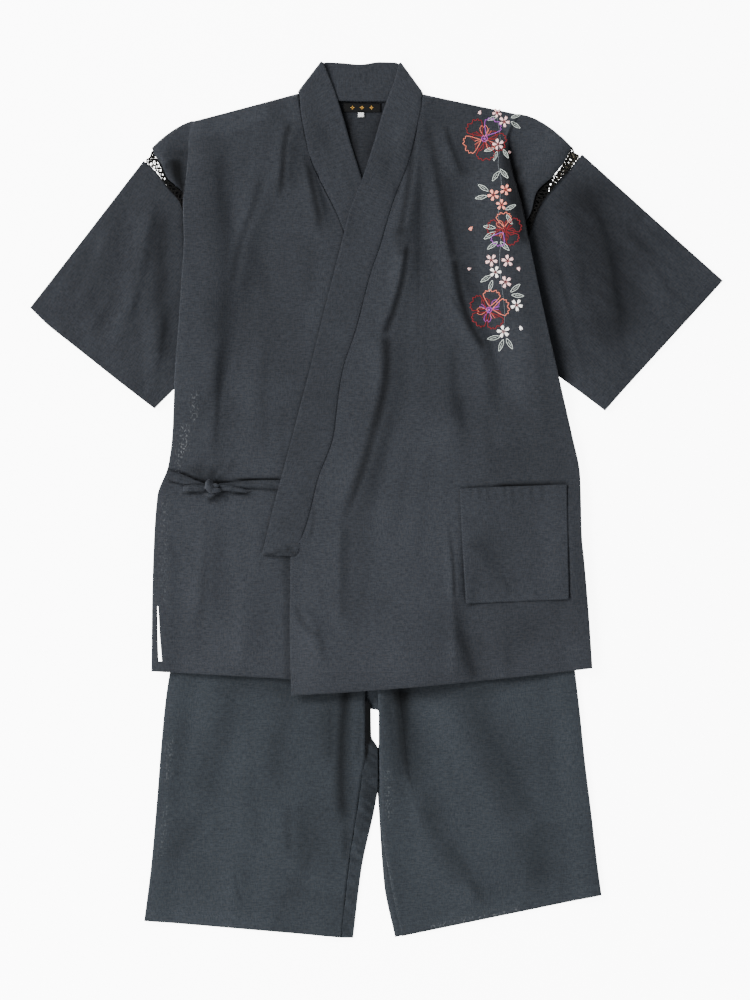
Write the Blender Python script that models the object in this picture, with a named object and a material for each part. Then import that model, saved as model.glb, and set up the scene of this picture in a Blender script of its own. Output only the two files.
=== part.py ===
"""Jinbei set: a short wrapped jacket laid flat over its shorts, seen from above.

The set lies on the floor at z = 0. Outline tables count in layout units, x to the right and y down,
as on a drawing of the laid-out set 750 units wide and 1000 tall. Everything else is in metres.
"""
from collections import namedtuple

import bmesh
import bpy
import numpy as np
from mathutils import Vector
from mathutils.bvhtree import BVHTree

# Driving sizes
UNIT = 0.00125             # one layout unit, from a back length of 0.79 m
CENTRE_X = 376.0           # layout x of the origin
CENTRE_Y = 499.75          # layout y of the origin
CLOTH = 0.0013             # one layer of cloth
BAND_CLOTH = 0.0019        # the collar band is doubled
GAP = 0.00035              # clearance between pieces
BEND = 0.0012              # radius of a folded edge, at mid thickness
SHOULDER_WRAP = 0.007      # how far the fronts run behind the shoulder line
SLEEVE_ROUND = 200         # layout units across a sleeve
BOW_DEPTH = 0.060          # how far above the hem the cloth follows that bow
HEM_BOW = 0.0035           # how far the left front's hem bows down at its middle
BAND_TURN_INSET = 0.0022   # how far inside the shoulder fold the band's flat stretches end
CREST_FALL = 0.050         # how far a standing fold takes to sink back into its panel
CELL = 0.004               # grid of the height field that later layers rest on
SOFT_PANEL = 0.016         # how widely a panel rounds off what it lies on
SOFT_STRIP = 0.012         # the same for folds, sleeves and other narrow pieces
SOFT_BAND = 0.010          # the same for the collar band
SOFT_SMALL = 0.006         # the same for the openwork
FOOT_REACH = 0.008         # how far round its foot a standing fold looks for what carries it
SLEEVE_REACH = 0.020       # the same for a sleeve, a little more than its mesh is wide
BAND_REACH = 0.018         # the same for the collar band
BOWED_STRIP = 0.020        # a tucked strip wider than this bows out, as its table row says
FIELD_X = 0.46             # half sizes of that height field
FIELD_Y = 0.57
LACE_PITCH = 0.0095        # one diamond of the openwork
LACE_CORD = 0.0012         # cord left between two diamonds
LACE_MIN_WIDTH = 0.0055    # where the strip is narrower, its gaps close up

Section = namedtuple("Section", "seam_y fold_x fold_y cap_x cap_y edge_x edge_y turn reach")
Edges = namedtuple("Edges", "left_x left_y right_x right_y")
Gable = namedtuple("Gable", "left_x left_y neck_l_x neck_l_y neck_r_x neck_r_y right_x right_y")
SleeveRow = namedtuple("SleeveRow", "front_x front_y back_x back_y cuff_x cuff_y")
BandRow = namedtuple("BandRow", "seam_y edge_x edge_y")
Strip = namedtuple("Strip", "inner_x inner_y outer_x outer_y")
Wrap = namedtuple("Wrap", "down depth")
Opening = namedtuple("Opening", "left down right")
Fold = namedtuple("Fold", "top_x top_y mid_x mid_y low_x low_y height wide steep")

# Seams between the collar band and each front, as layout x and y.
SEAM_LEFT = [
    (423.5, 94), (417.5, 126), (408, 165), (395.3, 197), (387.5, 221), (380.5, 245), (370, 276),
    (356.5, 328), (342, 374), (338, 400), (333.6, 436), (318.3, 479), (308.3, 519), (302.5, 536), (298, 557),
]
SEAM_RIGHT = [
    (297.5, 93), (301, 114), (305.5, 138), (310, 158), (316.5, 175), (324, 190), (338, 217), (346.6, 241),
    (354, 276), (366, 331), (379, 376), (389, 436), (407.7, 497), (419, 560),
]

# Jacket front, wearer's left, which lies on top. turn is how far the standing fold turns under, in
# degrees, and reach is how deep it is tucked, in metres.
FRONT_LEFT = [
    Section(94, 517, 114.5, 544, 124, 571, 147.5, 20, 0.004),
    Section(126, 507, 140, 537, 149, 563.4, 163, 70, 0.004),
    Section(165, 511.5, 170, 532, 173, 553, 176.5, 125, 0.007),
    Section(197, 517, 192, 526, 193, 536, 193.5, 150, 0.010),
    Section(221, 522, 211, 526, 212, 531, 212, 160, 0.013),
    Section(245, 527, 236.5, 516.5, 236, 518.5, 240, 165, 0.0155),
    Section(276, 535, 276, 519.5, 277, 521.5, 278, 165, 0.0205),
    Section(328, 547, 331, 532, 331, 534, 331, 165, 0.020),
    Section(374, 557, 374, 547, 374, 548.5, 374, 168, 0.014),
    Section(436, 571.5, 436, 568, 436, 569.5, 436, 178, 0.006),
    Section(479, 579.3, 476, 576.5, 476, 578, 476, 180, 0.004),
    Section(534, 581, 536, 578.2, 536, 579.7, 536, 180, 0.004),
    Section(562, 583.5, 562, 580.7, 562, 582.2, 562, 180, 0.004),
    Section(630, 588.7, 625, 585.9, 625, 587.4, 625, 180, 0.004),
    Section(695, 591.5, 668, 588.7, 668, 590.2, 668, 180, 0.004),
]
FRONT_LEFT_EDGE = SEAM_LEFT[:-1] + [(290.5, 560), (290, 630), (291.5, 695)]

# Jacket front, wearer's right. Its inner part is hidden under the other front.
FRONT_RIGHT = [
    Section(93, 194, 121.5, 172, 131.5, 152.5, 148.6, 20, 0.004),
    Section(116, 190, 142, 170, 148, 155, 156, 70, 0.004),
    Section(140, 188.5, 163, 174, 163, 162, 165, 125, 0.007),
    Section(162, 187, 180, 176, 178, 168, 179, 150, 0.008),
    Section(191, 184, 199, 180.5, 192, 177.5, 187, 160, 0.010),
    Section(217, 184.3, 218, 188.5, 210, 186.5, 197, 163, 0.0145),
    Section(243, 185, 240, 196, 236, 194, 227, 165, 0.019),
    Section(276, 183, 276, 198, 274, 196, 270, 165, 0.021),
    Section(331, 179.3, 331, 194, 330, 192, 330, 165, 0.020),
    Section(376, 176, 372, 188, 371, 186.5, 371, 168, 0.0145),
    Section(436, 173, 436, 176.5, 436, 175, 436, 178, 0.006),
    Section(466, 169, 466, 171.8, 466, 170.3, 466, 180, 0.004),
    Section(497, 158.2, 496, 161, 496, 159.5, 496, 180, 0.004),
    Section(548, 154.6, 548, 157.4, 548, 155.9, 548, 180, 0.004),
    Section(606, 153, 606, 155.8, 606, 154.3, 606, 180, 0.004),
    Section(684.5, 152.4, 671, 155.2, 671, 153.7, 671, 180, 0.004),
]
FRONT_RIGHT_EDGE = SEAM_RIGHT + [(414, 620), (392, 685)]

# Jacket back, under everything but the shorts. Its armholes run straighter than the fronts'.
BACK = [
    Gable(155, 155.4, 298, 99.3, 423, 100.2, 568, 154.6),
    Gable(166, 182, 300, 150, 420, 150, 549, 188),
    Gable(171, 230, 300, 220, 420, 220, 545, 232),
    Gable(174.5, 310, 300, 310, 420, 310, 549, 310),
    Gable(177.5, 386, 300, 386, 420, 386, 556, 380),
    Gable(176, 440, 300, 440, 420, 440, 570.5, 440),
    Gable(172, 468, 300, 468, 420, 468, 577, 468),
    Gable(160, 500, 300, 500, 420, 500, 579.2, 500),
    Gable(156, 560, 300, 560, 420, 560, 582, 560),
    Gable(154.4, 615, 300, 615, 420, 615, 586.5, 615),
    Gable(154, 666, 300, 677.5, 420, 680.5, 589.5, 664),
]

SLEEVE_RIGHT = [
    SleeveRow(144.2, 161.5, 144.2, 161.5, 30.5, 308),
    SleeveRow(155, 170.8, 151, 178, 48, 325),
    SleeveRow(168.5, 188.5, 157, 199, 70, 342.5),
    SleeveRow(185.5, 212, 163, 240, 94, 361.5),
    SleeveRow(187.6, 275, 167, 300, 118, 380.5),
    SleeveRow(183, 345, 169.5, 352, 138, 396),
    SleeveRow(177, 387, 173, 388, 154.5, 408.5),
]

SLEEVE_LEFT = [
    SleeveRow(581.5, 155, 581.5, 155, 722.5, 281),
    SleeveRow(567.5, 172, 571.5, 171, 703, 302.5),
    SleeveRow(550.5, 190.5, 561, 190, 682, 325.5),
    SleeveRow(535, 214, 553, 225, 661, 348.5),
    SleeveRow(527, 240, 553.5, 256, 651, 359.5),
    SleeveRow(529.3, 275, 554, 290, 640, 371.5),
    SleeveRow(542, 338, 560, 342, 620, 393.5),
    SleeveRow(557.5, 376, 563.5, 376, 605, 410.5),
]

# Collar band from the hidden end on the wearer's right, up to that shoulder, and the other way.
BAND_RIGHT = [
    BandRow(558, 456, 552), BandRow(497, 444.5, 490), BandRow(436, 425.5, 427), BandRow(331, 402, 320),
    BandRow(276, 390, 264), BandRow(243, 379, 225), BandRow(216.5, 371, 200), BandRow(190, 361, 176),
    BandRow(175, 356.5, 162), BandRow(158, 350.5, 143), BandRow(138, 343.8, 120), BandRow(114, 335, 92),
]
BAND_BACK = [
    Strip(309, 100.4, 327, 62.4), Strip(341, 101.4, 343, 63.2), Strip(360, 101.8, 360, 64.7),
    Strip(380, 101.9, 379, 62.2), Strip(411, 101.4, 395.5, 62.6),
]
BAND_LEFT = [
    BandRow(106, 394.5, 82), BandRow(126, 385, 106), BandRow(165, 373.5, 144), BandRow(197, 361.5, 181),
    BandRow(221, 351, 207.5), BandRow(245, 343, 237.5), BandRow(276, 334.5, 271), BandRow(328, 320.5, 326),
    BandRow(374, 308.5, 374.5), BandRow(436, 292.7, 436), BandRow(479, 281.2, 479), BandRow(519, 271, 518),
    BandRow(534, 266.5, 537), BandRow(556, 262, 554.5),
]
BAND_TURN_RIGHT = Strip(298, 93, 321.5, 62)
BAND_TURN_LEFT = Strip(423, 94, 400.5, 63)

# Openwork strips at the armholes: inner edge on the body, outer edge on the sleeve.
LACE_FRONT_RIGHT = [
    Strip(152.2, 152.3, 146.6, 160.8), Strip(154.6, 157, 149.5, 165.5), Strip(161.2, 166.3, 156.5, 170.6),
    Strip(167, 180, 164.5, 182.5), Strip(176.6, 188.3, 171.3, 191.2), Strip(185, 196.5, 180.5, 203.5),
    Strip(193, 226, 186.4, 226), Strip(195.3, 270, 188.6, 270), Strip(191.2, 330, 184.8, 330),
    Strip(185.6, 371, 180.1, 371),
]
LACE_FRONT_LEFT = [
    Strip(571.6, 148.5, 578.6, 156.5), Strip(564.2, 164, 570, 168.6), Strip(553.8, 177.2, 558.5, 181.8),
    Strip(537.2, 194.6, 545, 197.8), Strip(531.8, 212, 536, 213.6), Strip(523.2, 232, 529, 235),
    Strip(519.2, 245, 525.5, 246), Strip(522.3, 278, 528.8, 278), Strip(534.8, 331, 541.3, 331),
    Strip(549.3, 372, 554.8, 372),
]
LACE_BACK_RIGHT = [
    Strip(153.8, 153, 146, 161.8), Strip(158.5, 167, 151, 174), Strip(165, 182.5, 157, 191),
    Strip(170, 230, 162.2, 232), Strip(173.5, 310, 168.2, 309), Strip(176.6, 384, 172, 382),
]
LACE_BACK_LEFT = [
    Strip(569.2, 151, 579, 157.5), Strip(560, 169.5, 569.5, 174), Strip(550, 188.5, 559.5, 193),
    Strip(546, 232, 554, 232), Strip(550, 310, 556.4, 309), Strip(557, 378, 562.5, 374),
]

# Shorts. The fronts' outer edges turn under, and the left back wraps round to the inseam.
SHORTS_FRONT_RIGHT = [
    Section(486, 226, 486, 228.8, 486, 227.3, 486, 180, 0.004),
    Section(560, 196, 560, 198.8, 560, 197.3, 560, 180, 0.004),
    Section(640, 177, 640, 179.8, 640, 178.3, 640, 180, 0.004),
    Section(700, 166.8, 695, 169.6, 695, 168.1, 695, 180, 0.004),
    Section(750, 162, 743, 164.8, 743, 163.3, 743, 180, 0.004),
    Section(802, 157.6, 799, 160.4, 799, 158.9, 799, 180, 0.004),
    Section(864, 152, 863, 154.8, 863, 153.3, 863, 180, 0.004),
    Section(937.2, 144.8, 920.5, 147.6, 920.5, 146.1, 920.5, 180, 0.004),
]
INSEAM_RIGHT = [
    (373, 486), (373, 560), (371, 640), (365.2, 700), (365, 750), (358, 802), (348.7, 864), (341, 938),
]
SHORTS_FRONT_LEFT = [
    Section(486, 520, 486, 517.2, 486, 518.7, 486, 180, 0.004),
    Section(560, 552, 560, 549.2, 560, 550.7, 560, 180, 0.004),
    Section(640, 570, 640, 567.2, 640, 568.7, 640, 180, 0.004),
    Section(708, 578.6, 706, 575.8, 706, 577.3, 706, 180, 0.004),
    Section(760, 584, 758, 581.2, 758, 582.7, 758, 180, 0.004),
    Section(813, 591, 815, 588.2, 815, 589.7, 815, 180, 0.004),
    Section(873, 597, 866, 594.2, 866, 595.7, 866, 180, 0.004),
    Section(936, 601, 895, 598.2, 895, 599.7, 895, 180, 0.004),
]
INSEAM_LEFT = [
    (374, 486), (374, 560), (375, 640), (378.5, 708), (379.4, 760), (380.3, 813), (389, 873), (402, 937),
]
SHORTS_BACK_RIGHT = [
    Edges(229, 486, 373, 486), Edges(199, 560, 373, 560), Edges(180, 640, 373, 640),
    Edges(169.5, 695, 374.5, 700), Edges(165, 743, 377.8, 747), Edges(160.5, 799, 374.6, 802),
    Edges(155, 863, 361.5, 867), Edges(147.8, 919.5, 352.8, 937.4),
]
SHORTS_BACK_LEFT = [
    Edges(374, 486, 517, 486), Edges(374, 560, 549, 560), Edges(374.6, 640, 567, 640),
    Edges(377.8, 700, 575.6, 706), Edges(379.2, 750, 581, 758), Edges(378.9, 813, 588, 815),
    Edges(384, 884, 594, 866), Edges(395, 937, 598, 895),
]
INSEAM_WRAP = [
    Wrap(486, 0.0), Wrap(690, 0.0), Wrap(705, 0.006), Wrap(750, 0.012), Wrap(800, 0.018), Wrap(937, 0.013),
]
POCKET = [Edges(459.5, 488.4, 566.3, 484.4), Edges(462, 545, 567.2, 541), Edges(465.7, 603.3, 568.5, 598.9)]
TIE_SIDE = [
    Edges(168.2, 469.8, 167.6, 479.8), Edges(185, 475.5, 184, 484.3),
    Edges(196, 480.5, 195.5, 487), Edges(205.5, 484, 205.5, 489.5),
]
TIE_FRONT = [
    Edges(280.6, 480.3, 280, 489.8), Edges(262, 480.2, 262, 488.6),
    Edges(240, 481.6, 240, 488.2), Edges(219.5, 484, 219.5, 489.5),
]
TAIL_LEFT = [Edges(205.8, 485.5, 205.8, 491), Edges(196, 485, 196, 491), Edges(184.5, 486, 184, 491.6)]
TAIL_RIGHT = [Edges(219.2, 484.5, 219.2, 490), Edges(232, 486.4, 231, 491), Edges(248, 490, 247.5, 492.8)]
KNOT_CENTRE = (212.5, 487)
KNOT_SIZE = (0.0145, 0.0135, 0.0075)
LABEL = [Edges(343.5, 103, 381, 103.6), Edges(343.5, 112, 381, 112.4)]
SIZE_TAB = [Edges(358, 112.8, 364, 112.8), Edges(358, 117.3, 364, 117.3)]
WAIST_FRONT = [Edges(226, 470, 520, 470), Edges(226, 485.4, 520, 485.4)]
SLIT = [Opening(157.7, 606, 158.9), Opening(158.0, 635, 160.4), Opening(158.9, 661, 162.6)]

# Standing folds of the panels: a path through three points, crest height and width in metres, and the
# side that falls off steeply.
JACKET_LEFT_FOLDS = [
    Fold(412, 132, 405, 250, 392, 310, 0.0070, 0.016, -1),
    Fold(390, 318, 378, 420, 345, 520, 0.0060, 0.018, -1),
    Fold(344, 505, 340, 560, 341, 640, 0.0045, 0.014, -1),
    Fold(437, 150, 448, 236, 468, 318, 0.0060, 0.018, 1),
    Fold(466, 312, 485, 350, 497, 396, 0.0045, 0.016, 1),
    Fold(450, 138, 456, 158, 468, 182, 0.0035, 0.010, 1),
    Fold(452, 535, 455, 600, 455, 690, 0.0040, 0.014, -1),
    Fold(455, 385, 457, 415, 460, 442, 0.0030, 0.012, 1),
    Fold(524, 300, 534, 380, 540, 450, 0.0040, 0.022, 1),
    Fold(500, 610, 503, 645, 502, 684, 0.0030, 0.018, 1),
    Fold(300, 600, 316, 630, 322, 672, 0.0030, 0.012, 1),
]
JACKET_RIGHT_FOLDS = [
    Fold(292, 118, 284, 160, 280, 190, 0.0050, 0.014, -1),
    Fold(262, 190, 243, 240, 232, 312, 0.0055, 0.018, -1),
    Fold(303, 140, 314, 182, 325, 228, 0.0050, 0.012, 1),
    Fold(221, 325, 215, 400, 213, 470, 0.0045, 0.016, 1),
    Fold(209, 500, 204, 570, 197, 628, 0.0050, 0.016, -1),
    Fold(262, 330, 259, 400, 262, 468, 0.0035, 0.018, 1),
    Fold(246, 560, 243, 620, 242, 676, 0.0030, 0.018, -1),
    Fold(166, 140, 166, 152, 166.5, 170, 0.0025, 0.006, 1),
]
SLEEVE_RIGHT_FOLDS = [
    Fold(154, 190, 140, 270, 118, 350, 0.0050, 0.016, 1),
    Fold(118, 215, 95, 270, 74, 318, 0.0035, 0.018, -1),
    Fold(164, 300, 160, 340, 150, 386, 0.0030, 0.012, 1),
]
SLEEVE_LEFT_FOLDS = [
    Fold(577, 176, 606, 262, 618, 352, 0.0060, 0.016, 1),
    Fold(600, 190, 640, 250, 672, 308, 0.0035, 0.018, 1),
    Fold(545, 232, 564, 306, 580, 374, 0.0040, 0.014, 1),
]
SHORTS_RIGHT_FOLDS = [
    Fold(227, 660, 218, 732, 178, 858, 0.0060, 0.018, 1),
    Fold(290, 690, 271, 760, 279, 806, 0.0045, 0.016, 1),
    Fold(293, 800, 295, 832, 293, 872, 0.0030, 0.012, -1),
    Fold(345, 690, 341, 765, 346, 830, 0.0050, 0.012, -1),
    Fold(240, 830, 236, 880, 232, 930, 0.0035, 0.018, 1),
]
SHORTS_LEFT_FOLDS = [
    Fold(400, 672, 409, 760, 428, 850, 0.0060, 0.014, -1),
    Fold(460, 690, 498, 770, 548, 858, 0.0050, 0.020, 1),
    Fold(434, 832, 462, 872, 488, 908, 0.0040, 0.014, 1),
    Fold(520, 840, 527, 876, 522, 912, 0.0030, 0.016, -1),
]

CLOTH_NAVY = (0.035, 0.043, 0.054)
LACE_BLACK = (0.012, 0.012, 0.014)
LABEL_BLACK = (0.010, 0.010, 0.010)
TAB_WHITE = (0.55, 0.55, 0.53)


def along_x(layout_x):
    return (np.asarray(layout_x, float) - CENTRE_X) * UNIT


def along_y(layout_y):
    return (CENTRE_Y - np.asarray(layout_y, float)) * UNIT


def spline(stops, values, at):
    """Monotone cubic through the points (stops, values), read at the positions in at."""
    stops = np.asarray(stops, float)
    values = np.asarray(values, float)
    gaps = np.diff(stops)
    slopes = np.diff(values) / gaps
    tangents = np.zeros_like(values)
    both = slopes[1:] * slopes[:-1]
    safe = np.where(both > 0, slopes[1:] + slopes[:-1], 1.0)
    tangents[1:-1] = np.where(both > 0, 2 * both / safe, 0.0)
    tangents[0] = slopes[0]
    tangents[-1] = slopes[-1]
    at = np.clip(at, stops[0], stops[-1])
    i = np.clip(np.searchsorted(stops, at) - 1, 0, len(gaps) - 1)
    t = (at - stops[i]) / gaps[i]
    rise = values[i + 1] - values[i]
    start = tangents[i] * gaps[i]
    end = tangents[i + 1] * gaps[i]
    return values[i] + start * t + (3 * rise - 2 * start - end) * t**2 + (start + end - 2 * rise) * t**3


def smooth_step(t):
    t = np.clip(t, 0.0, 1.0)
    return t * t * (3 - 2 * t)


def read_rows(table, spacing, seam=None):
    """Each named column of a table, read at rows about spacing metres apart down the table.

    With a seam given, a column seam_x is added that follows it.
    """
    values = np.array(table, float)
    fields = table[0]._fields
    down = values[:, [k for k, field in enumerate(fields) if field.endswith("_y")][:2]].mean(axis=1)
    across = values[:, [k for k, field in enumerate(fields) if field.endswith("_x")][:1]].mean(axis=1)
    steps = np.hypot(np.diff(down), np.diff(across))
    stops = np.concatenate([[0.0], np.cumsum(steps)])
    at = [0.0]
    for start, step in zip(stops[:-1], steps):
        count = max(1, round(step * UNIT / spacing))
        at.extend(start + step * (k + 1) / count for k in range(count))
    columns = {field: spline(stops, column, at) for field, column in zip(fields, values.T)}
    if seam is not None:
        seam_x, seam_y = np.array(seam, float).T
        columns["seam_x"] = spline(seam_y, seam_x, columns["seam_y"])
    for field in columns:
        if field.endswith("_x"):
            columns[field] = along_x(columns[field])
        elif field.endswith("_y"):
            columns[field] = along_y(columns[field])
    return columns


class Pile:
    """The height of what already lies on the floor, which the next layer rests on."""

    def __init__(self):
        self.xs = np.arange(-FIELD_X, FIELD_X + CELL / 2, CELL)
        self.ys = np.arange(-FIELD_Y, FIELD_Y + CELL / 2, CELL)
        self.top = np.zeros((len(self.ys), len(self.xs)))
        self.solids = []

    def drop(self, vertices, faces):
        """How far a small piece can sink until it is a clearance away from what carries it."""
        piece = BVHTree.FromPolygons([Vector(v) for v in vertices], faces)
        lows = np.min(vertices, axis=0)
        highs = np.max(vertices, axis=0)
        room = highs[2]
        samples = [np.mean([vertices[i] for i in face], axis=0) for face in faces] + list(vertices)
        for points, tree in self.solids:
            for point in samples:
                hit = tree.ray_cast(Vector(point), Vector((0, 0, -1)))
                if hit[0] is not None:
                    room = min(room, hit[3])
            near = np.all((points[:, :2] > lows[:2]) & (points[:, :2] < highs[:2]), axis=1)
            for point in points[near]:
                hit = piece.ray_cast(Vector(point), Vector((0, 0, 1)))
                if hit[0] is not None:
                    room = min(room, hit[3])
        return max(room - GAP, 0.0)

    def cover(self, x, y, z):
        """Adds a surface given as a grid of points."""
        across = max(np.hypot(np.diff(x, axis=1), np.diff(y, axis=1)).max(), CELL)
        down = max(np.hypot(np.diff(x, axis=0), np.diff(y, axis=0)).max(), CELL)
        parts_u = int(np.ceil(across / CELL * 1.6))
        parts_v = int(np.ceil(down / CELL * 1.6))
        for u in np.linspace(0, 1, parts_u + 1):
            for v in np.linspace(0, 1, parts_v + 1):
                spot = [between_corners(grid, u, v) for grid in (x, y, z)]
                self.stamp(*spot)

    def stamp(self, x, y, z):
        column = np.rint((x + FIELD_X) / CELL).astype(int)
        row = np.rint((y + FIELD_Y) / CELL).astype(int)
        np.maximum.at(self.top, (row, column), z)

    def rest(self, reach_x, reach_y, soften):
        """The surface that a sheet takes when it lies on the pile, as a function of x and y."""
        lifted = np.where(self.top > 0, self.top + GAP, 0.0)
        soft = int(round(soften / CELL))
        cells_x = int(np.ceil(reach_x / CELL)) + 1
        cells_y = int(np.ceil(reach_y / CELL)) + 1
        level = widen(widen(lifted, cells_x + soft, 1), cells_y + soft, 0)
        for half in (soft // 2, soft - soft // 2):
            level = average(average(level, half, 1), half, 0)

        def height(x, y):
            return read_grid(level, (x + FIELD_X) / CELL, (y + FIELD_Y) / CELL)
        return height

    def lie(self, x, y, soften):
        """The underside of a grid laid on the pile, clear of it between the grid's points too."""
        steps = np.abs(np.diff(x, axis=1)).max(axis=0)
        reach_x = np.maximum(np.append(steps, 0), np.append(0, steps)) + np.abs(np.diff(x, axis=0)).max() / 2
        reach_y = np.abs(np.diff(y, axis=0)).max() + np.abs(np.diff(y, axis=1)).max() / 2
        columns = [self.rest(reach, reach_y, soften)(x[:, j], y[:, j]) for j, reach in enumerate(reach_x)]
        return np.stack(columns, axis=1)


def between_corners(grid, u, v):
    upper = grid[:-1, :-1] * (1 - u) + grid[:-1, 1:] * u
    lower = grid[1:, :-1] * (1 - u) + grid[1:, 1:] * u
    return upper * (1 - v) + lower * v


def shifted(grid, cells, axis):
    """The grid moved by a number of cells, with its border repeated."""
    index = np.clip(np.arange(grid.shape[axis]) + cells, 0, grid.shape[axis] - 1)
    return np.take(grid, index, axis=axis)


def widen(grid, cells, axis):
    result = grid
    for k in range(-cells, cells + 1):
        result = np.maximum(result, shifted(grid, k, axis))
    return result


def average(grid, cells, axis):
    total = np.zeros_like(grid)
    for k in range(-cells, cells + 1):
        total += shifted(grid, k, axis)
    return total / (2 * cells + 1)


def read_grid(grid, column, row):
    column = np.clip(column, 0, grid.shape[1] - 1.001)
    row = np.clip(row, 0, grid.shape[0] - 1.001)
    i = row.astype(int)
    j = column.astype(int)
    v = row - i
    u = column - j
    upper = grid[i, j] * (1 - u) + grid[i, j + 1] * u
    lower = grid[i + 1, j] * (1 - u) + grid[i + 1, j + 1] * u
    return upper * (1 - v) + lower * v


def fold_heights(folds, x, y):
    """The height that standing folds add at the points (x, y)."""
    total = np.zeros(np.shape(x))
    for fold in folds:
        down = along_y([fold.top_y, fold.mid_y, fold.low_y])
        path = along_x([fold.top_x, fold.mid_x, fold.low_x])
        part = (down[0] - y) / (down[0] - down[2])
        middle = (down[0] - down[1]) / (down[0] - down[2])
        crest = spline([0.0, middle, 1.0], path, part)
        away = (x - crest) * fold.steep
        spread = np.where(away > 0, fold.wide * 0.5, fold.wide)
        fade = smooth_step(part / 0.28) * smooth_step((1 - part) / 0.28)
        total = total + fold.height * fade * np.exp(-(away / spread)**2)
    return total


def edge_path(turn, reach, arc, run):
    """A fold's path out over its edge and back under, as distances (out, up) from its crest."""
    angle = np.radians(turn)[:, None]
    first = angle * np.linspace(0, 1, arc + 1)
    second = angle * np.linspace(1, 0, arc + 1)
    out = BEND * np.sin(first)
    up = -BEND * (1 - np.cos(first))
    stretch = reach[:, None] * np.linspace(0, 1, run + 1)[1:]
    run_out = out[:, -1:] + stretch * np.cos(angle)
    run_up = up[:, -1:] - stretch * np.sin(angle)
    turn_out = run_out[:, -1:] + BEND * (np.sin(angle) - np.sin(second))[:, 1:]
    turn_up = run_up[:, -1:] - BEND * (np.cos(second) - np.cos(angle))[:, 1:]
    return np.hstack([out, run_out, turn_out]), np.hstack([up, run_up, turn_up])


def spread_columns(start_x, start_y, end_x, end_y, count, folds):
    """Points across a panel in each row, closer together where folds stand."""
    fine = np.linspace(0, 1, 161)
    x = start_x[:, None] + (end_x - start_x)[:, None] * fine
    y = start_y[:, None] + (end_y - start_y)[:, None] * fine
    weight = 1 + 900 * fold_heights(folds, x, y)
    total = np.cumsum((weight[:, 1:] + weight[:, :-1]) / 2, axis=1)
    total = np.hstack([np.zeros((len(x), 1)), total])
    steps = np.linspace(0, 1, count + 1)
    share = np.array([np.interp(steps * row[-1], row, fine) for row in total])
    return (start_x[:, None] + (end_x - start_x)[:, None] * share,
            start_y[:, None] + (end_y - start_y)[:, None] * share)


def panel(table, seam, pile, folds, spacing, columns, cap_columns, outward, bow=0.0, shoulder=False,
          arc=2, run=1):
    """A front: its main sheet, the standing fold at its side, and the strip tucked under the fold."""
    rows = read_rows(table, spacing, seam)
    crest_x = rows["fold_x"] - outward * BEND
    main_x, main_y = spread_columns(rows["seam_x"], rows["seam_y"], crest_x, rows["fold_y"], columns, folds)
    low_end = smooth_step(1 - (rows["seam_y"] - rows["seam_y"][-1]) / BOW_DEPTH)
    across = (main_x - main_x[:, :1]) / (main_x[:, -1:] - main_x[:, :1])
    main_y = main_y - bow * low_end[:, None] * 4 * across * (1 - across)
    out, up = edge_path(rows["turn"], rows["reach"], arc, run)
    drop = -up[:, -1:]
    fold_x = crest_x[:, None] + outward * out
    fold_y = np.repeat(rows["fold_y"][:, None], out.shape[1], axis=1)
    foot_x = fold_x[:, -1]
    t = np.linspace(0, 1, cap_columns + 1)[1:]
    middle_x = 2 * rows["cap_x"] - (foot_x + rows["edge_x"]) / 2
    middle_y = 2 * rows["cap_y"] - (rows["fold_y"] + rows["edge_y"]) / 2
    bowed = np.abs(rows["edge_x"] - foot_x) > BOWED_STRIP
    middle_x = np.where(bowed, middle_x, (foot_x + rows["edge_x"]) / 2)
    middle_y = np.where(bowed, middle_y, (rows["fold_y"] + rows["edge_y"]) / 2)
    cap_x = (foot_x[:, None] * (1 - t)**2 + middle_x[:, None] * 2 * t * (1 - t)
             + rows["edge_x"][:, None] * t**2)
    cap_y = (rows["fold_y"][:, None] * (1 - t)**2 + middle_y[:, None] * 2 * t * (1 - t)
             + rows["edge_y"][:, None] * t**2)

    rest_fold = pile.rest(FOOT_REACH, spacing, SOFT_STRIP)
    foot = np.maximum(rest_fold(foot_x, rows["fold_y"]), rest_fold(rows["fold_x"], rows["fold_y"]))
    foot = foot[:, None] + CLOTH / 2
    fold_z = foot + drop + up
    level = pile.lie(main_x, main_y, SOFT_PANEL) + CLOTH / 2
    away = np.abs(main_x - crest_x[:, None])
    keep = np.abs(fold_x[:, -1:] - crest_x[:, None]) + 0.004
    hump = 1 - smooth_step((away - keep) / (CREST_FALL * np.clip(drop / 0.008, 0.4, 1.0)))
    crest = foot + drop
    main_z = level + hump * np.maximum(crest - level, 0) + fold_heights(folds, main_x, main_y)
    cap_z = np.maximum(rest_fold(cap_x, cap_y) + CLOTH / 2, foot * (1 - t) + (foot - 0.002) * t)
    cap_z = cap_z + fold_heights(folds, cap_x, cap_y)
    x = np.hstack([main_x, fold_x[:, 1:], cap_x])
    y = np.hstack([main_y, fold_y[:, 1:], cap_y])
    z = np.hstack([main_z[:, :-1], fold_z, cap_z])
    if shoulder:
        x, y, z = wrap_shoulder(x, y, z)
    return x, y, z


def wrap_shoulder(x, y, z):
    """Adds rows that carry a front over the shoulder line and a little way down behind it."""
    low = CLOTH / 2
    behind = [(SHOULDER_WRAP, 0.0), (BEND, 0.0), (0.0, 0.5)]
    extra_x = []
    extra_y = []
    extra_z = []
    for inset, share in behind:
        extra_x.append(x[0])
        extra_y.append(y[0] - inset)
        extra_z.append(low + (z[0] - low) * share)
    first_y = y[0] - BEND
    return (np.vstack([extra_x, x]), np.vstack([extra_y, first_y[None], y[1:]]), np.vstack([extra_z, z]))


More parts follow.
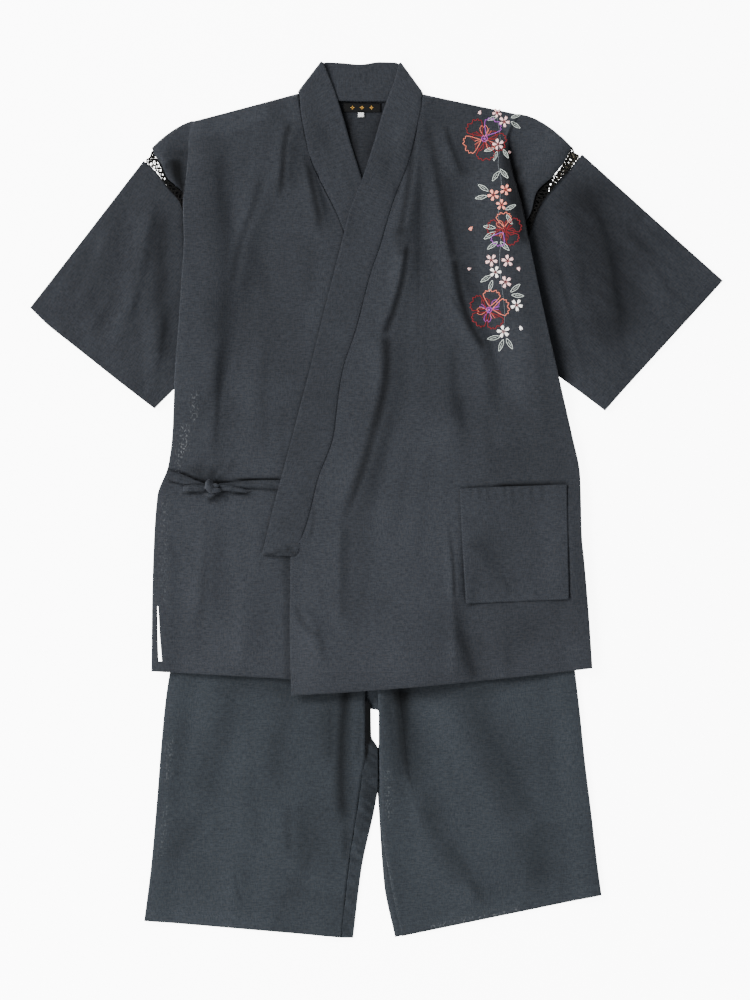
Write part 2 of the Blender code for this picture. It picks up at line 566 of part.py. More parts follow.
def grid_normals(x, y, z, ring):
    """Unit normals of a grid, with how far to offset each point to keep an even wall."""
    points = np.stack([x, y, z], axis=-1)
    if ring:
        ahead = np.roll(points, -1, axis=1) - points
        before = points - np.roll(points, 1, axis=1)
    else:
        ahead = np.concatenate([np.diff(points, axis=1), points[:, -1:] - points[:, -2:-1]], axis=1)
        before = np.concatenate([points[:, 1:2] - points[:, :1], np.diff(points, axis=1)], axis=1)
    down = np.gradient(points, axis=0)
    normals = [unit(np.cross(down, side)) for side in (before, ahead)]
    middle = unit(normals[0] + normals[1])
    mitre = 1 / np.clip(np.sum(middle * normals[0], axis=-1, keepdims=True), 0.72, 1.0)
    return middle * mitre


def unit(vectors):
    return vectors / np.maximum(np.linalg.norm(vectors, axis=-1, keepdims=True), 1e-12)


def material(name, colour, roughness):
    result = bpy.data.materials.new(name)
    result.use_nodes = True
    shader = result.node_tree.nodes["Principled BSDF"]
    shader.inputs["Base Color"].default_value = (*colour, 1.0)
    shader.inputs["Roughness"].default_value = roughness
    shader.inputs["Metallic"].default_value = 0.0
    result.diffuse_color = (*colour, 1.0)
    return result


def object_from(name, vertices, faces, colour, roughness=0.85):
    mesh = bpy.data.meshes.new(name)
    mesh.from_pydata([tuple(v) for v in vertices], [], faces)
    shape = bmesh.new()
    shape.from_mesh(mesh)
    bmesh.ops.recalc_face_normals(shape, faces=shape.faces)
    shape.to_mesh(mesh)
    shape.free()
    mesh.shade_smooth()
    piece = bpy.data.objects.new(name, mesh)
    piece.data.materials.append(material(name + "_cloth", colour, roughness))
    bpy.context.scene.collection.objects.link(piece)
    return piece


def wall(name, x, y, z, pile, thickness=CLOTH, ring=False, colour=CLOTH_NAVY, settle=False):
    """A closed solid round a grid of mid-points, which then counts as part of the pile."""
    normals = grid_normals(x, y, z, ring)
    if ring:
        centre = np.stack([x, y, z], axis=-1).mean(axis=1, keepdims=True)
        outward = np.sum((np.stack([x, y, z], axis=-1) - centre) * normals, axis=-1).sum()
        normals = normals * (1 if outward > 0 else -1)
    elif normals[..., 2].sum() < 0:
        normals = -normals
    middle = np.stack([x, y, z], axis=-1)
    outer = middle + normals * thickness / 2
    inner = middle - normals * thickness / 2
    outer[..., 2] = np.maximum(outer[..., 2], 0)
    inner[..., 2] = np.maximum(inner[..., 2], 0)
    rows, columns = x.shape
    vertices = np.concatenate([outer.reshape(-1, 3), inner.reshape(-1, 3)])
    half = rows * columns
    faces = []
    for i in range(rows - 1):
        for j in range(columns if ring else columns - 1):
            k = (j + 1) % columns
            quad = (i * columns + j, i * columns + k, (i + 1) * columns + k, (i + 1) * columns + j)
            faces.append(quad)
            faces.append(tuple(half + v for v in reversed(quad)))
    for a, b in rim(rows, columns, ring):
        faces.append((b, a, half + a, half + b))
    sink = pile.drop(vertices, faces) if settle else 0.0
    vertices[:, 2] -= sink
    pile.cover(outer[..., 0], outer[..., 1], np.maximum(outer[..., 2], inner[..., 2]) - sink)
    pile.solids.append((vertices, BVHTree.FromPolygons([Vector(v) for v in vertices], faces)))
    return object_from(name, vertices, faces, colour)


def rim(rows, columns, ring):
    """The edges round a grid, in the direction in which its faces use them."""
    last = (rows - 1) * columns
    if ring:
        for j in range(columns):
            k = (j + 1) % columns
            yield j, k
            yield last + k, last + j
        return
    for j in range(columns - 1):
        yield j, j + 1
        yield last + j + 1, last + j
    for i in range(rows - 1):
        yield (i + 1) * columns, i * columns
        yield i * columns + columns - 1, (i + 1) * columns + columns - 1


def flat_grid(table, spacing, columns):
    """Points between the left and right edges of a table's rows."""
    rows = read_rows(table, spacing)
    t = np.linspace(0, 1, columns + 1)
    x = rows["left_x"][:, None] * (1 - t) + rows["right_x"][:, None] * t
    y = rows["left_y"][:, None] * (1 - t) + rows["right_y"][:, None] * t
    return x, y


def laid(name, table, pile, spacing, columns, soften=0.008, thickness=CLOTH, colour=CLOTH_NAVY, settle=False):
    """A flat piece that rests on the pile."""
    x, y = flat_grid(table, spacing, columns)
    z = pile.lie(x, y, soften) + thickness / 2
    return wall(name, x, y, z, pile, thickness, colour=colour, settle=settle)


def back_panel(pile):
    """The jacket's back, with denser columns near its side edges, which come down to the floor."""
    rows = read_rows(BACK, 0.036)
    sides = np.array([0.0, 0.07, 0.14, 0.25, 0.45, 0.7, 1.0])
    xs = []
    ys = []
    stations = [("left", sides), ("neck_l", np.linspace(0, 1, 4)), ("neck_r", 1 - sides[::-1])]
    ends = ["neck_l", "neck_r", "right"]
    for (start, steps), end in zip(stations, ends):
        steps = steps if start == "left" else steps[1:]
        xs.append(rows[start + "_x"][:, None] * (1 - steps) + rows[end + "_x"][:, None] * steps)
        ys.append(rows[start + "_y"][:, None] * (1 - steps) + rows[end + "_y"][:, None] * steps)
    x = np.hstack(xs)
    y = np.hstack(ys)
    z = pile.lie(x, y, SOFT_PANEL) + CLOTH / 2
    return wall("jacket_back", x, y, z, pile)


def sleeve(name, table, pile, folds, rows_count=13, along_count=9, back_count=4):
    """A sleeve as a flattened tube, open at the cuff and at the armhole."""
    fields = {f: np.array([getattr(row, f) for row in table], float) for f in SleeveRow._fields}
    stops = np.concatenate([[0], np.cumsum(np.hypot(np.diff(fields["cuff_x"]), np.diff(fields["cuff_y"])))])
    stops = stops / stops[-1]
    inset = BEND / UNIT / SLEEVE_ROUND
    front_at = np.linspace(inset, 1 - inset, rows_count)
    back_at = np.linspace(1 - inset, inset, back_count)
    at = np.concatenate([[0.0], front_at, [1.0], back_at])
    is_back = np.concatenate([[0.5], np.zeros(rows_count), [0.5], np.ones(back_count)])
    side = {f: spline(stops, fields[f], at) for f in fields}
    arm_x = side["front_x"] * (1 - is_back) + side["back_x"] * is_back
    arm_y = side["front_y"] * (1 - is_back) + side["back_y"] * is_back
    s = np.linspace(0, 1, along_count + 1)[:, None]
    x = along_x(arm_x * (1 - s) + side["cuff_x"] * s)
    y = along_y(arm_y * (1 - s) + side["cuff_y"] * s)
    back = is_back == 1
    back_z = pile.rest(SLEEVE_REACH, SLEEVE_REACH, SOFT_STRIP)(x, y) + CLOTH / 2
    pile_with_back = Pile()
    pile_with_back.top = pile.top.copy()
    pile_with_back.cover(x[:, back], y[:, back], back_z[:, back] + CLOTH / 2)
    front_z = pile_with_back.rest(SLEEVE_REACH, SLEEVE_REACH, SOFT_STRIP)(x, y) + CLOTH / 2
    front_z = np.maximum(front_z, back_z + 2 * BEND) + fold_heights(folds, x, y)
    z = np.where(back, back_z, front_z)
    z[:, is_back == 0.5] = (back_z + front_z)[:, is_back == 0.5] / 2
    return wall(name, x, y, z, pile, ring=True)


def strip_grid(start_x, start_y, end_x, end_y):
    """Points across the band, a little inside both of its edges."""
    t = np.linspace(0.012, 0.988, 4)
    return start_x[:, None] * (1 - t) + end_x[:, None] * t, start_y[:, None] * (1 - t) + end_y[:, None] * t


def band_on_pile(table, seam, pile, spacing):
    """One stretch of the collar band, with the height it has on the pile."""
    rows = read_rows(table, spacing, seam)
    start = ("seam_x", "seam_y") if seam else ("inner_x", "inner_y")
    end = ("edge_x", "edge_y") if seam else ("outer_x", "outer_y")
    x, y = strip_grid(rows[start[0]], rows[start[1]], rows[end[0]], rows[end[1]])
    z = pile.rest(BAND_REACH, BAND_REACH, SOFT_BAND)(x, y) + BAND_CLOTH / 2
    pile.cover(x, y, z + BAND_CLOTH / 2)
    return x, y, z


def band_turn(row, low_z, high_z, inward):
    """Three sections that carry the band over its fold at the shoulder."""
    ends = [along_x([row.inner_x]), along_y([row.inner_y]), along_x([row.outer_x]), along_y([row.outer_y])]
    x, y = (grid[0] for grid in strip_grid(*ends))
    half = (high_z - low_z) / 2
    inset_x = inward[0] * BAND_TURN_INSET
    inset_y = inward[1] * BAND_TURN_INSET
    grid_x = np.array([x + inset_x, x, x + inset_x])
    grid_y = np.array([y + inset_y, y, y + inset_y])
    return grid_x, grid_y, np.array([low_z, low_z + half, high_z])


def lace(name, table, pile, pitch, open_units):
    """An openwork strip: diamonds between crossing cords where it shows, closed up where it is tucked away."""
    points = np.array(table, float)
    middle = (points[:, 0:2] + points[:, 2:4]) / 2
    stops = np.concatenate([[0.0], np.cumsum(np.hypot(*np.diff(middle, axis=0).T))])
    units = int(round(stops[-1] * UNIT / pitch))
    at = np.linspace(0, stops[-1], units + 1)
    seam_x, seam_y, edge_x, edge_y = (spline(stops, column, at) for column in points.T)

    def spot(station, across):
        i = min(int(station), units - 1)
        part = station - i
        inner = np.array([seam_x[i] + (seam_x[i + 1] - seam_x[i]) * part,
                          seam_y[i] + (seam_y[i + 1] - seam_y[i]) * part])
        outer = np.array([edge_x[i] + (edge_x[i + 1] - edge_x[i]) * part,
                          edge_y[i] + (edge_y[i + 1] - edge_y[i]) * part])
        return tuple(inner + (outer - inner) * across)

    places = []
    faces = []

    def polygon(*corners):
        face = []
        for corner in corners:
            if corner not in places:
                places.append(corner)
            face.append(places.index(corner))
        faces.append(tuple(face))

    for k in range(units):
        width = np.hypot(seam_x[k] - edge_x[k], seam_y[k] - edge_y[k]) * UNIT
        start = [(k, 0.0), (k, 0.5), (k, 1.0)]
        end = [(k + 1, 0.0), (k + 1, 0.5), (k + 1, 1.0)]
        if k < open_units and width > LACE_MIN_WIDTH:
            tip = LACE_CORD / pitch
            rise = 0.5 - LACE_CORD * 0.8 / width
            left, right = (k + tip, 0.5), (k + 1 - tip, 0.5)
            low, high = (k + 0.5, 0.5 - rise), (k + 0.5, 0.5 + rise)
            polygon(start[0], end[0], end[1], right, low, left, start[1])
            polygon(start[1], left, high, right, end[1], end[2], start[2])
        else:
            polygon(start[0], end[0], end[1], start[1])
            polygon(start[1], end[1], end[2], start[2])
    flat = np.array([spot(*place) for place in places])
    x = along_x(flat[:, 0])
    y = along_y(flat[:, 1])
    low = pile.rest(pitch, pitch, SOFT_SMALL)(x, y)
    high = low + CLOTH
    pile.stamp(x, y, high)
    return plate(name, x, y, low, high, faces, LACE_BLACK)


def plate(name, x, y, low, high, faces, colour):
    """A closed solid between a lower and an upper height over a flat mesh of faces."""
    count = len(x)
    vertices = np.vstack([np.stack([x, y, high], axis=1), np.stack([x, y, low], axis=1)])
    used = {}
    for face in faces:
        used.update(dict.fromkeys(zip(face, face[1:] + face[:1])))
    walls = [(b, a, a + count, b + count) for a, b in used if (b, a) not in used]
    under = [tuple(v + count for v in reversed(face)) for face in faces]
    return object_from(name, vertices, list(faces) + under + walls, colour)


def knot(pile):
    """The tightened knot of the two ties, as a small rounded bundle."""
    shape = bmesh.new()
    bmesh.ops.create_uvsphere(shape, u_segments=12, v_segments=8, radius=0.5)
    centre_x = float(along_x(KNOT_CENTRE[0]))
    centre_y = float(along_y(KNOT_CENTRE[1]))
    base = float(pile.rest(0.008, 0.008, 0.0)(np.array([centre_x]), np.array([centre_y]))[0])
    for vertex in shape.verts:
        vertex.co.x = centre_x + vertex.co.x * KNOT_SIZE[0]
        vertex.co.y = centre_y + vertex.co.y * KNOT_SIZE[1]
        vertex.co.z = base + max(vertex.co.z + 0.36, 0.0) * KNOT_SIZE[2]
    points = np.array([vertex.co for vertex in shape.verts])
    faces = [tuple(vertex.index for vertex in face.verts) for face in shape.faces]
    shape.free()
    points[:, 2] -= pile.drop(points, faces)
    return object_from("tie_knot", points, faces, CLOTH_NAVY)


def inseam_back(pile):
    """The right leg's back panel, which wraps round the inner edge up to the inseam."""
    rows = read_rows(SHORTS_BACK_RIGHT, 0.045)
    t = np.array([0.0, 0.25, 0.5, 0.75, 0.93])
    edge_x = rows["right_x"] - BEND * 1.2
    flat_x = rows["left_x"][:, None] * (1 - t) + edge_x[:, None] * t
    flat_y = rows["left_y"][:, None] * (1 - t) + rows["right_y"][:, None] * t
    down, deep = np.array(INSEAM_WRAP).T
    wrap = np.interp(CENTRE_Y - rows["right_y"] / UNIT, down, deep)
    angle = np.radians([-90, -30, 30, 90])
    bend = BEND * 1.2
    turn_x = edge_x[:, None] + bend * np.cos(angle)
    turn_z = np.repeat(CLOTH / 2 + bend * (1 + np.sin(angle))[None], len(turn_x), axis=0)
    back_t = np.array([0.5, 1.0])
    over_x = edge_x[:, None] - (wrap[:, None] + 0.002) * back_t
    over_z = np.full(over_x.shape, CLOTH / 2 + 2 * bend)
    x = np.hstack([flat_x, turn_x, over_x])
    y = np.hstack([flat_y, np.repeat(rows["right_y"][:, None], turn_x.shape[1] + 2, axis=1)])
    z = np.hstack([np.full(flat_x.shape, CLOTH / 2), turn_z, over_z])
    return wall("shorts_back_right", x, y, z, pile)


def slit_cutter():
    """The open stretch of the side slit, as a thin wedge through front and back."""
    points = []
    for height in (-0.01, 0.03):
        for left, down, right in SLIT:
            points.append((float(along_x(left)), float(along_y(down)), height))
        for left, down, right in reversed(SLIT):
            points.append((float(along_x(right)), float(along_y(down)), height))
    count = 2 * len(SLIT)
    faces = [tuple(range(count)), tuple(range(2 * count - 1, count - 1, -1))]
    faces += [(i, (i + 1) % count, count + (i + 1) % count, count + i) for i in range(count)]
    cutter = object_from("side_slit_cutter", points, faces, CLOTH_NAVY)
    cutter.hide_render = True
    cutter.display_type = "WIRE"
    return cutter


def cut(piece, cutter):
    modifier = piece.modifiers.new("side_slit", "BOOLEAN")
    modifier.operation = "DIFFERENCE"
    modifier.solver = "EXACT"
    modifier.object = cutter


def build_shorts(pile):
    laid("shorts_back_left", SHORTS_BACK_LEFT, pile, 0.045, 5)
    inseam_back(pile)
    x, y, z = panel(SHORTS_FRONT_RIGHT, INSEAM_RIGHT, pile, SHORTS_RIGHT_FOLDS, 0.029, 12, 1, -1)
    wall("shorts_front_right", x, y, z, pile)
    x, y, z = panel(SHORTS_FRONT_LEFT, INSEAM_LEFT, pile, SHORTS_LEFT_FOLDS, 0.029, 12, 1, 1)
    wall("shorts_front_left", x, y, z, pile)
    laid("waistband_back", WAIST_FRONT, pile, 0.02, 3)
    laid("waistband_front", WAIST_FRONT, pile, 0.02, 3)


def build_jacket(pile):
    back = back_panel(pile)
    lace("lace_back_right", LACE_BACK_RIGHT, pile, LACE_PITCH, 6)
    lace("lace_back_left", LACE_BACK_LEFT, pile, LACE_PITCH, 6)
    laid("neck_label", LABEL, pile, 0.011, 3, thickness=0.001, colour=LABEL_BLACK)
    laid("size_tab", SIZE_TAB, pile, 0.005, 1, thickness=0.001, colour=TAB_WHITE)
    sleeve("sleeve_right", SLEEVE_RIGHT, pile, SLEEVE_RIGHT_FOLDS)
    sleeve("sleeve_left", SLEEVE_LEFT, pile, SLEEVE_LEFT_FOLDS)
    lace("lace_front_right", LACE_FRONT_RIGHT, pile, LACE_PITCH, 10)
    lace("lace_front_left", LACE_FRONT_LEFT, pile, LACE_PITCH, 11)
    x, y, z = panel(FRONT_RIGHT, FRONT_RIGHT_EDGE, pile, JACKET_RIGHT_FOLDS, 0.028, 17, 2, -1, shoulder=True)
    front_right = wall("front_right", x, y, z, pile)
    band_behind = band_on_pile(BAND_BACK, None, pile, 0.03)
    band_under = band_on_pile(BAND_RIGHT, SEAM_RIGHT, pile, 0.022)
    x, y, z = panel(FRONT_LEFT, FRONT_LEFT_EDGE, pile, JACKET_LEFT_FOLDS, 0.028, 19, 2, 1,
                    bow=HEM_BOW, shoulder=True)
    wall("front_left", x, y, z, pile)
    band_over = band_on_pile(BAND_LEFT, SEAM_LEFT, pile, 0.022)
    turn_right = band_turn(BAND_TURN_RIGHT, band_behind[2][0], band_under[2][-1], (0.80, -0.60))
    turn_left = band_turn(BAND_TURN_LEFT, band_behind[2][-1], band_over[2][0], (-0.81, -0.59))
    turn_right = tuple(grid[::-1] for grid in turn_right)
    parts = [band_under, turn_right, band_behind, turn_left, band_over]
    x, y, z = (np.vstack([part[k] for part in parts]) for k in range(3))
    wall("collar_band", x, y, z, pile, BAND_CLOTH)
    laid("pocket", POCKET, pile, 0.018, 8, settle=True)
    laid("tie_side", TIE_SIDE, pile, 0.006, 2, soften=0.004, settle=True)
    laid("tie_front", TIE_FRONT, pile, 0.006, 2, soften=0.004, settle=True)
    laid("tie_tail_left", TAIL_LEFT, pile, 0.005, 2, soften=0.0, settle=True)
    laid("tie_tail_right", TAIL_RIGHT, pile, 0.005, 2, soften=0.0, settle=True)
    knot(pile)
    cutter = slit_cutter()
    cut(back, cutter)
    cut(front_right, cutter)


def main():
    for old in list(bpy.data.objects):
        bpy.data.objects.remove(old)
    pile = Pile()
    build_shorts(pile)
    build_jacket(pile)


main()
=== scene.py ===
"""The looks of the laid-out jinbei set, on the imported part's frame."""
import math
from collections import namedtuple

import bpy
import numpy as np
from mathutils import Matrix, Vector
from mathutils.bvhtree import BVHTree
from mathutils.kdtree import KDTree


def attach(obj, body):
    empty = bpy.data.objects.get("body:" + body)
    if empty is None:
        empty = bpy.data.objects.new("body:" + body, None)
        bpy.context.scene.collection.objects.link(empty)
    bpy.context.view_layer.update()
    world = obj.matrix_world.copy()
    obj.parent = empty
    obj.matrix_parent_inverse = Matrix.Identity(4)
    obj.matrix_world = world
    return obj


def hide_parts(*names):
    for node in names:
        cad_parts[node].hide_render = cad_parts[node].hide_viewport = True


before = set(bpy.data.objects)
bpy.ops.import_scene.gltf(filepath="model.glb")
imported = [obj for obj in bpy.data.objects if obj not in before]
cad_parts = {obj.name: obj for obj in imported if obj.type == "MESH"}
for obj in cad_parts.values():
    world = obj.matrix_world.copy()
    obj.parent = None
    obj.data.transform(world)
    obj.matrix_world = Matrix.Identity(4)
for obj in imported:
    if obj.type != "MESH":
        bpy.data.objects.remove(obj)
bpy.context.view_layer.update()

# Driving sizes
UNIT = 0.00125             # one layout unit, from a back length of 0.79 m
CENTRE_X = 376.0           # layout x of the origin
CENTRE_Y = 499.75          # layout y of the origin
CLOTH = 0.0013             # one layer of cloth
GAP = 0.00035              # clearance between pieces
BEND = 0.0012              # radius of a folded edge, at mid thickness
SHOULDER_WRAP = 0.007      # how far the fronts run behind the shoulder line
SLEEVE_ROUND = 200         # layout units across a sleeve
HEM_BOW = 0.0035           # how far the left front's hem bows down at its middle
BOW_DEPTH = 0.060          # how far above the hem the cloth follows that bow
BAND_TURN_INSET = 0.0022   # how far inside the shoulder fold the band's flat stretches end
CREST_FALL = 0.050         # how far a standing fold takes to sink back into its panel
CELL = 0.004               # grid of the height field that later layers rest on
SOFT_PANEL = 0.016         # how widely a panel rounds off what it lies on
SOFT_STRIP = 0.012         # the same for folds, sleeves and other narrow pieces
SOFT_BAND = 0.010          # the same for the collar band
SOFT_SMALL = 0.006         # the same for the openwork
FOOT_REACH = 0.008         # how far round its foot a standing fold looks for what carries it
SLEEVE_REACH = 0.020       # the same for a sleeve, a little more than its mesh is wide
BOWED_STRIP = 0.020        # a tucked strip wider than this bows out, as its table row says
FIELD_X = 0.46             # half the height field's width
FIELD_Y = 0.57             # half its length

Section = namedtuple("Section", "seam_y fold_x fold_y cap_x cap_y edge_x edge_y turn reach")
Edges = namedtuple("Edges", "left_x left_y right_x right_y")
Gable = namedtuple("Gable", "left_x left_y neck_l_x neck_l_y neck_r_x neck_r_y right_x right_y")
SleeveRow = namedtuple("SleeveRow", "front_x front_y back_x back_y cuff_x cuff_y")
BandRow = namedtuple("BandRow", "seam_y edge_x edge_y")
Strip = namedtuple("Strip", "inner_x inner_y outer_x outer_y")
Wrap = namedtuple("Wrap", "down depth")
Opening = namedtuple("Opening", "left down right")
Fold = namedtuple("Fold", "top_x top_y mid_x mid_y low_x low_y height wide steep")

# Seams between the collar band and each front, as layout x and y.
SEAM_LEFT = [
    (423.5, 94), (417.5, 126), (408, 165), (395.3, 197), (387.5, 221), (380.5, 245), (370, 276),
    (356.5, 328), (342, 374), (338, 400), (333.6, 436), (318.3, 479), (308.3, 519), (302.5, 536), (298, 557),
]
SEAM_RIGHT = [
    (297.5, 93), (301, 114), (305.5, 138), (310, 158), (316.5, 175), (324, 190), (338, 217), (346.6, 241),
    (354, 276), (366, 331), (379, 376), (389, 436), (407.7, 497), (419, 560),
]

# Jacket front, wearer's left, which lies on top. turn is how far the standing fold turns under, in
# degrees, and reach is how deep it is tucked, in metres.
FRONT_LEFT = [
    Section(94, 517, 114.5, 544, 124, 571, 147.5, 20, 0.004),
    Section(126, 507, 140, 537, 149, 563.4, 163, 70, 0.004),
    Section(165, 511.5, 170, 532, 173, 553, 176.5, 125, 0.007),
    Section(197, 517, 192, 526, 193, 536, 193.5, 150, 0.010),
    Section(221, 522, 211, 526, 212, 531, 212, 160, 0.013),
    Section(245, 527, 236.5, 516.5, 236, 518.5, 240, 165, 0.0155),
    Section(276, 535, 276, 519.5, 277, 521.5, 278, 165, 0.0205),
    Section(328, 547, 331, 532, 331, 534, 331, 165, 0.020),
    Section(374, 557, 374, 547, 374, 548.5, 374, 168, 0.014),
    Section(436, 571.5, 436, 568, 436, 569.5, 436, 178, 0.006),
    Section(479, 579.3, 476, 576.5, 476, 578, 476, 180, 0.004),
    Section(534, 581, 536, 578.2, 536, 579.7, 536, 180, 0.004),
    Section(562, 583.5, 562, 580.7, 562, 582.2, 562, 180, 0.004),
    Section(630, 588.7, 625, 585.9, 625, 587.4, 625, 180, 0.004),
    Section(695, 591.5, 668, 588.7, 668, 590.2, 668, 180, 0.004),
]
FRONT_LEFT_EDGE = [(419, 94)] + SEAM_LEFT[1:-1] + [(290.5, 560), (290, 630), (291.5, 695)]

# Jacket front, wearer's right. Its inner part is hidden under the other front.
FRONT_RIGHT = [
    Section(93, 194, 121.5, 172, 131.5, 152.5, 148.6, 20, 0.004),
    Section(116, 190, 142, 170, 148, 155, 156, 70, 0.004),
    Section(140, 188.5, 163, 174, 163, 162, 165, 125, 0.007),
    Section(162, 187, 180, 176, 178, 168, 179, 150, 0.008),
    Section(191, 184, 199, 180.5, 192, 177.5, 187, 160, 0.010),
    Section(217, 184.3, 218, 188.5, 210, 186.5, 197, 163, 0.0145),
    Section(243, 185, 240, 196, 236, 194, 227, 165, 0.019),
    Section(276, 183, 276, 198, 274, 196, 270, 165, 0.021),
    Section(331, 179.3, 331, 194, 330, 192, 330, 165, 0.020),
    Section(376, 176, 372, 188, 371, 186.5, 371, 168, 0.0145),
    Section(436, 173, 436, 176.5, 436, 175, 436, 178, 0.006),
    Section(466, 169, 466, 171.8, 466, 170.3, 466, 180, 0.004),
    Section(497, 158.2, 496, 161, 496, 159.5, 496, 180, 0.004),
    Section(548, 154.6, 548, 157.4, 548, 155.9, 548, 180, 0.004),
    Section(606, 153, 606, 155.8, 606, 154.3, 606, 180, 0.004),
    Section(684.5, 152.4, 671, 155.2, 671, 153.7, 671, 180, 0.004),
]
FRONT_RIGHT_EDGE = [(302, 93), (303, 114)] + SEAM_RIGHT[2:] + [(414, 620), (392, 685)]

# Jacket back, under everything but the shorts. Its armholes run straighter than the fronts'.
BACK = [
    Gable(155, 155.4, 298, 95.3, 423, 96.2, 568, 154.6),
    Gable(166, 182, 300, 150, 420, 150, 549, 188),
    Gable(171, 230, 300, 220, 420, 220, 545, 232),
    Gable(174.5, 310, 300, 310, 420, 310, 549, 310),
    Gable(177.5, 386, 300, 386, 420, 386, 556, 380),
    Gable(176, 440, 300, 440, 420, 440, 570.5, 440),
    Gable(172, 468, 300, 468, 420, 468, 577, 468),
    Gable(160, 500, 300, 500, 420, 500, 579.2, 500),
    Gable(156, 560, 300, 560, 420, 560, 582, 560),
    Gable(154.4, 615, 300, 615, 420, 615, 586.5, 615),
    Gable(154, 666, 300, 677.5, 420, 680.5, 589.5, 664),
]

SLEEVE_RIGHT = [
    SleeveRow(144.2, 161.5, 144.2, 161.5, 30.5, 308),
    SleeveRow(155, 170.8, 151, 178, 48, 325),
    SleeveRow(168.5, 188.5, 157, 199, 70, 342.5),
    SleeveRow(185.5, 212, 163, 240, 94, 361.5),
    SleeveRow(187.6, 275, 167, 300, 118, 380.5),
    SleeveRow(183, 345, 169.5, 352, 138, 396),
    SleeveRow(177, 387, 173, 388, 154.5, 408.5),
]

SLEEVE_LEFT = [
    SleeveRow(581.5, 155, 581.5, 155, 722.5, 281),
    SleeveRow(567.5, 172, 571.5, 171, 703, 302.5),
    SleeveRow(550.5, 190.5, 561, 190, 682, 325.5),
    SleeveRow(535, 214, 553, 225, 661, 348.5),
    SleeveRow(527, 240, 553.5, 256, 651, 359.5),
    SleeveRow(529.3, 275, 554, 290, 640, 371.5),
    SleeveRow(542, 338, 560, 342, 620, 393.5),
    SleeveRow(557.5, 376, 563.5, 376, 605, 410.5),
]

# Collar band from the hidden end on the wearer's right, up to that shoulder, and the other way.
BAND_RIGHT = [
    BandRow(558, 456, 552), BandRow(497, 444.5, 490), BandRow(436, 425.5, 427), BandRow(331, 402, 320),
    BandRow(276, 390, 264), BandRow(243, 379, 225), BandRow(216.5, 371, 200), BandRow(190, 361, 176),
    BandRow(175, 356.5, 162), BandRow(158, 350.5, 143), BandRow(138, 343.8, 120), BandRow(114, 335, 92),
]
BAND_BACK = [
    Strip(309, 100.4, 327, 62.4), Strip(341, 101.4, 343, 63.2), Strip(360, 101.8, 360, 64.7),
    Strip(380, 101.9, 379, 62.2), Strip(411, 101.4, 395.5, 62.6),
]
BAND_LEFT = [
    BandRow(106, 394.5, 82), BandRow(126, 385, 106), BandRow(165, 373.5, 144), BandRow(197, 361.5, 181),
    BandRow(221, 351, 207.5), BandRow(245, 343, 237.5), BandRow(276, 334.5, 271), BandRow(328, 320.5, 326),
    BandRow(374, 308.5, 374.5), BandRow(436, 292.7, 436), BandRow(479, 281.2, 479), BandRow(519, 271, 518),
    BandRow(534, 266.5, 537), BandRow(556, 262, 554.5),
]
BAND_TURN_RIGHT = Strip(298, 93, 321.5, 62)
BAND_TURN_LEFT = Strip(423, 94, 400.5, 63)

# Openwork strips at the armholes: inner edge on the body, outer edge on the sleeve.
LACE_FRONT_RIGHT = [
    Strip(152.2, 152.3, 146.6, 160.8), Strip(154.6, 157, 149.5, 165.5), Strip(161.2, 166.3, 156.5, 170.6),
    Strip(167, 180, 164.5, 182.5), Strip(176.6, 188.3, 171.3, 191.2), Strip(185, 196.5, 180.5, 203.5),
    Strip(193, 226, 186.4, 226), Strip(195.3, 270, 188.6, 270), Strip(191.2, 330, 184.8, 330),
    Strip(185.6, 371, 180.1, 371),
]
LACE_FRONT_LEFT = [
    Strip(571.6, 148.5, 578.6, 156.5), Strip(564.2, 164, 570, 168.6), Strip(553.8, 177.2, 558.5, 181.8),
    Strip(537.2, 194.6, 545, 197.8), Strip(531.8, 212, 536, 213.6), Strip(523.2, 232, 529, 235),
    Strip(519.2, 245, 525.5, 246), Strip(522.3, 278, 528.8, 278), Strip(534.8, 331, 541.3, 331),
    Strip(549.3, 372, 554.8, 372),
]
LACE_BACK_RIGHT = [
    Strip(153.8, 153, 146, 161.8), Strip(158.5, 167, 151, 174), Strip(165, 182.5, 157, 191),
    Strip(170, 230, 162.2, 232), Strip(173.5, 310, 168.2, 309), Strip(176.6, 384, 172, 382),
]
LACE_BACK_LEFT = [
    Strip(569.2, 151, 579, 157.5), Strip(560, 169.5, 569.5, 174), Strip(550, 188.5, 559.5, 193),
    Strip(546, 232, 554, 232), Strip(550, 310, 556.4, 309), Strip(557, 378, 562.5, 374),
]

# Shorts. The fronts' outer edges turn under, and the right back wraps round to the inseam.
SHORTS_FRONT_RIGHT = [
    Section(486, 226, 486, 228.8, 486, 227.3, 486, 180, 0.004),
    Section(560, 196, 560, 198.8, 560, 197.3, 560, 180, 0.004),
    Section(640, 177, 640, 179.8, 640, 178.3, 640, 180, 0.004),
    Section(700, 166.8, 695, 169.6, 695, 168.1, 695, 180, 0.004),
    Section(750, 162, 743, 164.8, 743, 163.3, 743, 180, 0.004),
    Section(802, 157.6, 799, 160.4, 799, 158.9, 799, 180, 0.004),
    Section(864, 152, 863, 154.8, 863, 153.3, 863, 180, 0.004),
    Section(937.2, 144.8, 920.5, 147.6, 920.5, 146.1, 920.5, 180, 0.004),
]
INSEAM_RIGHT = [
    (373, 486), (373, 560), (371, 640), (365.2, 700), (365, 750), (358, 802), (348.7, 864), (341, 938),
]
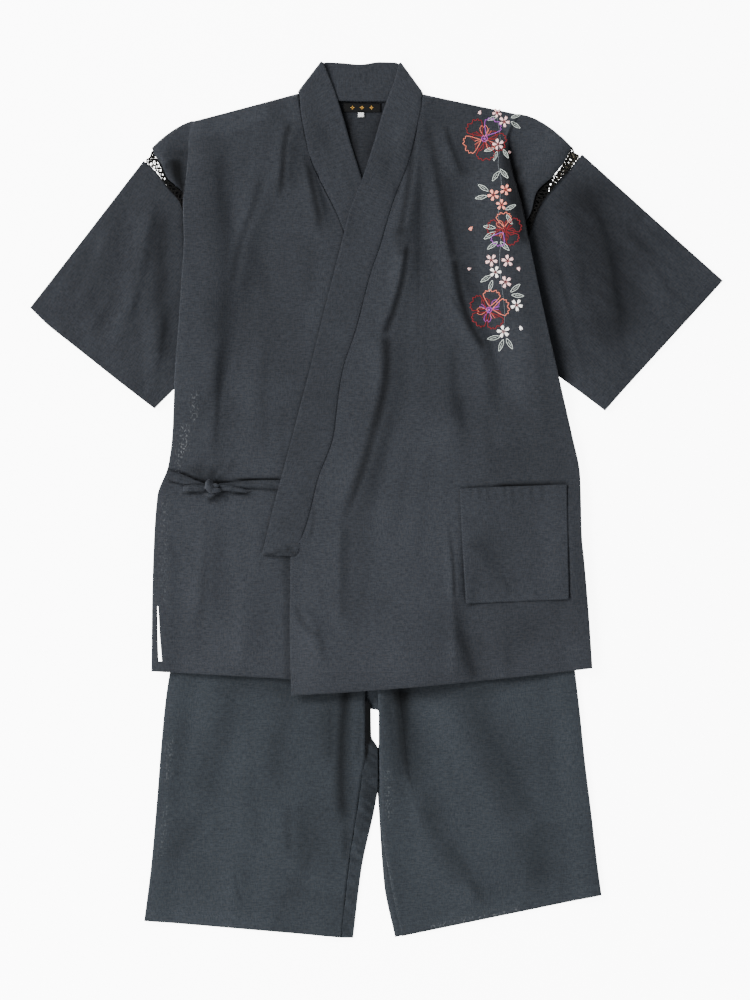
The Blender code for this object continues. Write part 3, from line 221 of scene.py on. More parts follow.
SHORTS_FRONT_LEFT = [
    Section(486, 520, 486, 517.2, 486, 518.7, 486, 180, 0.004),
    Section(560, 552, 560, 549.2, 560, 550.7, 560, 180, 0.004),
    Section(640, 570, 640, 567.2, 640, 568.7, 640, 180, 0.004),
    Section(708, 578.6, 706, 575.8, 706, 577.3, 706, 180, 0.004),
    Section(760, 584, 758, 581.2, 758, 582.7, 758, 180, 0.004),
    Section(813, 591, 815, 588.2, 815, 589.7, 815, 180, 0.004),
    Section(873, 597, 866, 594.2, 866, 595.7, 866, 180, 0.004),
    Section(936, 601, 895, 598.2, 895, 599.7, 895, 180, 0.004),
]
INSEAM_LEFT = [
    (374, 486), (374, 560), (375, 640), (378.5, 708), (379.4, 760), (380.3, 813), (389, 873), (402, 937),
]
SHORTS_BACK_RIGHT = [
    Edges(229, 486, 361, 486), Edges(199, 560, 361, 560), Edges(180, 640, 361, 640),
    Edges(169.5, 691, 361, 694), Edges(168.5, 702, 370.3, 704), Edges(165.6, 732, 371, 736),
    Edges(165, 744, 377.8, 749), Edges(162, 778, 378, 783), Edges(160.5, 799, 375.2, 803),
    Edges(155, 863, 361.5, 867), Edges(147.8, 919.5, 352.8, 937.4),
]
SHORTS_BACK_LEFT = [
    Edges(362.5, 486, 517, 486), Edges(362.5, 560, 549, 560), Edges(362.5, 640, 567, 640),
    Edges(362.5, 704, 575.6, 708), Edges(367.0, 708, 576, 713), Edges(378.6, 711, 576.6, 718),
    Edges(378.6, 744, 580.5, 750), Edges(377.2, 752, 581, 758), Edges(377.2, 780, 585, 786),
    Edges(378.9, 813, 588, 815),
    Edges(384, 884, 594, 866), Edges(395, 937, 598, 895),
]
INSEAM_WRAP = [
    Wrap(486, 0.0), Wrap(690, 0.0), Wrap(705, 0.004), Wrap(750, 0.014), Wrap(800, 0.019), Wrap(937, 0.013),
]
POCKET = [Edges(459.5, 488.4, 566.3, 484.4), Edges(462, 545, 567.2, 541), Edges(465.7, 603.3, 568.5, 598.9)]
TIE_SIDE = [
    Edges(168.2, 469.8, 167.6, 479.8), Edges(185, 475.5, 184, 484.3),
    Edges(196, 480.5, 195.5, 487), Edges(205.5, 484, 205.5, 489.5),
]
TIE_FRONT = [
    Edges(286.5, 480.3, 286, 489.8), Edges(280.6, 480.3, 280, 489.8), Edges(262, 480.2, 262, 488.6),
    Edges(240, 481.6, 240, 488.2), Edges(219.5, 484, 219.5, 489.5),
]
TAIL_LEFT = [Edges(205.8, 485.5, 205.8, 491), Edges(196, 485, 196, 491), Edges(184.5, 486, 184, 491.6)]
TAIL_RIGHT = [Edges(219.2, 484.5, 219.2, 490), Edges(232, 486.4, 231, 491), Edges(248, 490, 247.5, 492.8)]
KNOT_CENTRE = (212.5, 487)
LABEL = [Edges(343.5, 103, 381, 103.6), Edges(343.5, 112, 381, 112.4)]
SIZE_TAB = [Edges(358, 112.8, 364, 112.8), Edges(358, 117.3, 364, 117.3)]
WAISTBAND = [Edges(226, 470, 520, 470), Edges(226, 485.4, 520, 485.4)]
SLIT = [Opening(157.7, 606, 158.9), Opening(158.0, 635, 160.4), Opening(158.9, 661, 162.6)]

# Standing folds of the panels: a path through three points, crest height and width in metres, and the
# side that falls off steeply.
JACKET_LEFT_FOLDS = [
    Fold(412, 132, 405, 250, 392, 310, 0.0070, 0.016, -1),
    Fold(390, 318, 378, 420, 345, 520, 0.0060, 0.018, -1),
    Fold(344, 505, 340, 560, 341, 640, 0.0045, 0.014, -1),
    Fold(437, 150, 448, 236, 468, 318, 0.0060, 0.018, 1),
    Fold(466, 312, 485, 350, 497, 396, 0.0045, 0.016, 1),
    Fold(450, 138, 456, 158, 468, 182, 0.0035, 0.010, 1),
    Fold(452, 535, 455, 600, 455, 690, 0.0040, 0.014, -1),
    Fold(455, 385, 457, 415, 460, 442, 0.0030, 0.012, 1),
    Fold(524, 300, 534, 380, 540, 450, 0.0040, 0.022, 1),
    Fold(500, 610, 503, 645, 502, 684, 0.0030, 0.018, 1),
    Fold(300, 600, 316, 630, 322, 672, 0.0030, 0.012, 1),
]
JACKET_RIGHT_FOLDS = [
    Fold(292, 118, 284, 160, 280, 190, 0.0050, 0.014, -1),
    Fold(262, 190, 243, 240, 232, 312, 0.0055, 0.018, -1),
    Fold(303, 140, 314, 182, 325, 228, 0.0050, 0.012, 1),
    Fold(221, 325, 215, 400, 213, 470, 0.0045, 0.016, 1),
    Fold(209, 500, 204, 570, 197, 628, 0.0050, 0.016, -1),
    Fold(262, 330, 259, 400, 262, 468, 0.0035, 0.018, 1),
    Fold(246, 560, 243, 620, 242, 676, 0.0030, 0.018, -1),
    Fold(166, 140, 166, 152, 166.5, 170, 0.0025, 0.006, 1),
]
SLEEVE_RIGHT_FOLDS = [
    Fold(154, 190, 140, 270, 118, 350, 0.0050, 0.016, 1),
    Fold(118, 215, 95, 270, 74, 318, 0.0035, 0.018, -1),
    Fold(164, 300, 160, 340, 150, 386, 0.0030, 0.012, 1),
]
SLEEVE_LEFT_FOLDS = [
    Fold(577, 176, 606, 262, 618, 352, 0.0060, 0.016, 1),
    Fold(600, 190, 640, 250, 672, 308, 0.0035, 0.018, 1),
    Fold(545, 232, 564, 306, 580, 374, 0.0040, 0.014, 1),
]
SHORTS_RIGHT_FOLDS = [
    Fold(227, 660, 218, 732, 178, 858, 0.0034, 0.030, 1),
    Fold(290, 690, 271, 760, 279, 806, 0.0026, 0.026, 1),
    Fold(293, 800, 295, 832, 293, 872, 0.0026, 0.014, -1),
    Fold(345, 690, 341, 765, 346, 830, 0.0036, 0.014, -1),
    Fold(240, 830, 236, 880, 232, 930, 0.0025, 0.024, 1),
]
SHORTS_LEFT_FOLDS = [
    Fold(400, 672, 409, 760, 428, 850, 0.0042, 0.018, -1),
    Fold(460, 690, 498, 770, 548, 858, 0.0032, 0.032, 1),
    Fold(434, 832, 462, 872, 488, 908, 0.0028, 0.020, 1),
    Fold(520, 840, 527, 876, 522, 912, 0.0024, 0.022, -1),
]


def along_x(layout_x):
    """Layout x in metres from the origin."""
    return (np.asarray(layout_x, float) - CENTRE_X) * UNIT


def along_y(layout_y):
    """Layout y, which runs down, in metres from the origin."""
    return (CENTRE_Y - np.asarray(layout_y, float)) * UNIT


def in_layout(x, y):
    """Points in metres from the origin, as layout x and y."""
    return np.asarray(x) / UNIT + CENTRE_X, CENTRE_Y - np.asarray(y) / UNIT


def between(first, last, t):
    """For each row the values from first to last, at the shares t of the way."""
    return first[:, None] * (1 - t) + last[:, None] * t


def distances(xs, ys):
    """How far along a path each of its points lies."""
    return np.concatenate([[0.0], np.cumsum(np.hypot(np.diff(xs), np.diff(ys)))])


def spline(stops, values, at):
    """Monotone cubic through the points (stops, values), read at the positions in at."""
    stops = np.asarray(stops, float)
    values = np.asarray(values, float)
    gaps = np.diff(stops)
    slopes = np.diff(values) / gaps
    tangents = np.zeros_like(values)
    both = slopes[1:] * slopes[:-1]
    safe = np.where(both > 0, slopes[1:] + slopes[:-1], 1.0)
    tangents[1:-1] = np.where(both > 0, 2 * both / safe, 0.0)
    tangents[0] = slopes[0]
    tangents[-1] = slopes[-1]
    at = np.clip(at, stops[0], stops[-1])
    i = np.clip(np.searchsorted(stops, at) - 1, 0, len(gaps) - 1)
    t = (at - stops[i]) / gaps[i]
    rise = values[i + 1] - values[i]
    start = tangents[i] * gaps[i]
    end = tangents[i + 1] * gaps[i]
    return values[i] + start * t + (3 * rise - 2 * start - end) * t**2 + (start + end - 2 * rise) * t**3


def smooth_step(t):
    """A soft step from 0 to 1."""
    t = np.clip(t, 0.0, 1.0)
    return t * t * (3 - 2 * t)


def read_rows(table, spacing, seam=None):
    """Each named column of a table, read at rows about spacing metres apart down the table.

    With a seam given, a column seam_x is added that follows it.
    """
    values = np.array(table, float)
    fields = table[0]._fields
    down = values[:, [k for k, field in enumerate(fields) if field.endswith("_y")][:2]].mean(axis=1)
    across = values[:, [k for k, field in enumerate(fields) if field.endswith("_x")][:1]].mean(axis=1)
    steps = np.hypot(np.diff(down), np.diff(across))
    stops = np.concatenate([[0.0], np.cumsum(steps)])
    at = [0.0]
    for start, step in zip(stops[:-1], steps):
        count = max(1, round(step * UNIT / spacing))
        at.extend(start + step * (k + 1) / count for k in range(count))
    columns = {field: spline(stops, column, at) for field, column in zip(fields, values.T)}
    if seam is not None:
        seam_x, seam_y = np.array(seam, float).T
        columns["seam_x"] = spline(seam_y, seam_x, columns["seam_y"])
    for field in columns:
        if field.endswith("_x"):
            columns[field] = along_x(columns[field])
        elif field.endswith("_y"):
            columns[field] = along_y(columns[field])
    return columns


class Pile:
    """The height of what already lies on the floor, which the next layer rests on."""

    def __init__(self):
        self.xs = np.arange(-FIELD_X, FIELD_X + CELL / 2, CELL)
        self.ys = np.arange(-FIELD_Y, FIELD_Y + CELL / 2, CELL)
        self.top = np.zeros((len(self.ys), len(self.xs)))
        self.levels = {}
        self.seams = {}

    def cover(self, x, y, z):
        """Adds a surface given as a grid of points."""
        across = max(np.hypot(np.diff(x, axis=1), np.diff(y, axis=1)).max(), CELL)
        down = max(np.hypot(np.diff(x, axis=0), np.diff(y, axis=0)).max(), CELL)
        parts_u = int(np.ceil(across / CELL * 1.6))
        parts_v = int(np.ceil(down / CELL * 1.6))
        for u in np.linspace(0, 1, parts_u + 1):
            for v in np.linspace(0, 1, parts_v + 1):
                spot = [between_corners(grid, u, v) for grid in (x, y, z)]
                self.stamp(*spot)

    def stamp(self, x, y, z):
        """Raises the cells at single points to their height."""
        column = np.rint((x + FIELD_X) / CELL).astype(int)
        row = np.rint((y + FIELD_Y) / CELL).astype(int)
        np.maximum.at(self.top, (row, column), z)
        self.levels.clear()

    def rest(self, reach_x, reach_y, soften):
        """The surface that a sheet takes when it lies on the pile, as a function of x and y."""
        soft = int(round(soften / CELL))
        cells_x = int(np.ceil(reach_x / CELL)) + 1
        cells_y = int(np.ceil(reach_y / CELL)) + 1
        level = self.levels.get((cells_x, cells_y, soft))
        if level is None:
            lifted = np.where(self.top > 0, self.top + GAP, 0.0)
            level = widen(widen(lifted, cells_x + soft, 1), cells_y + soft, 0)
            for half in (soft // 2, soft - soft // 2):
                level = average(average(level, half, 1), half, 0)
            self.levels[cells_x, cells_y, soft] = level

        def height(x, y):
            return read_grid(level, (x + FIELD_X) / CELL, (y + FIELD_Y) / CELL)
        return height

    def lie(self, x, y, soften):
        """The underside of a grid laid on the pile, clear of it between the grid's points too."""
        steps = np.abs(np.diff(x, axis=1)).max(axis=0)
        reach_x = np.maximum(np.append(steps, 0), np.append(0, steps)) + np.abs(np.diff(x, axis=0)).max() / 2
        reach_y = np.abs(np.diff(y, axis=0)).max() + np.abs(np.diff(y, axis=1)).max() / 2
        columns = [self.rest(reach, reach_y, soften)(x[:, j], y[:, j]) for j, reach in enumerate(reach_x)]
        return np.stack(columns, axis=1)


def between_corners(grid, u, v):
    """The grid read at a share (u, v) of each of its cells."""
    upper = grid[:-1, :-1] * (1 - u) + grid[:-1, 1:] * u
    lower = grid[1:, :-1] * (1 - u) + grid[1:, 1:] * u
    return upper * (1 - v) + lower * v


def shifted(grid, cells, axis):
    """The grid moved by a number of cells, with its border repeated."""
    index = np.clip(np.arange(grid.shape[axis]) + cells, 0, grid.shape[axis] - 1)
    return np.take(grid, index, axis=axis)


def widen(grid, cells, axis):
    """The highest value within a number of cells."""
    result = grid
    for k in range(-cells, cells + 1):
        result = np.maximum(result, shifted(grid, k, axis))
    return result


def average(grid, cells, axis):
    """The mean value within a number of cells."""
    total = np.zeros_like(grid)
    for k in range(-cells, cells + 1):
        total += shifted(grid, k, axis)
    return total / (2 * cells + 1)


def read_grid(grid, column, row):
    """The grid read between its points."""
    column = np.clip(column, 0, grid.shape[1] - 1.001)
    row = np.clip(row, 0, grid.shape[0] - 1.001)
    i = row.astype(int)
    j = column.astype(int)
    v = row - i
    u = column - j
    upper = grid[i, j] * (1 - u) + grid[i, j + 1] * u
    lower = grid[i + 1, j] * (1 - u) + grid[i + 1, j + 1] * u
    return upper * (1 - v) + lower * v


def fold_heights(folds, x, y):
    """The height that standing folds add at the points (x, y)."""
    total = np.zeros(np.shape(x))
    for fold in folds:
        down = along_y([fold.top_y, fold.mid_y, fold.low_y])
        path = along_x([fold.top_x, fold.mid_x, fold.low_x])
        part = (down[0] - y) / (down[0] - down[2])
        middle = (down[0] - down[1]) / (down[0] - down[2])
        crest = spline([0.0, middle, 1.0], path, part)
        away = (x - crest) * fold.steep
        spread = np.where(away > 0, fold.wide * 0.5, fold.wide)
        fade = smooth_step(part / 0.28) * smooth_step((1 - part) / 0.28)
        total = total + fold.height * fade * np.exp(-(away / spread)**2)
    return total


def edge_path(turn, reach):
    """A fold's path out over its edge and back under, as distances (out, up) from its crest."""
    angle = np.radians(turn)[:, None]
    first = angle * np.linspace(0, 1, TURN_STEPS + 1)
    second = angle * np.linspace(1, 0, TURN_STEPS + 1)
    out = BEND * np.sin(first)
    up = -BEND * (1 - np.cos(first))
    stretch = reach[:, None] * np.linspace(0, 1, RUN_STEPS + 1)[1:]
    run_out = out[:, -1:] + stretch * np.cos(angle)
    run_up = up[:, -1:] - stretch * np.sin(angle)
    turn_out = run_out[:, -1:] + BEND * (np.sin(angle) - np.sin(second))[:, 1:]
    turn_up = run_up[:, -1:] - BEND * (np.cos(second) - np.cos(angle))[:, 1:]
    return np.hstack([out, run_out, turn_out]), np.hstack([up, run_up, turn_up])


def spread_columns(start_x, start_y, end_x, end_y, count, folds, creases):
    """Points across a panel in each row, closer together where folds stand and creases run."""
    fine = np.linspace(0, 1, 241)
    x = start_x[:, None] + (end_x - start_x)[:, None] * fine
    y = start_y[:, None] + (end_y - start_y)[:, None] * fine
    dark = crease_field(creases, x, y)[1]
    weight = 1 + 300 * fold_heights(folds, x, y) + 3.5 * np.sqrt(dark)
    total = np.cumsum((weight[:, 1:] + weight[:, :-1]) / 2, axis=1)
    total = np.hstack([np.zeros((len(x), 1)), total])
    steps = np.linspace(0, 1, count + 1)
    share = np.array([np.interp(steps * row[-1], row, fine) for row in total])
    return (start_x[:, None] + (end_x - start_x)[:, None] * share,
            start_y[:, None] + (end_y - start_y)[:, None] * share)


def panel(table, seam, pile, folds, creases, columns, outward, bow, shoulder):
    """A front: its main sheet, the standing fold at its side, and the strip tucked under the fold."""
    rows = read_rows(table, FINE, seam)
    crest_x = rows["fold_x"] - outward * BEND
    main_x, main_y = spread_columns(rows["seam_x"], rows["seam_y"], crest_x, rows["fold_y"], columns, folds,
                                    creases)
    low_end = smooth_step(1 - (rows["seam_y"] - rows["seam_y"][-1]) / BOW_DEPTH)
    across = (main_x - main_x[:, :1]) / (main_x[:, -1:] - main_x[:, :1])
    main_y = main_y - bow * low_end[:, None] * 4 * across * (1 - across)
    out, up = edge_path(rows["turn"], rows["reach"])
    drop = -up[:, -1:]
    fold_x = crest_x[:, None] + outward * out
    fold_y = np.repeat(rows["fold_y"][:, None], out.shape[1], axis=1)
    foot_x = fold_x[:, -1]
    t = np.linspace(0, 1, TUCKED_STEPS + 1)[1:]
    middle_x = 2 * rows["cap_x"] - (foot_x + rows["edge_x"]) / 2
    middle_y = 2 * rows["cap_y"] - (rows["fold_y"] + rows["edge_y"]) / 2
    bowed = np.abs(rows["edge_x"] - foot_x) > BOWED_STRIP
    middle_x = np.where(bowed, middle_x, (foot_x + rows["edge_x"]) / 2)
    middle_y = np.where(bowed, middle_y, (rows["fold_y"] + rows["edge_y"]) / 2)
    cap_x = (foot_x[:, None] * (1 - t)**2 + middle_x[:, None] * 2 * t * (1 - t)
             + rows["edge_x"][:, None] * t**2)
    cap_y = (rows["fold_y"][:, None] * (1 - t)**2 + middle_y[:, None] * 2 * t * (1 - t)
             + rows["edge_y"][:, None] * t**2)

    rest_fold = pile.rest(FOOT_REACH, FINE, SOFT_STRIP)
    foot = np.maximum(rest_fold(foot_x, rows["fold_y"]), rest_fold(rows["fold_x"], rows["fold_y"]))
    foot = foot[:, None] + CLOTH / 2
    fold_z = foot + drop + up
    level = pile.lie(main_x, main_y, SOFT_PANEL) + CLOTH / 2
    away = np.abs(main_x - crest_x[:, None])
    keep = np.abs(fold_x[:, -1:] - crest_x[:, None]) + 0.004
    hump = 1 - smooth_step((away - keep) / (CREST_FALL * np.clip(drop / 0.008, 0.4, 1.0)))
    crest = foot + drop
    main_z = level + hump * np.maximum(crest - level, 0) + fold_heights(folds, main_x, main_y)
    main_z = main_z + crease_field(creases, main_x, main_y)[0] * smooth_step(away / 0.008)
    cap_z = np.maximum(rest_fold(cap_x, cap_y) + CLOTH / 2, foot * (1 - t) + (foot - 0.002) * t)
    cap_z = cap_z + fold_heights(folds, cap_x, cap_y)
    x = np.hstack([main_x, fold_x[:, 1:], cap_x])
    y = np.hstack([main_y, fold_y[:, 1:], cap_y])
    z = np.hstack([main_z[:, :-1], fold_z, cap_z])
    if shoulder:
        x, y, z = wrap_shoulder(x, y, z)
    return x, y, z, main_x.shape[1]


def grid_normals(x, y, z, ring):
    """Unit normals of a grid, with how far to offset each point to keep an even wall."""
    points = np.stack([x, y, z], axis=-1)
    if ring:
        ahead = np.roll(points, -1, axis=1) - points
        before = points - np.roll(points, 1, axis=1)
    else:
        ahead = np.concatenate([np.diff(points, axis=1), points[:, -1:] - points[:, -2:-1]], axis=1)
        before = np.concatenate([points[:, 1:2] - points[:, :1], np.diff(points, axis=1)], axis=1)
    down = np.gradient(points, axis=0)
    normals = [unit(np.cross(down, side)) for side in (before, ahead)]
    middle = unit(normals[0] + normals[1])
    mitre = 1 / np.clip(np.sum(middle * normals[0], axis=-1, keepdims=True), 0.72, 1.0)
    return middle * mitre


def unit(vectors):
    """The vectors at length one."""
    return vectors / np.maximum(np.linalg.norm(vectors, axis=-1, keepdims=True), 1e-12)


FINE = 0.0036              # row spacing of the panels
BACK_SPACING = 0.0065      # row spacing of the jacket's back, little of which shows
BAND_SPACING = 0.004       # row spacing of the collar band
POCKET_SPACING = 0.0026    # row spacing of the pocket
TIE_SPACING = 0.0016       # row spacing of a tie
LACE_SPACING = 0.0014      # between two points of an openwork cord
EDGE_CORD = 0.0006         # radius of the openwork's edge cords
TURN_STEPS = 6             # steps round each bend of a standing fold
RUN_STEPS = 5              # steps along the flat of it between its bends
TUCKED_STEPS = 6           # steps across the strip tucked under it
BACK_STEPS = (26, 22, 26)  # steps across the jacket's back, left of the neck, in it and right of it
SLEEVE_FRONT_STEPS = 88    # points across a sleeve's upper side
SLEEVE_BACK_STEPS = 34     # points across its lower side
SLEEVE_ROWS = 84           # points from the armhole to the cuff
SHELL = 0.0011             # thickness of one layer of cloth as drawn
BAND_SHELL = 0.0018        # the doubled band
SEAM_SHELL = 0.0008        # the same at the seam, where it is pressed thin
BAND_COLUMNS = 22          # points across the collar band
HEM_DEPTH = 0.0145         # the turned-up hem's depth, where its stitches run
HEM_RISE = 0.0004          # how much thicker the cloth is there
HEM_SOFT = 0.0012          # over what width it sinks back to one layer
POCKET_HEM = 0.012         # the depth of the pocket's top hem
CRINKLE = 0.00010          # height of the crepe ridges
RIDGE_PITCH = 0.0085       # from one ridge to the next
RIDGE_LENGTH = 0.055       # how far a ridge runs on
FAR = 1.0                  # a distance that no seam or stitch reaches
CREASE_POINTS = 26         # points along a crease
CREASE_WIDTH = 1.35        # how wide the creases below are drawn
CREASE_DARK = 0.80         # how dark the shade painted in them is
FLUSH_RISE = 0.0012        # how far a front rises beside a piece that is sewn on it, so the two lie level
FLUSH_REACH = 0.014        # how far from that piece it has sunk back
LEVEL_STEP = 0.0002        # how much lower the cloth beside a seam stays than what it is sewn to
MOST_RISE = 0.008          # the most that cloth beside a seam is moved to lie level with it
BAND_OVER_FRONT = 130      # layout y above which the band lies over the fronts, not beside them
BAND_REST = 0.012          # how far round each point the band looks for what carries it
TAPE = 0.0008              # thickness of the label, the tab and the ties' cloth
TIE_HEIGHT = 0.0020        # how thick a tie lies, pressed flat
STITCH = 0.0034            # length of one stitch and its gap
EDGE_STITCH = 0.0058       # how far inside the front edge its stitches run

Crease = namedtuple("Crease", "x1 y1 x2 y2 x3 y3 x4 y4 left right slot head tail dark")
Patch = namedtuple("Patch", "amount soft corners")
Edge = namedtuple("Edge", "amount width path")

# Creases as drawn: four points of the path, how high the cloth stands on its left and right side
# in millimetres, the valley's half width in layout units, the shares of its length over which it fades in
# and out, and how dark the shade painted in its depth is.
CREASES_FRONT_RIGHT = [
    Crease(292, 119, 285, 145, 283, 172, 281, 204, 2.5, 3.5, 2.6, 0.15, 0.30, 0.75),
    Crease(304, 147, 311, 175, 317, 204, 325, 240, 2.2, 2.6, 2.6, 0.30, 0.35, 0.78),
    Crease(268, 158, 258, 198, 242, 243, 229, 312, 3.0, 2.5, 3.2, 0.30, 0.30, 0.36),
    Crease(256, 240, 262, 262, 268, 285, 276, 312, 1.0, 1.0, 5.0, 0.40, 0.40, 0.12),
    Crease(222, 338, 221, 375, 219, 410, 214, 468, 1.2, 1.5, 2.5, 0.30, 0.30, 0.15),
    Crease(312, 228, 313, 258, 312, 285, 313, 316, 1.2, 1.2, 5.0, 0.35, 0.40, 0.22),
    Crease(255, 250, 250, 290, 246, 330, 240, 378, 1.0, 1.0, 7.0, 0.40, 0.30, 0.10),
    Crease(208, 498, 206, 545, 203, 600, 196, 657, 0.8, 2.2, 4.5, 0.20, 0.35, 0.24),
    Crease(170, 530, 174, 548, 180, 560, 188, 571, 1.0, 1.0, 3.0, 0.40, 0.40, 0.08),
    Crease(228, 452, 223, 464, 214, 474, 205, 483, 1.2, 1.2, 3.0, 0.45, 0.20, 0.30),
    Crease(206, 452, 203, 463, 203, 472, 202, 481, 1.0, 1.0, 3.0, 0.45, 0.20, 0.22),
    Crease(239, 454, 234, 465, 226, 475, 217, 483, 1.2, 1.2, 3.0, 0.45, 0.20, 0.30),
    Crease(190, 461, 196, 468, 202, 474, 208, 481, 1.0, 1.0, 2.6, 0.40, 0.20, 0.22),
    Crease(224, 491, 218, 494, 213, 499, 209, 507, 1.5, 2.0, 1.6, 0.15, 0.35, 0.45),
    Crease(262, 330, 260, 380, 260, 430, 262, 468, 1.0, 1.0, 5.0, 0.40, 0.40, 0.07),
    Crease(288, 395, 285, 425, 284, 450, 283, 478, 0.8, 0.8, 4.0, 0.40, 0.30, 0.12),
    Crease(178, 262, 177, 300, 175, 340, 174, 380, 0.6, 0.9, 3.0, 0.40, 0.40, 0.05),
    Crease(240, 500, 243, 530, 247, 560, 246, 600, 0.7, 0.7, 4.0, 0.40, 0.40, 0.06),
    Crease(272, 500, 268, 530, 264, 560, 266, 596, 0.6, 0.6, 3.5, 0.40, 0.40, 0.05),
    Crease(162, 560, 163, 585, 165, 612, 170, 640, 0.6, 0.8, 3.0, 0.40, 0.40, 0.07),
    Crease(228, 136, 224, 160, 222, 190, 223, 222, 0.8, 0.8, 3.5, 0.40, 0.40, 0.09),
    Crease(252, 122, 250, 140, 248, 160, 246, 182, 0.7, 0.7, 3.0, 0.40, 0.40, 0.06),
]
CREASES_FRONT_LEFT = [
    Crease(417, 108, 411, 165, 405, 208, 399, 241, 2.0, 3.5, 2.4, 0.35, 0.12, 0.65),
    Crease(408, 244, 403, 280, 394, 312, 384, 337, 3.0, 2.5, 2.4, 0.12, 0.08, 0.85),
    Crease(386, 324, 387, 364, 371, 440, 338, 540, 2.6, 2.4, 3.8, 0.10, 0.30, 1.00),
    Crease(384, 372, 376, 430, 362, 500, 350, 600, 0.0, 0.6, 10.0, 0.30, 0.30, 0.36),
    Crease(351, 505, 345, 550, 343, 590, 341, 627, 1.5, 3.0, 6.5, 0.25, 0.20, 0.40),
    Crease(425, 104, 437, 165, 446, 215, 455, 262, 3.0, 2.5, 3.2, 0.50, 0.06, 0.62),
    Crease(454, 256, 461, 295, 470, 322, 487, 352, 3.0, 3.0, 2.8, 0.08, 0.10, 0.95),
    Crease(486, 346, 491, 372, 496, 395, 504, 424, 2.0, 2.0, 4.5, 0.10, 0.50, 0.40),
    Crease(446, 120, 451, 142, 457, 160, 465, 178, 2.0, 2.5, 2.2, 0.35, 0.15, 0.60),
    Crease(450, 292, 454, 300, 459, 307, 464, 313, 1.0, 1.5, 1.6, 0.30, 0.20, 0.35),
    Crease(421, 105, 420, 200, 419, 300, 418, 400, 0.4, 0.4, 1.6, 0.20, 0.30, 0.12),
    Crease(457, 333, 456, 368, 456, 400, 459, 434, 1.2, 1.2, 3.5, 0.35, 0.30, 0.25),
    Crease(497, 438, 499, 455, 498, 470, 496, 484, 1.0, 1.0, 6.0, 0.40, 0.20, 0.18),
    Crease(521, 338, 527, 365, 532, 390, 536, 422, 1.0, 1.0, 4.0, 0.40, 0.40, 0.12),
    Crease(446, 505, 450, 533, 453, 562, 455, 602, 1.6, 1.4, 1.5, 0.75, 0.10, 0.75),
    Crease(455, 594, 459, 625, 467, 650, 477, 684, 1.5, 1.5, 4.0, 0.10, 0.15, 0.48),
    Crease(296, 599, 301, 617, 310, 629, 328, 638, 1.5, 1.5, 2.6, 0.25, 0.25, 0.40),
    Crease(317, 503, 315, 517, 313, 530, 310, 547, 1.2, 1.2, 1.8, 0.30, 0.30, 0.25),
    Crease(296, 562, 310, 560, 320, 565, 330, 576, 0.8, 0.8, 3.0, 0.40, 0.40, 0.08),
    Crease(540, 598, 535, 622, 530, 640, 519, 657, 1.0, 1.0, 8.0, 0.40, 0.40, 0.12),
    Crease(497, 610, 500, 632, 505, 655, 500, 682, 0.8, 0.8, 6.0, 0.40, 0.40, 0.10),
    Crease(484, 392, 489, 420, 492, 450, 493, 482, 0.7, 0.7, 4.0, 0.40, 0.40, 0.10),
    Crease(398, 402, 388, 450, 377, 500, 370, 556, 0.8, 0.8, 4.0, 0.40, 0.40, 0.08),
    Crease(420, 410, 412, 460, 400, 520, 384, 580, 0.7, 0.7, 4.5, 0.40, 0.40, 0.07),
    Crease(436, 430, 430, 480, 424, 530, 412, 590, 0.7, 0.7, 4.5, 0.40, 0.40, 0.07),
    Crease(372, 560, 366, 590, 362, 620, 352, 655, 0.7, 0.7, 4.0, 0.40, 0.40, 0.07),
    Crease(426, 300, 428, 335, 430, 370, 428, 410, 0.6, 0.6, 4.0, 0.40, 0.40, 0.07),
    Crease(318, 560, 322, 590, 330, 612, 334, 640, 0.7, 0.7, 3.0, 0.40, 0.40, 0.08),
    Crease(574, 486, 576, 520, 578, 560, 580, 600, 0.5, 0.5, 3.0, 0.40, 0.40, 0.06),
]
CREASES_SLEEVE_RIGHT = [
    Crease(164, 194, 163, 250, 163, 300, 168, 374, 2.0, 1.5, 5.5, 0.20, 0.25, 0.46),
    Crease(141, 262, 138, 275, 136, 288, 133, 304, 0.8, 0.8, 4.0, 0.40, 0.40, 0.14),
    Crease(122, 276, 116, 295, 111, 312, 104, 332, 0.9, 0.9, 4.0, 0.40, 0.40, 0.12),
    Crease(112, 298, 105, 317, 98, 332, 89, 348, 0.9, 0.9, 3.5, 0.40, 0.40, 0.15),
    Crease(148, 300, 140, 328, 130, 348, 117, 368, 0.8, 0.8, 4.0, 0.40, 0.40, 0.09),
    Crease(98, 252, 88, 272, 76, 288, 66, 300, 0.8, 0.8, 5.0, 0.40, 0.40, 0.08),
    Crease(133, 200, 120, 228, 110, 246, 96, 262, 0.7, 0.7, 5.0, 0.40, 0.40, 0.06),
]
CREASES_SLEEVE_LEFT = [
    Crease(580, 172, 592, 225, 608, 280, 618, 354, 2.5, 1.0, 15.0, 0.15, 0.20, 0.42),
    Crease(600, 196, 622, 222, 640, 244, 660, 262, 0.9, 0.9, 3.5, 0.35, 0.40, 0.14),
    Crease(596, 214, 620, 242, 640, 262, 664, 292, 0.9, 0.9, 3.5, 0.35, 0.40, 0.14),
    Crease(606, 250, 628, 276, 644, 296, 662, 318, 0.9, 0.9, 3.5, 0.35, 0.40, 0.14),
    Crease(604, 272, 620, 296, 634, 316, 650, 334, 0.9, 0.9, 3.5, 0.35, 0.40, 0.12),
    Crease(582, 262, 590, 290, 600, 312, 612, 334, 0.9, 0.9, 3.5, 0.35, 0.40, 0.10),
    Crease(620, 222, 646, 246, 668, 264, 694, 286, 0.7, 0.7, 3.0, 0.35, 0.40, 0.09),
    Crease(614, 196, 640, 218, 660, 236, 684, 258, 0.7, 0.7, 3.0, 0.35, 0.40, 0.08),
]
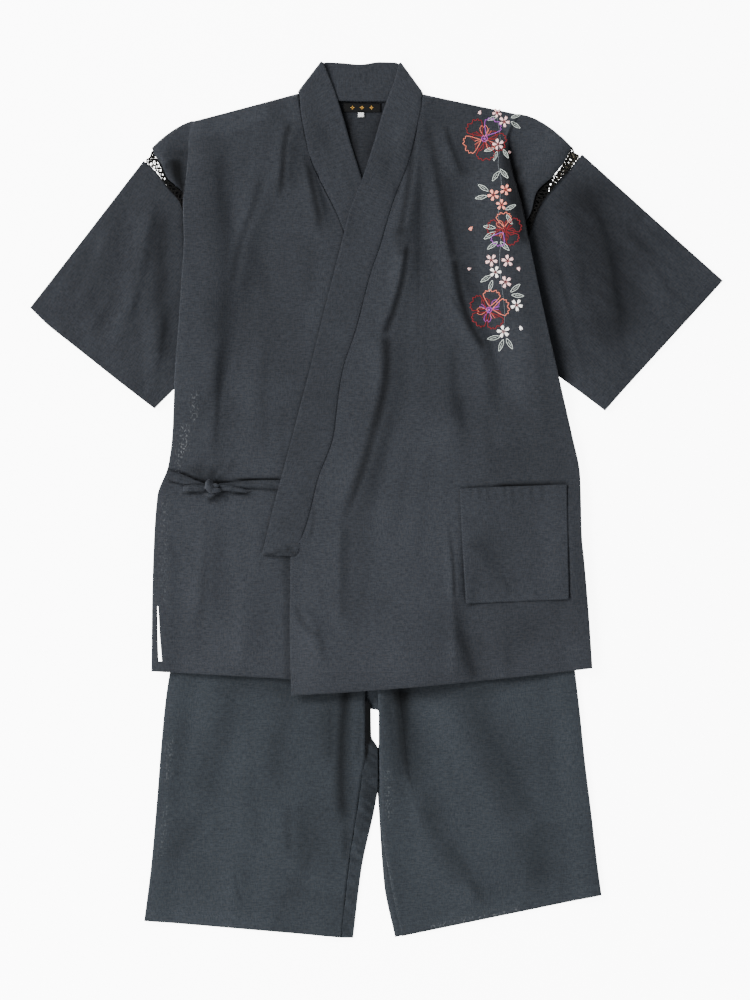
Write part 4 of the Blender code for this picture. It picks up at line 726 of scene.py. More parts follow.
CREASES_SHORTS_RIGHT = [
    Crease(228, 682, 224, 722, 208, 765, 196, 814, 0.8, 0.8, 9.5, 0.10, 0.30, 0.24),
    Crease(197, 806, 190, 832, 178, 850, 165, 869, 0.8, 0.8, 6.5, 0.30, 0.35, 0.20),
    Crease(289, 684, 281, 725, 272, 762, 263, 802, 0.8, 0.8, 8.0, 0.10, 0.40, 0.20),
    Crease(263, 796, 259, 820, 258, 840, 258, 862, 0.8, 0.8, 4.0, 0.30, 0.50, 0.10),
    Crease(291, 800, 290, 820, 290, 838, 292, 862, 1.5, 1.5, 3.0, 0.30, 0.25, 0.30),
    Crease(291, 866, 294, 880, 297, 892, 300, 904, 1.0, 1.0, 7.0, 0.35, 0.35, 0.20),
    Crease(300, 882, 306, 869, 311, 859, 317, 849, 0.8, 0.8, 4.0, 0.35, 0.35, 0.14),
    Crease(347, 684, 342, 735, 341, 785, 346, 832, 1.6, 2.2, 4.2, 0.05, 0.20, 0.80),
    Crease(346, 818, 347, 840, 347, 854, 346, 872, 1.2, 1.2, 3.2, 0.30, 0.60, 0.40),
    Crease(334, 694, 331, 720, 332, 745, 336, 772, 1.0, 1.0, 6.0, 0.25, 0.30, 0.34),
    Crease(325, 778, 325, 810, 322, 842, 317, 874, 0.8, 0.8, 8.0, 0.35, 0.40, 0.12),
    Crease(235, 860, 237, 880, 240, 895, 246, 907, 0.8, 0.8, 2.0, 0.30, 0.30, 0.13),
    Crease(225, 816, 219, 826, 214, 836, 210, 848, 0.8, 0.8, 2.0, 0.35, 0.35, 0.10),
    Crease(250, 700, 255, 750, 256, 800, 255, 842, 0.7, 0.7, 4.0, 0.40, 0.40, 0.07),
    Crease(362, 704, 361, 730, 360, 750, 360, 774, 0.8, 0.8, 1.6, 0.30, 0.30, 0.22),
    Crease(190, 690, 186, 730, 180, 770, 176, 812, 0.7, 0.7, 5.0, 0.40, 0.40, 0.05),
]
CREASES_SHORTS_LEFT = [
    Crease(402, 680, 402, 726, 406, 770, 418, 832, 1.1, 1.4, 8.0, 0.03, 0.60, 0.62),
    Crease(388, 688, 390, 710, 396, 735, 403, 768, 1.0, 1.0, 4.0, 0.10, 0.40, 0.42),
    Crease(420, 776, 434, 822, 450, 858, 473, 888, 0.9, 0.9, 8.5, 0.35, 0.15, 0.32),
    Crease(464, 872, 474, 886, 481, 896, 486, 908, 1.0, 1.0, 3.4, 0.35, 0.40, 0.34),
    Crease(470, 686, 486, 738, 507, 786, 529, 832, 1.0, 0.9, 13.0, 0.08, 0.20, 0.36),
    Crease(527, 820, 534, 845, 538, 865, 541, 892, 0.9, 0.8, 11.0, 0.20, 0.30, 0.34),
    Crease(513, 798, 521, 830, 522, 860, 520, 892, 0.8, 0.8, 5.0, 0.30, 0.40, 0.18),
    Crease(452, 746, 452, 760, 452, 775, 453, 790, 0.6, 0.6, 2.0, 0.40, 0.40, 0.08),
    Crease(565, 868, 563, 882, 562, 894, 561, 906, 0.6, 0.6, 2.0, 0.35, 0.35, 0.08),
    Crease(500, 690, 514, 740, 528, 780, 540, 820, 1.0, 1.0, 9.0, 0.30, 0.40, 0.14),
]
CREASES_POCKET = [
    Crease(462, 547, 474, 545, 487, 547, 501, 557, 1.0, 1.2, 2.2, 0.25, 0.35, 0.24),
    Crease(469, 528, 484, 545, 497, 565, 510, 593, 1.5, 1.0, 6.0, 0.30, 0.20, 0.20),
    Crease(499, 566, 504, 576, 508, 586, 511, 596, 1.0, 1.2, 1.6, 0.30, 0.20, 0.30),
    Crease(462, 512, 468, 519, 474, 524, 481, 527, 0.7, 0.7, 2.0, 0.35, 0.35, 0.12),
    Crease(470, 562, 468, 570, 466, 578, 464, 588, 0.7, 0.7, 2.4, 0.35, 0.35, 0.10),
    Crease(472, 487, 472, 492, 472, 497, 473, 502, 0.7, 0.7, 1.4, 0.20, 0.45, 0.16),
    Crease(480, 487, 480, 492, 481, 497, 481, 505, 0.7, 0.7, 1.4, 0.20, 0.45, 0.18),
    Crease(488, 487, 488, 492, 489, 497, 489, 503, 0.7, 0.7, 1.4, 0.20, 0.45, 0.14),
    Crease(505, 486, 505, 491, 505, 496, 506, 503, 0.7, 0.7, 1.4, 0.20, 0.45, 0.20),
    Crease(513, 486, 513, 491, 514, 497, 515, 506, 0.7, 0.7, 1.4, 0.20, 0.45, 0.18),
    Crease(522, 486, 522, 491, 523, 496, 523, 503, 0.7, 0.7, 1.4, 0.20, 0.45, 0.16),
    Crease(532, 485, 532, 490, 533, 496, 534, 504, 0.7, 0.7, 1.4, 0.20, 0.45, 0.12),
    Crease(543, 485, 543, 490, 544, 495, 545, 501, 0.7, 0.7, 1.4, 0.20, 0.45, 0.10),
    Crease(528, 520, 536, 536, 541, 552, 540, 572, 0.6, 0.6, 5.0, 0.40, 0.40, 0.08),
]
CREASES_BAND = [
    Crease(318, 322, 328, 318, 340, 320, 353, 317, 0.6, 0.6, 2.0, 0.30, 0.30, 0.10),
    Crease(330, 350, 338, 348, 347, 352, 352, 356, 0.6, 0.6, 2.2, 0.30, 0.30, 0.08),
    Crease(300, 476, 308, 474, 315, 476, 320, 479, 0.4, 0.4, 1.6, 0.30, 0.30, 0.07),
    Crease(272, 524, 284, 521, 296, 525, 306, 522, 0.6, 0.6, 3.0, 0.30, 0.30, 0.08),
    Crease(264, 551, 272, 555, 281, 551, 291, 554, 1.2, 1.6, 1.5, 0.20, 0.20, 0.50),
    Crease(283, 545, 288, 548, 293, 552, 298, 558, 1.6, 1.2, 1.4, 0.20, 0.15, 0.55),
    Crease(340, 150, 347, 168, 353, 182, 358, 196, 0.5, 0.5, 2.2, 0.30, 0.30, 0.08),
    Crease(330, 90, 334, 108, 338, 124, 343, 140, 0.5, 0.5, 2.6, 0.30, 0.30, 0.07),
    Crease(338, 78, 350, 82, 366, 80, 384, 77, 0.6, 0.6, 3.0, 0.30, 0.30, 0.08),
    Crease(402, 110, 396, 140, 388, 170, 380, 205, 0.5, 0.5, 3.0, 0.40, 0.40, 0.06),
]
CREASES_BACK = [
    Crease(344, 116, 350, 128, 354, 142, 359, 160, 0.6, 0.6, 3.0, 0.30, 0.30, 0.15),
    Crease(378, 114, 374, 130, 371, 146, 366, 166, 0.6, 0.6, 3.0, 0.30, 0.30, 0.12),
]

# Painted shade: areas that are darker where several layers lie on each other, that lie deep in a fold, or
# that lie beside an edge standing over them. Negative amounts are painted light.
SHADE_FRONT_RIGHT = [
    Patch(0.09, 3.0, ((183, 196), (230, 192), (228, 300), (224, 334), (206, 332), (198, 300), (184, 250))),
    Patch(0.10, 5.0, ((268, 102), (298, 98), (303, 130), (320, 175), (333, 232), (300, 228), (262, 222))),
    Patch(0.12, 3.0, ((250, 232), (303, 230), (305, 300), (303, 378), (236, 380), (232, 330), (240, 270))),
    Patch(0.05, 4.0, ((186, 140), (230, 133), (268, 119), (262, 190), (235, 195), (184, 192))),
    Patch(-0.16, 2.5, ((176, 128), (268, 102), (267, 119), (230, 133), (186, 139), (165, 152))),
    Patch(0.30, 3.0, ((283, 552), (292, 552), (293, 690), (284, 690))),
    Patch(0.25, 4.0, ((184, 466), (214, 466), (216, 482), (196, 480), (184, 476))),
    Patch(0.45, 1.2, ((178, 470.5), (198, 477.5), (212, 480), (236, 480), (251, 478), (281, 477.5),
                      (281, 481), (250, 482), (214, 484), (196, 483), (178, 476))),
    Patch(-0.10, 14.0, ((165, 500), (285, 500), (285, 672), (155, 668))),
    Patch(0.05, 8.0, ((190, 300), (230, 300), (225, 440), (190, 440))),
]
# Painted shade deep in the recess under a front's standing fold, on the strip tucked under it; negative
# amounts are painted light on the fold's lit ridge.
TUCKED_FRONT_RIGHT = [
    Patch(0.62, 3.0, ((168, 162), (178, 160), (185, 168), (187, 202), (181, 192), (173, 178))),
    Patch(0.40, 4.5, ((170, 150), (184, 150), (187, 200), (180, 192), (171, 176))),
    Patch(0.45, 0.9, ((165.2, 140), (166.6, 140), (167.4, 178), (166.0, 178))),
    Patch(-0.22, 1.2, ((161.5, 142), (164.0, 140), (164.8, 176), (163.0, 174))),
]
SHADE_FRONT_LEFT = [
    Patch(0.35, 4.0, ((394, 230), (407, 228), (409, 253), (398, 256))),
    Patch(0.08, 8.0, ((470, 480), (575, 480), (578, 560), (582, 640), (480, 650), (465, 560))),
    Patch(0.10, 8.0, ((505, 400), (560, 395), (572, 440), (575, 478), (500, 478))),
    Patch(0.35, 1.2, ((500, 482.5), (530, 482), (566, 481.5), (566, 484.5), (530, 486.5), (500, 487))),
    Patch(0.10, 5.0, ((448, 630), (472, 632), (500, 650), (486, 684), (452, 688))),
    Patch(0.10, 16.0, ((425, 110), (520, 118), (560, 330), (470, 330), (400, 240))),
    Patch(0.72, 5.5, ((501, 142), (512, 140), (518, 170), (523, 200), (527, 245), (518, 240), (509, 205),
                      (503, 175))),
    Patch(-0.35, 3.0, ((502, 118), (514, 118), (512, 140), (504, 142))),
    Patch(-0.12, 14.0, ((360, 430), (450, 430), (450, 670), (300, 680), (300, 560))),
]
# The same painted shade and painted light for the other front's fold.
TUCKED_FRONT_LEFT = [
    Patch(0.60, 2.5, ((498, 142), (509, 148), (516, 166), (523, 187), (526, 214), (532, 242), (520, 242),
                      (510, 212), (505, 180), (500, 156))),
    Patch(0.55, 6.0, ((500, 134), (514, 142), (520, 166), (524, 186), (530, 216), (534, 242), (520, 242),
                      (510, 212), (505, 180), (500, 152))),
    Patch(-0.32, 2.6, ((531, 132), (536, 133), (534, 160), (527.5, 182), (524, 178), (530.5, 156))),
]
SHADE_SLEEVE_RIGHT = [
    Patch(0.10, 10.0, ((20, 140), (200, 140), (200, 420), (20, 420))),
    Patch(0.50, 2.5, ((182, 196), (190, 200), (190, 262), (183, 262))),
    Patch(0.06, 9.0, ((60, 262), (118, 262), (108, 330), (92, 330), (58, 296))),
    Patch(-0.08, 6.0, ((72, 322), (92, 318), (104, 350), (92, 352))),
]
SHADE_SLEEVE_LEFT = [
    Patch(0.40, 7.0, ((520, 196), (541, 197), (545, 218), (553, 250), (563, 300), (568, 345), (572, 380),
                      (552, 386), (530, 300), (518, 240))),
    Patch(0.20, 14.0, ((566, 172), (612, 190), (650, 240), (640, 320), (602, 350), (570, 290))),
]
SHADE_SHORTS_RIGHT = [
    Patch(0.05, 10.0, ((100, 640), (400, 640), (400, 960), (100, 960))),
    Patch(0.12, 16.0, ((300, 690), (372, 690), (352, 860), (300, 880))),
    Patch(0.22, 8.0, ((215, 668), (295, 672), (372, 680), (374, 697), (330, 702), (290, 694), (216, 690))),
    Patch(0.12, 4.0, ((274, 893), (306, 886), (346, 898), (344, 940), (270, 940))),
    Patch(-0.08, 4.0, ((150, 905), (272, 916), (272, 940), (146, 930))),
    Patch(-0.16, 2.5, ((352, 700), (363, 700), (362, 800), (354, 824), (351, 780))),
]
SHADE_SHORTS_LEFT = [
    Patch(0.30, 7.0, ((372, 670), (440, 678), (530, 668), (572, 668), (560, 674), (500, 690), (440, 700),
                      (392, 702))),
    Patch(0.30, 4.0, ((392, 690), (408, 692), (408, 740), (410, 780), (404, 770), (398, 740))),
    Patch(-0.08, 9.0, ((415, 705), (450, 705), (500, 830), (508, 880), (490, 880), (440, 800))),
]
SHADE_CROTCH = [
    Patch(0.88, 1.8, ((364, 690), (370, 694), (372, 706), (371.5, 730), (368, 752), (365.4, 760),
                      (364, 720))),
    Patch(0.22, 3.0, ((364, 690), (380, 690), (379, 830), (364, 830))),
]
# The last two patches are black painted shade inside the armholes, seen through the openwork.
SHADE_BACK = [
    Patch(0.55, 4.0, ((320, 98), (345, 98), (358, 160), (364, 184), (352, 170))),
    Patch(0.35, 4.0, ((384, 98), (396, 98), (384, 140), (366, 184), (372, 150))),
    Patch(0.40, 12.0, ((330, 96), (396, 96), (378, 190), (350, 190))),
    Patch(1.00, 2.0, ((140, 178), (188, 178), (196, 260), (170, 260))),
    Patch(1.00, 2.0, ((520, 176), (560, 176), (560, 260), (520, 260))),
]
# Painted light: places where the lit floor is painted glinting through the loosest threads.
SHEER_FRONT_RIGHT = [
    Patch(0.45, 3.0, ((192, 392), (198, 392), (197, 420), (191, 424))),
    Patch(0.60, 4.0, ((182, 424), (189, 424), (188, 452), (180, 456))),
    Patch(0.30, 4.0, ((176, 448), (184, 446), (180, 474), (174, 472))),
    Patch(0.20, 5.0, ((160, 500), (168, 500), (168, 600), (162, 604))),
]
SHEER_SHORTS_RIGHT = [
    Patch(0.35, 3.0, ((168, 738), (173, 738), (170, 780), (166, 782))),
    Patch(0.22, 3.0, ((164, 800), (169, 800), (164, 856), (159, 856))),
]
SHEER_SHORTS_LEFT = [
    Patch(0.35, 3.0, ((384, 772), (390, 770), (392, 816), (387, 820))),
    Patch(0.55, 3.0, ((382, 860), (386, 860), (396, 912), (391, 914))),
    Patch(0.40, 2.0, ((430, 925), (480, 914), (520, 906), (521, 910), (480, 920), (430, 930))),
]


def polyline(crease):
    """Points along a crease's path, in layout units."""
    xs = np.array([crease.x1, crease.x2, crease.x3, crease.x4], float)
    ys = np.array([crease.y1, crease.y2, crease.y3, crease.y4], float)
    stops = distances(xs, ys)
    at = np.linspace(0, stops[-1], CREASE_POINTS)
    return spline(stops, xs, at), spline(stops, ys, at)


def beside(px, py, layout_x, layout_y):
    """For each point its signed distance from a path, and the share of the path passed there.

    The distance is positive on the right of a path that runs down the layout, and on the left of one
    that runs up.
    """
    best = np.full(layout_x.shape, 1e9)
    signed = np.full(layout_x.shape, 1e9)
    share = np.zeros(layout_x.shape)
    count = len(px) - 1
    for i in range(count):
        dx = px[i + 1] - px[i]
        dy = py[i + 1] - py[i]
        length = math.hypot(dx, dy)
        along = ((layout_x - px[i]) * dx + (layout_y - py[i]) * dy) / length**2
        held = np.clip(along, 0, 1)
        away_x = layout_x - px[i] - dx * held
        away_y = layout_y - py[i] - dy * held
        away = np.hypot(away_x, away_y)
        side = np.sign(dy * away_x - dx * away_y)
        nearer = away < best
        best = np.where(nearer, away, best)
        signed = np.where(nearer, side * away, signed)
        share = np.where(nearer, (i + held) / count, share)
    return signed, share


def crease_field(creases, x, y):
    """Height that the creases add, and the shade painted in them, at the points (x, y) in metres."""
    layout_x, layout_y = in_layout(x, y)
    height = np.zeros(layout_x.shape)
    dark = np.zeros(layout_x.shape)
    for crease in creases:
        slot = crease.slot * CREASE_WIDTH
        reach = 7 * slot + 2
        low_x = min(crease.x1, crease.x2, crease.x3, crease.x4) - reach
        high_x = max(crease.x1, crease.x2, crease.x3, crease.x4) + reach
        low_y = min(crease.y1, crease.y2, crease.y3, crease.y4) - reach
        high_y = max(crease.y1, crease.y2, crease.y3, crease.y4) + reach
        near = (layout_x > low_x) & (layout_x < high_x) & (layout_y > low_y) & (layout_y < high_y)
        if not near.any():
            continue
        signed, share = beside(*polyline(crease), layout_x[near], layout_y[near])
        away = np.abs(signed)
        lift = np.where(signed > 0, crease.right, crease.left) * 0.001
        bank = np.exp(-(np.maximum(away - 1.2 * slot, 0) / (2.6 * slot))**2)
        valley = 1 - np.exp(-(away / slot)**2)
        fade = smooth_step(share / crease.head) * smooth_step((1 - share) / crease.tail)
        height[near] += lift * bank * valley * fade
        # Painted shade, deepest along the crease's valley.
        depth = CREASE_DARK * crease.dark * fade * np.exp(-(away / (1.15 * slot))**2)
        dark[near] = np.maximum(dark[near], depth)
    return height, dark


def patch_field(patches, x, y):
    """The summed amounts of soft-edged areas at the points (x, y) in metres."""
    layout_x, layout_y = in_layout(x, y)
    total = np.zeros(layout_x.shape)
    for patch in patches:
        inside = np.zeros(layout_x.shape, bool)
        best = np.full(layout_x.shape, 1e9)
        corners = patch.corners
        for (ax, ay), (bx, by) in zip(corners, corners[1:] + corners[:1]):
            crosses = (ay > layout_y) != (by > layout_y)
            with np.errstate(divide="ignore", invalid="ignore"):
                at = ax + (layout_y - ay) * (bx - ax) / (by - ay if by != ay else 1e-9)
            inside ^= crosses & (layout_x < at)
            length = max((bx - ax)**2 + (by - ay)**2, 1e-9)
            held = np.clip(((layout_x - ax) * (bx - ax) + (layout_y - ay) * (by - ay)) / length, 0, 1)
            away = np.hypot(layout_x - ax - (bx - ax) * held, layout_y - ay - (by - ay) * held)
            best = np.minimum(best, away)
        depth = np.where(inside, best, -best)
        total += patch.amount * smooth_step((depth + patch.soft) / (2 * patch.soft))
    return total


def lattice_noise(u, v, seed):
    """Smooth noise from -1 to 1 with features one unit apart, the same at each run."""
    rng = np.random.default_rng(seed)
    grid = rng.uniform(-1, 1, (97, 97))
    u = np.mod(u, 96)
    v = np.mod(v, 96)
    i = np.floor(u).astype(int)
    j = np.floor(v).astype(int)
    fu = smooth_step(u - i)
    fv = smooth_step(v - j)
    upper = grid[i, j] * (1 - fu) + grid[i + 1, j] * fu
    lower = grid[i, j + 1] * (1 - fu) + grid[i + 1, j + 1] * fu
    return upper * (1 - fv) + lower * fv


def crinkle(u, v, seed, height):
    """Irregular crepe ridges that run along v, in metres."""
    bend = lattice_noise(v / 0.09, u / 0.12, seed + 1) * 0.9
    ridges = lattice_noise(u / RIDGE_PITCH + bend, v / RIDGE_LENGTH, seed)
    finer = lattice_noise(u / (RIDGE_PITCH * 0.55) + bend, v / (RIDGE_LENGTH * 0.5), seed + 2)
    slow = 0.65 + 0.35 * lattice_noise(u / 0.07, v / 0.09, seed + 3)
    return height * slow * (ridges + 0.5 * finer)


def run_lengths(x, y, z, axis):
    """Distance along the grid from its first row or column."""
    steps = np.sqrt(np.diff(x, axis=axis)**2 + np.diff(y, axis=axis)**2 + np.diff(z, axis=axis)**2)
    first = np.zeros_like(np.take(x, [0], axis=axis))
    return np.concatenate([first, np.cumsum(steps, axis=axis)], axis=axis)


def wrap_shoulder(x, y, z):
    """Carries a front over the shoulder line in a round edge and a little way down behind it."""
    low = SHELL / 2 + 0.0001
    angles = np.linspace(np.pi, 0, 8)[:-1]
    middle = (z[0] + low) / 2
    half = (z[0] - low) / 2
    extra_x = [x[0]]
    extra_y = [y[0] - SHOULDER_WRAP]
    extra_z = [np.full_like(z[0], low)]
    for angle in angles:
        extra_x.append(x[0])
        extra_y.append(y[0] - BEND * (1 - np.sin(angle)))
        extra_z.append(middle + half * np.cos(angle))
    return (np.vstack([extra_x, x]),
            np.vstack([extra_y, (y[0] - BEND)[None], y[1:]]), np.vstack([extra_z, z]))


def shell(name, x, y, z, pile, thickness=SHELL, ring=False, tone=None, grain=None, trim=None):
    """A thin closed shell round a grid of mid-points, with the values its material reads."""
    thickness = np.broadcast_to(thickness, x.shape)[..., None]
    normals = grid_normals(x, y, z, ring)
    middle = np.stack([x, y, z], axis=-1)
    if ring:
        centre = middle.mean(axis=1, keepdims=True)
        if np.sum((middle - centre) * normals) < 0:
            normals = -normals
    elif normals[..., 2].sum() < 0:
        normals = -normals
    outer = middle + normals * thickness / 2
    inner = middle - normals * thickness / 2
    outer[..., 2] = np.maximum(outer[..., 2], 0.0)
    inner[..., 2] = np.maximum(inner[..., 2], 0.0)
    rows, columns = x.shape
    half = rows * columns
    index = np.arange(half).reshape(rows, columns)
    if ring:
        index = np.hstack([index, index[:, :1]])
    a = index[:-1, :-1].ravel()
    b = index[:-1, 1:].ravel()
    c = index[1:, 1:].ravel()
    d = index[1:, :-1].ravel()
    quads = [np.stack([a, b, c, d], axis=1), np.stack([a, d, c, b], axis=1) + half]
    around = np.array(list(rim(rows, columns, ring)))
    quads.append(np.stack([around[:, 1], around[:, 0], around[:, 0] + half, around[:, 1] + half], axis=1))
    faces = np.vstack(quads)
    if pile is not None:
        pile.cover(outer[..., 0], outer[..., 1], np.maximum(outer[..., 2], inner[..., 2]))
    vertices = np.vstack([outer.reshape(-1, 3), inner.reshape(-1, 3)])
    face = vertices[faces[0]]
    up = np.cross(face[1] - face[0], face[2] - face[0])
    if np.dot(up, normals.reshape(-1, 3)[faces[0][0]]) < 0:
        faces = faces[:, ::-1]
    piece = mesh_object(name, vertices, faces)
    if grain is None:
        grain = (x, y)
    if tone is None:
        tone = (np.zeros_like(x), np.zeros_like(x))
    if trim is None:
        trim = (np.full_like(x, FAR), np.full_like(x, FAR), np.zeros_like(x))
    store(piece, "grain", np.stack([grain[0], grain[1], np.zeros_like(x)], axis=-1))
    store(piece, "tone", np.stack([tone[0], tone[1], np.zeros_like(x)], axis=-1))
    store(piece, "trim", np.stack(trim, axis=-1))
    return piece


def in_scene(name, mesh):
    """A checked, smoothly shaded mesh as an object in the scene."""
    mesh.validate()
    mesh.shade_smooth()
    piece = bpy.data.objects.new(name, mesh)
    bpy.context.scene.collection.objects.link(piece)
    return piece


def mesh_object(name, vertices, faces):
    """A mesh whose faces all have as many corners."""
    mesh = bpy.data.meshes.new(name)
    mesh.vertices.add(len(vertices))
    mesh.vertices.foreach_set("co", np.asarray(vertices, float).ravel())
    faces = np.asarray(faces)
    sides = faces.shape[1]
    mesh.loops.add(faces.size)
    mesh.loops.foreach_set("vertex_index", faces.ravel())
    mesh.polygons.add(len(faces))
    mesh.polygons.foreach_set("loop_start", np.arange(0, faces.size, sides))
    mesh.update(calc_edges=True)
    return in_scene(name, mesh)


def save(piece, name, vectors):
    """Stores a vector for each vertex."""
    layer = piece.data.attributes.new(name, "FLOAT_VECTOR", "POINT")
    layer.data.foreach_set("vector", np.asarray(vectors, float).ravel())


def store(piece, name, values):
    """Saves a grid of vectors on both sides of a shell."""
    flat = values.reshape(-1, 3)
    save(piece, name, np.vstack([flat, flat]))


def contact_shade(edges, x, y):
    """Painted shade on the cloth beside the edges of what lies on it, given by path, amount and width."""
    layout_x, layout_y = in_layout(x, y)
    dark = np.zeros_like(x)
    for edge in edges:
        path_x, path_y = np.array(edge.path, float).T
        away, share = beside(path_x, path_y, layout_x, layout_y)
        ends = smooth_step(share / 0.04) * smooth_step((1 - share) / 0.04)
        dark = np.maximum(dark, edge.amount * ends * np.exp(-(away / edge.width)**2))
    return dark


def hem_rise(distance):
    """How much a hem stands up at a distance from its edge."""
    return HEM_RISE * smooth_step((HEM_DEPTH - distance) / HEM_SOFT)


def front(name, table, seam, pile, folds, creases, shade, sheer, outward, columns, seed, shoulder=False,
          bow=0.0, edge_stitch=False, tucked=(), sewn_on=(), shaded_by=()):
    """A front panel or a trouser front as a fine shell."""
    x, y, z, main = panel(table, seam, pile, folds, creases, columns, outward, bow, shoulder)
    flat_part = np.arange(x.shape[1]) < main
    dark = np.where(flat_part, crease_field(creases, x, y)[1], 0)
    hem = run_lengths(x[::-1], y[::-1], z[::-1], 0)[::-1]
    edge = run_lengths(x, y, z, 1)
    keep = np.where(flat_part, 1.0, 0.35)
    z = z + keep * (crinkle(y, x, seed, CRINKLE) + CRINKLE)
    z = z + hem_rise(hem)
    # Painted shade from creases, edges and patches, and painted glints of the floor, stored for the material.
    dark = dark + contact_shade(shaded_by, x, y) * flat_part
    tone = (dark + patch_field(shade, x, y) * flat_part + (1 - flat_part) * patch_field(tucked, x, y),
            patch_field(sheer, x, y))
    trim = (hem, edge if edge_stitch else np.full_like(x, FAR), x)
    pile.cover(x, y, z + SHELL / 2)
    pile.seams[name] = (y[:, 0], z[:, 0] + SHELL / 2)
    z = z + flush_rise(sewn_on, x, y) * flat_part
    return shell(name, x, y, z, None, tone=tone, trim=trim)


def open_slit(pieces):
    """Cuts the open stretch of the side slit out of front and back."""
    points = []
    for height in (-0.01, 0.04):
        points.extend((along_x(row.left), along_y(row.down), height) for row in SLIT)
        points.extend((along_x(row.right), along_y(row.down), height) for row in reversed(SLIT))
    count = 2 * len(SLIT)
    faces = [tuple(range(count)), tuple(range(2 * count - 1, count - 1, -1))]
    faces += [(i, (i + 1) % count, count + (i + 1) % count, count + i) for i in range(count)]
    cutter = mixed_object("slit_wedge", points, faces)
    for piece in pieces:
        modifier = piece.modifiers.new("side_slit", "BOOLEAN")
        modifier.operation = "DIFFERENCE"
        modifier.solver = "EXACT"
        modifier.object = cutter
    bpy.context.view_layer.update()
    graph = bpy.context.evaluated_depsgraph_get()
    for piece in pieces:
        mesh = bpy.data.meshes.new_from_object(piece.evaluated_get(graph))
        piece.modifiers.clear()
        old = piece.data
        piece.data = mesh
        carry_over(old, mesh)
        bpy.data.meshes.remove(old)
    bpy.data.objects.remove(cutter)


def carry_over(old, new):
    """Gives each vertex of a cut mesh the stored values of the vertex that stood nearest to it before."""
    tree = KDTree(len(old.vertices))
    for vertex in old.vertices:
        tree.insert(vertex.co, vertex.index)
    tree.balance()
    source = np.array([tree.find(vertex.co)[1] for vertex in new.vertices])
    for name in ("grain", "tone", "trim"):
        values = np.empty(len(old.vertices) * 3)
        old.attributes[name].data.foreach_get("vector", values)
        if name in new.attributes:
            new.attributes.remove(new.attributes[name])
        layer = new.attributes.new(name, "FLOAT_VECTOR", "POINT")
        layer.data.foreach_set("vector", values.reshape(-1, 3)[source].ravel())


def flush_rise(outlines, x, y):
    """Raises the cloth just outside the pieces sewn on it, given by paths with the piece on their left as
    they run down, and on their right as they run up."""
    rise = np.zeros_like(x)
    layout_x, layout_y = in_layout(x, y)
    for path in outlines:
        path_x, path_y = np.array(path, float).T
        away, share = beside(path_x, path_y, layout_x, layout_y)
        away = away * UNIT
        ends = smooth_step(share / 0.02) * smooth_step((1 - share) / 0.02)
        side = smooth_step((away - 0.0001) / 0.0008) * np.exp(-(np.maximum(away, 0) / FLUSH_REACH)**2)
        rise = np.maximum(rise, FLUSH_RISE * side * ends)
    return rise


def level_beside(piece, path, own, other):
    """Moves a piece up or down beside a seam until it lies level with what it is sewn to.

    own and other are the two pieces' heights along the seam, as y and z.
    """
    mesh = piece.data
    points = np.empty(len(mesh.vertices) * 3)
    mesh.vertices.foreach_get("co", points)
    points = points.reshape(-1, 3)
    path_x, path_y = np.array(path, float).T
    away, share = beside(path_x, path_y, *in_layout(points[:, 0], points[:, 1]))
    away = away * UNIT
    tops = []
    for down, height in (own, other):
        order = np.argsort(down)
        tops.append(np.interp(points[:, 1], down[order], height[order]))
    rise = np.clip(tops[1] - tops[0] - LEVEL_STEP, -MOST_RISE / 2, MOST_RISE)
    ends = smooth_step(share / 0.01) * smooth_step((1 - share) / 0.03)
    side = smooth_step((away + 0.0003) / 0.0003) * np.exp(-(np.maximum(away, 0) / FLUSH_REACH)**2)
    points[:, 2] += rise * side * ends
    mesh.vertices.foreach_set("co", points.ravel())
    mesh.update()


def laid_piece(name, table, pile, spacing, columns, seed, creases=(), height=0.0002, soften=0.006,
               thickness=SHELL, trimmed=True):
    """A flat piece that rests on the pile, as a fine shell."""
    x, y = flat_grid(table, spacing, columns)
    z = pile.lie(x, y, soften) + thickness / 2
    lift, dark = crease_field(creases, x, y)
    z = z + lift + crinkle(y, x, seed, height) + height
    left = run_lengths(x, y, z, 1)
    right = left[:, -1:] - left
    top = run_lengths(x, y, z, 0)
    low = top[-1:] - top
    around = np.minimum(np.minimum(left, right), low)
    trim = None
    if trimmed:
        trim = (top, around + EDGE_STITCH - 0.002, x)
        z = z + HEM_RISE * smooth_step((POCKET_HEM - top) / HEM_SOFT)
    return shell(name, x, y, z, pile, thickness, tone=(dark, np.zeros_like(x)), trim=trim)


def fine_back(pile):
    """The jacket's back as a fine shell."""
    rows = read_rows(BACK, BACK_SPACING)
    xs = []
    ys = []
    names = ["left", "neck_l", "neck_r", "right"]
    for start, end, count in zip(names[:-1], names[1:], BACK_STEPS):
        steps = np.linspace(0, 1, count + 1)
        steps = steps if start == "left" else steps[1:]
        xs.append(between(rows[start + "_x"], rows[end + "_x"], steps))
        ys.append(between(rows[start + "_y"], rows[end + "_y"], steps))
    x = np.hstack(xs)
    y = np.hstack(ys)
    z = pile.lie(x, y, SOFT_PANEL) + SHELL / 2
    lift, dark = crease_field(CREASES_BACK, x, y)
    hem = run_lengths(x[::-1], y[::-1], z[::-1], 0)[::-1]
    z = z + lift + crinkle(y, x, 41, 0.0002) + 0.0002
    tone = (dark + patch_field(SHADE_BACK, x, y), np.zeros_like(x))
    return shell("jacket_back_cloth", x, y, z, pile, tone=tone, trim=(hem, np.full_like(x, FAR), x))


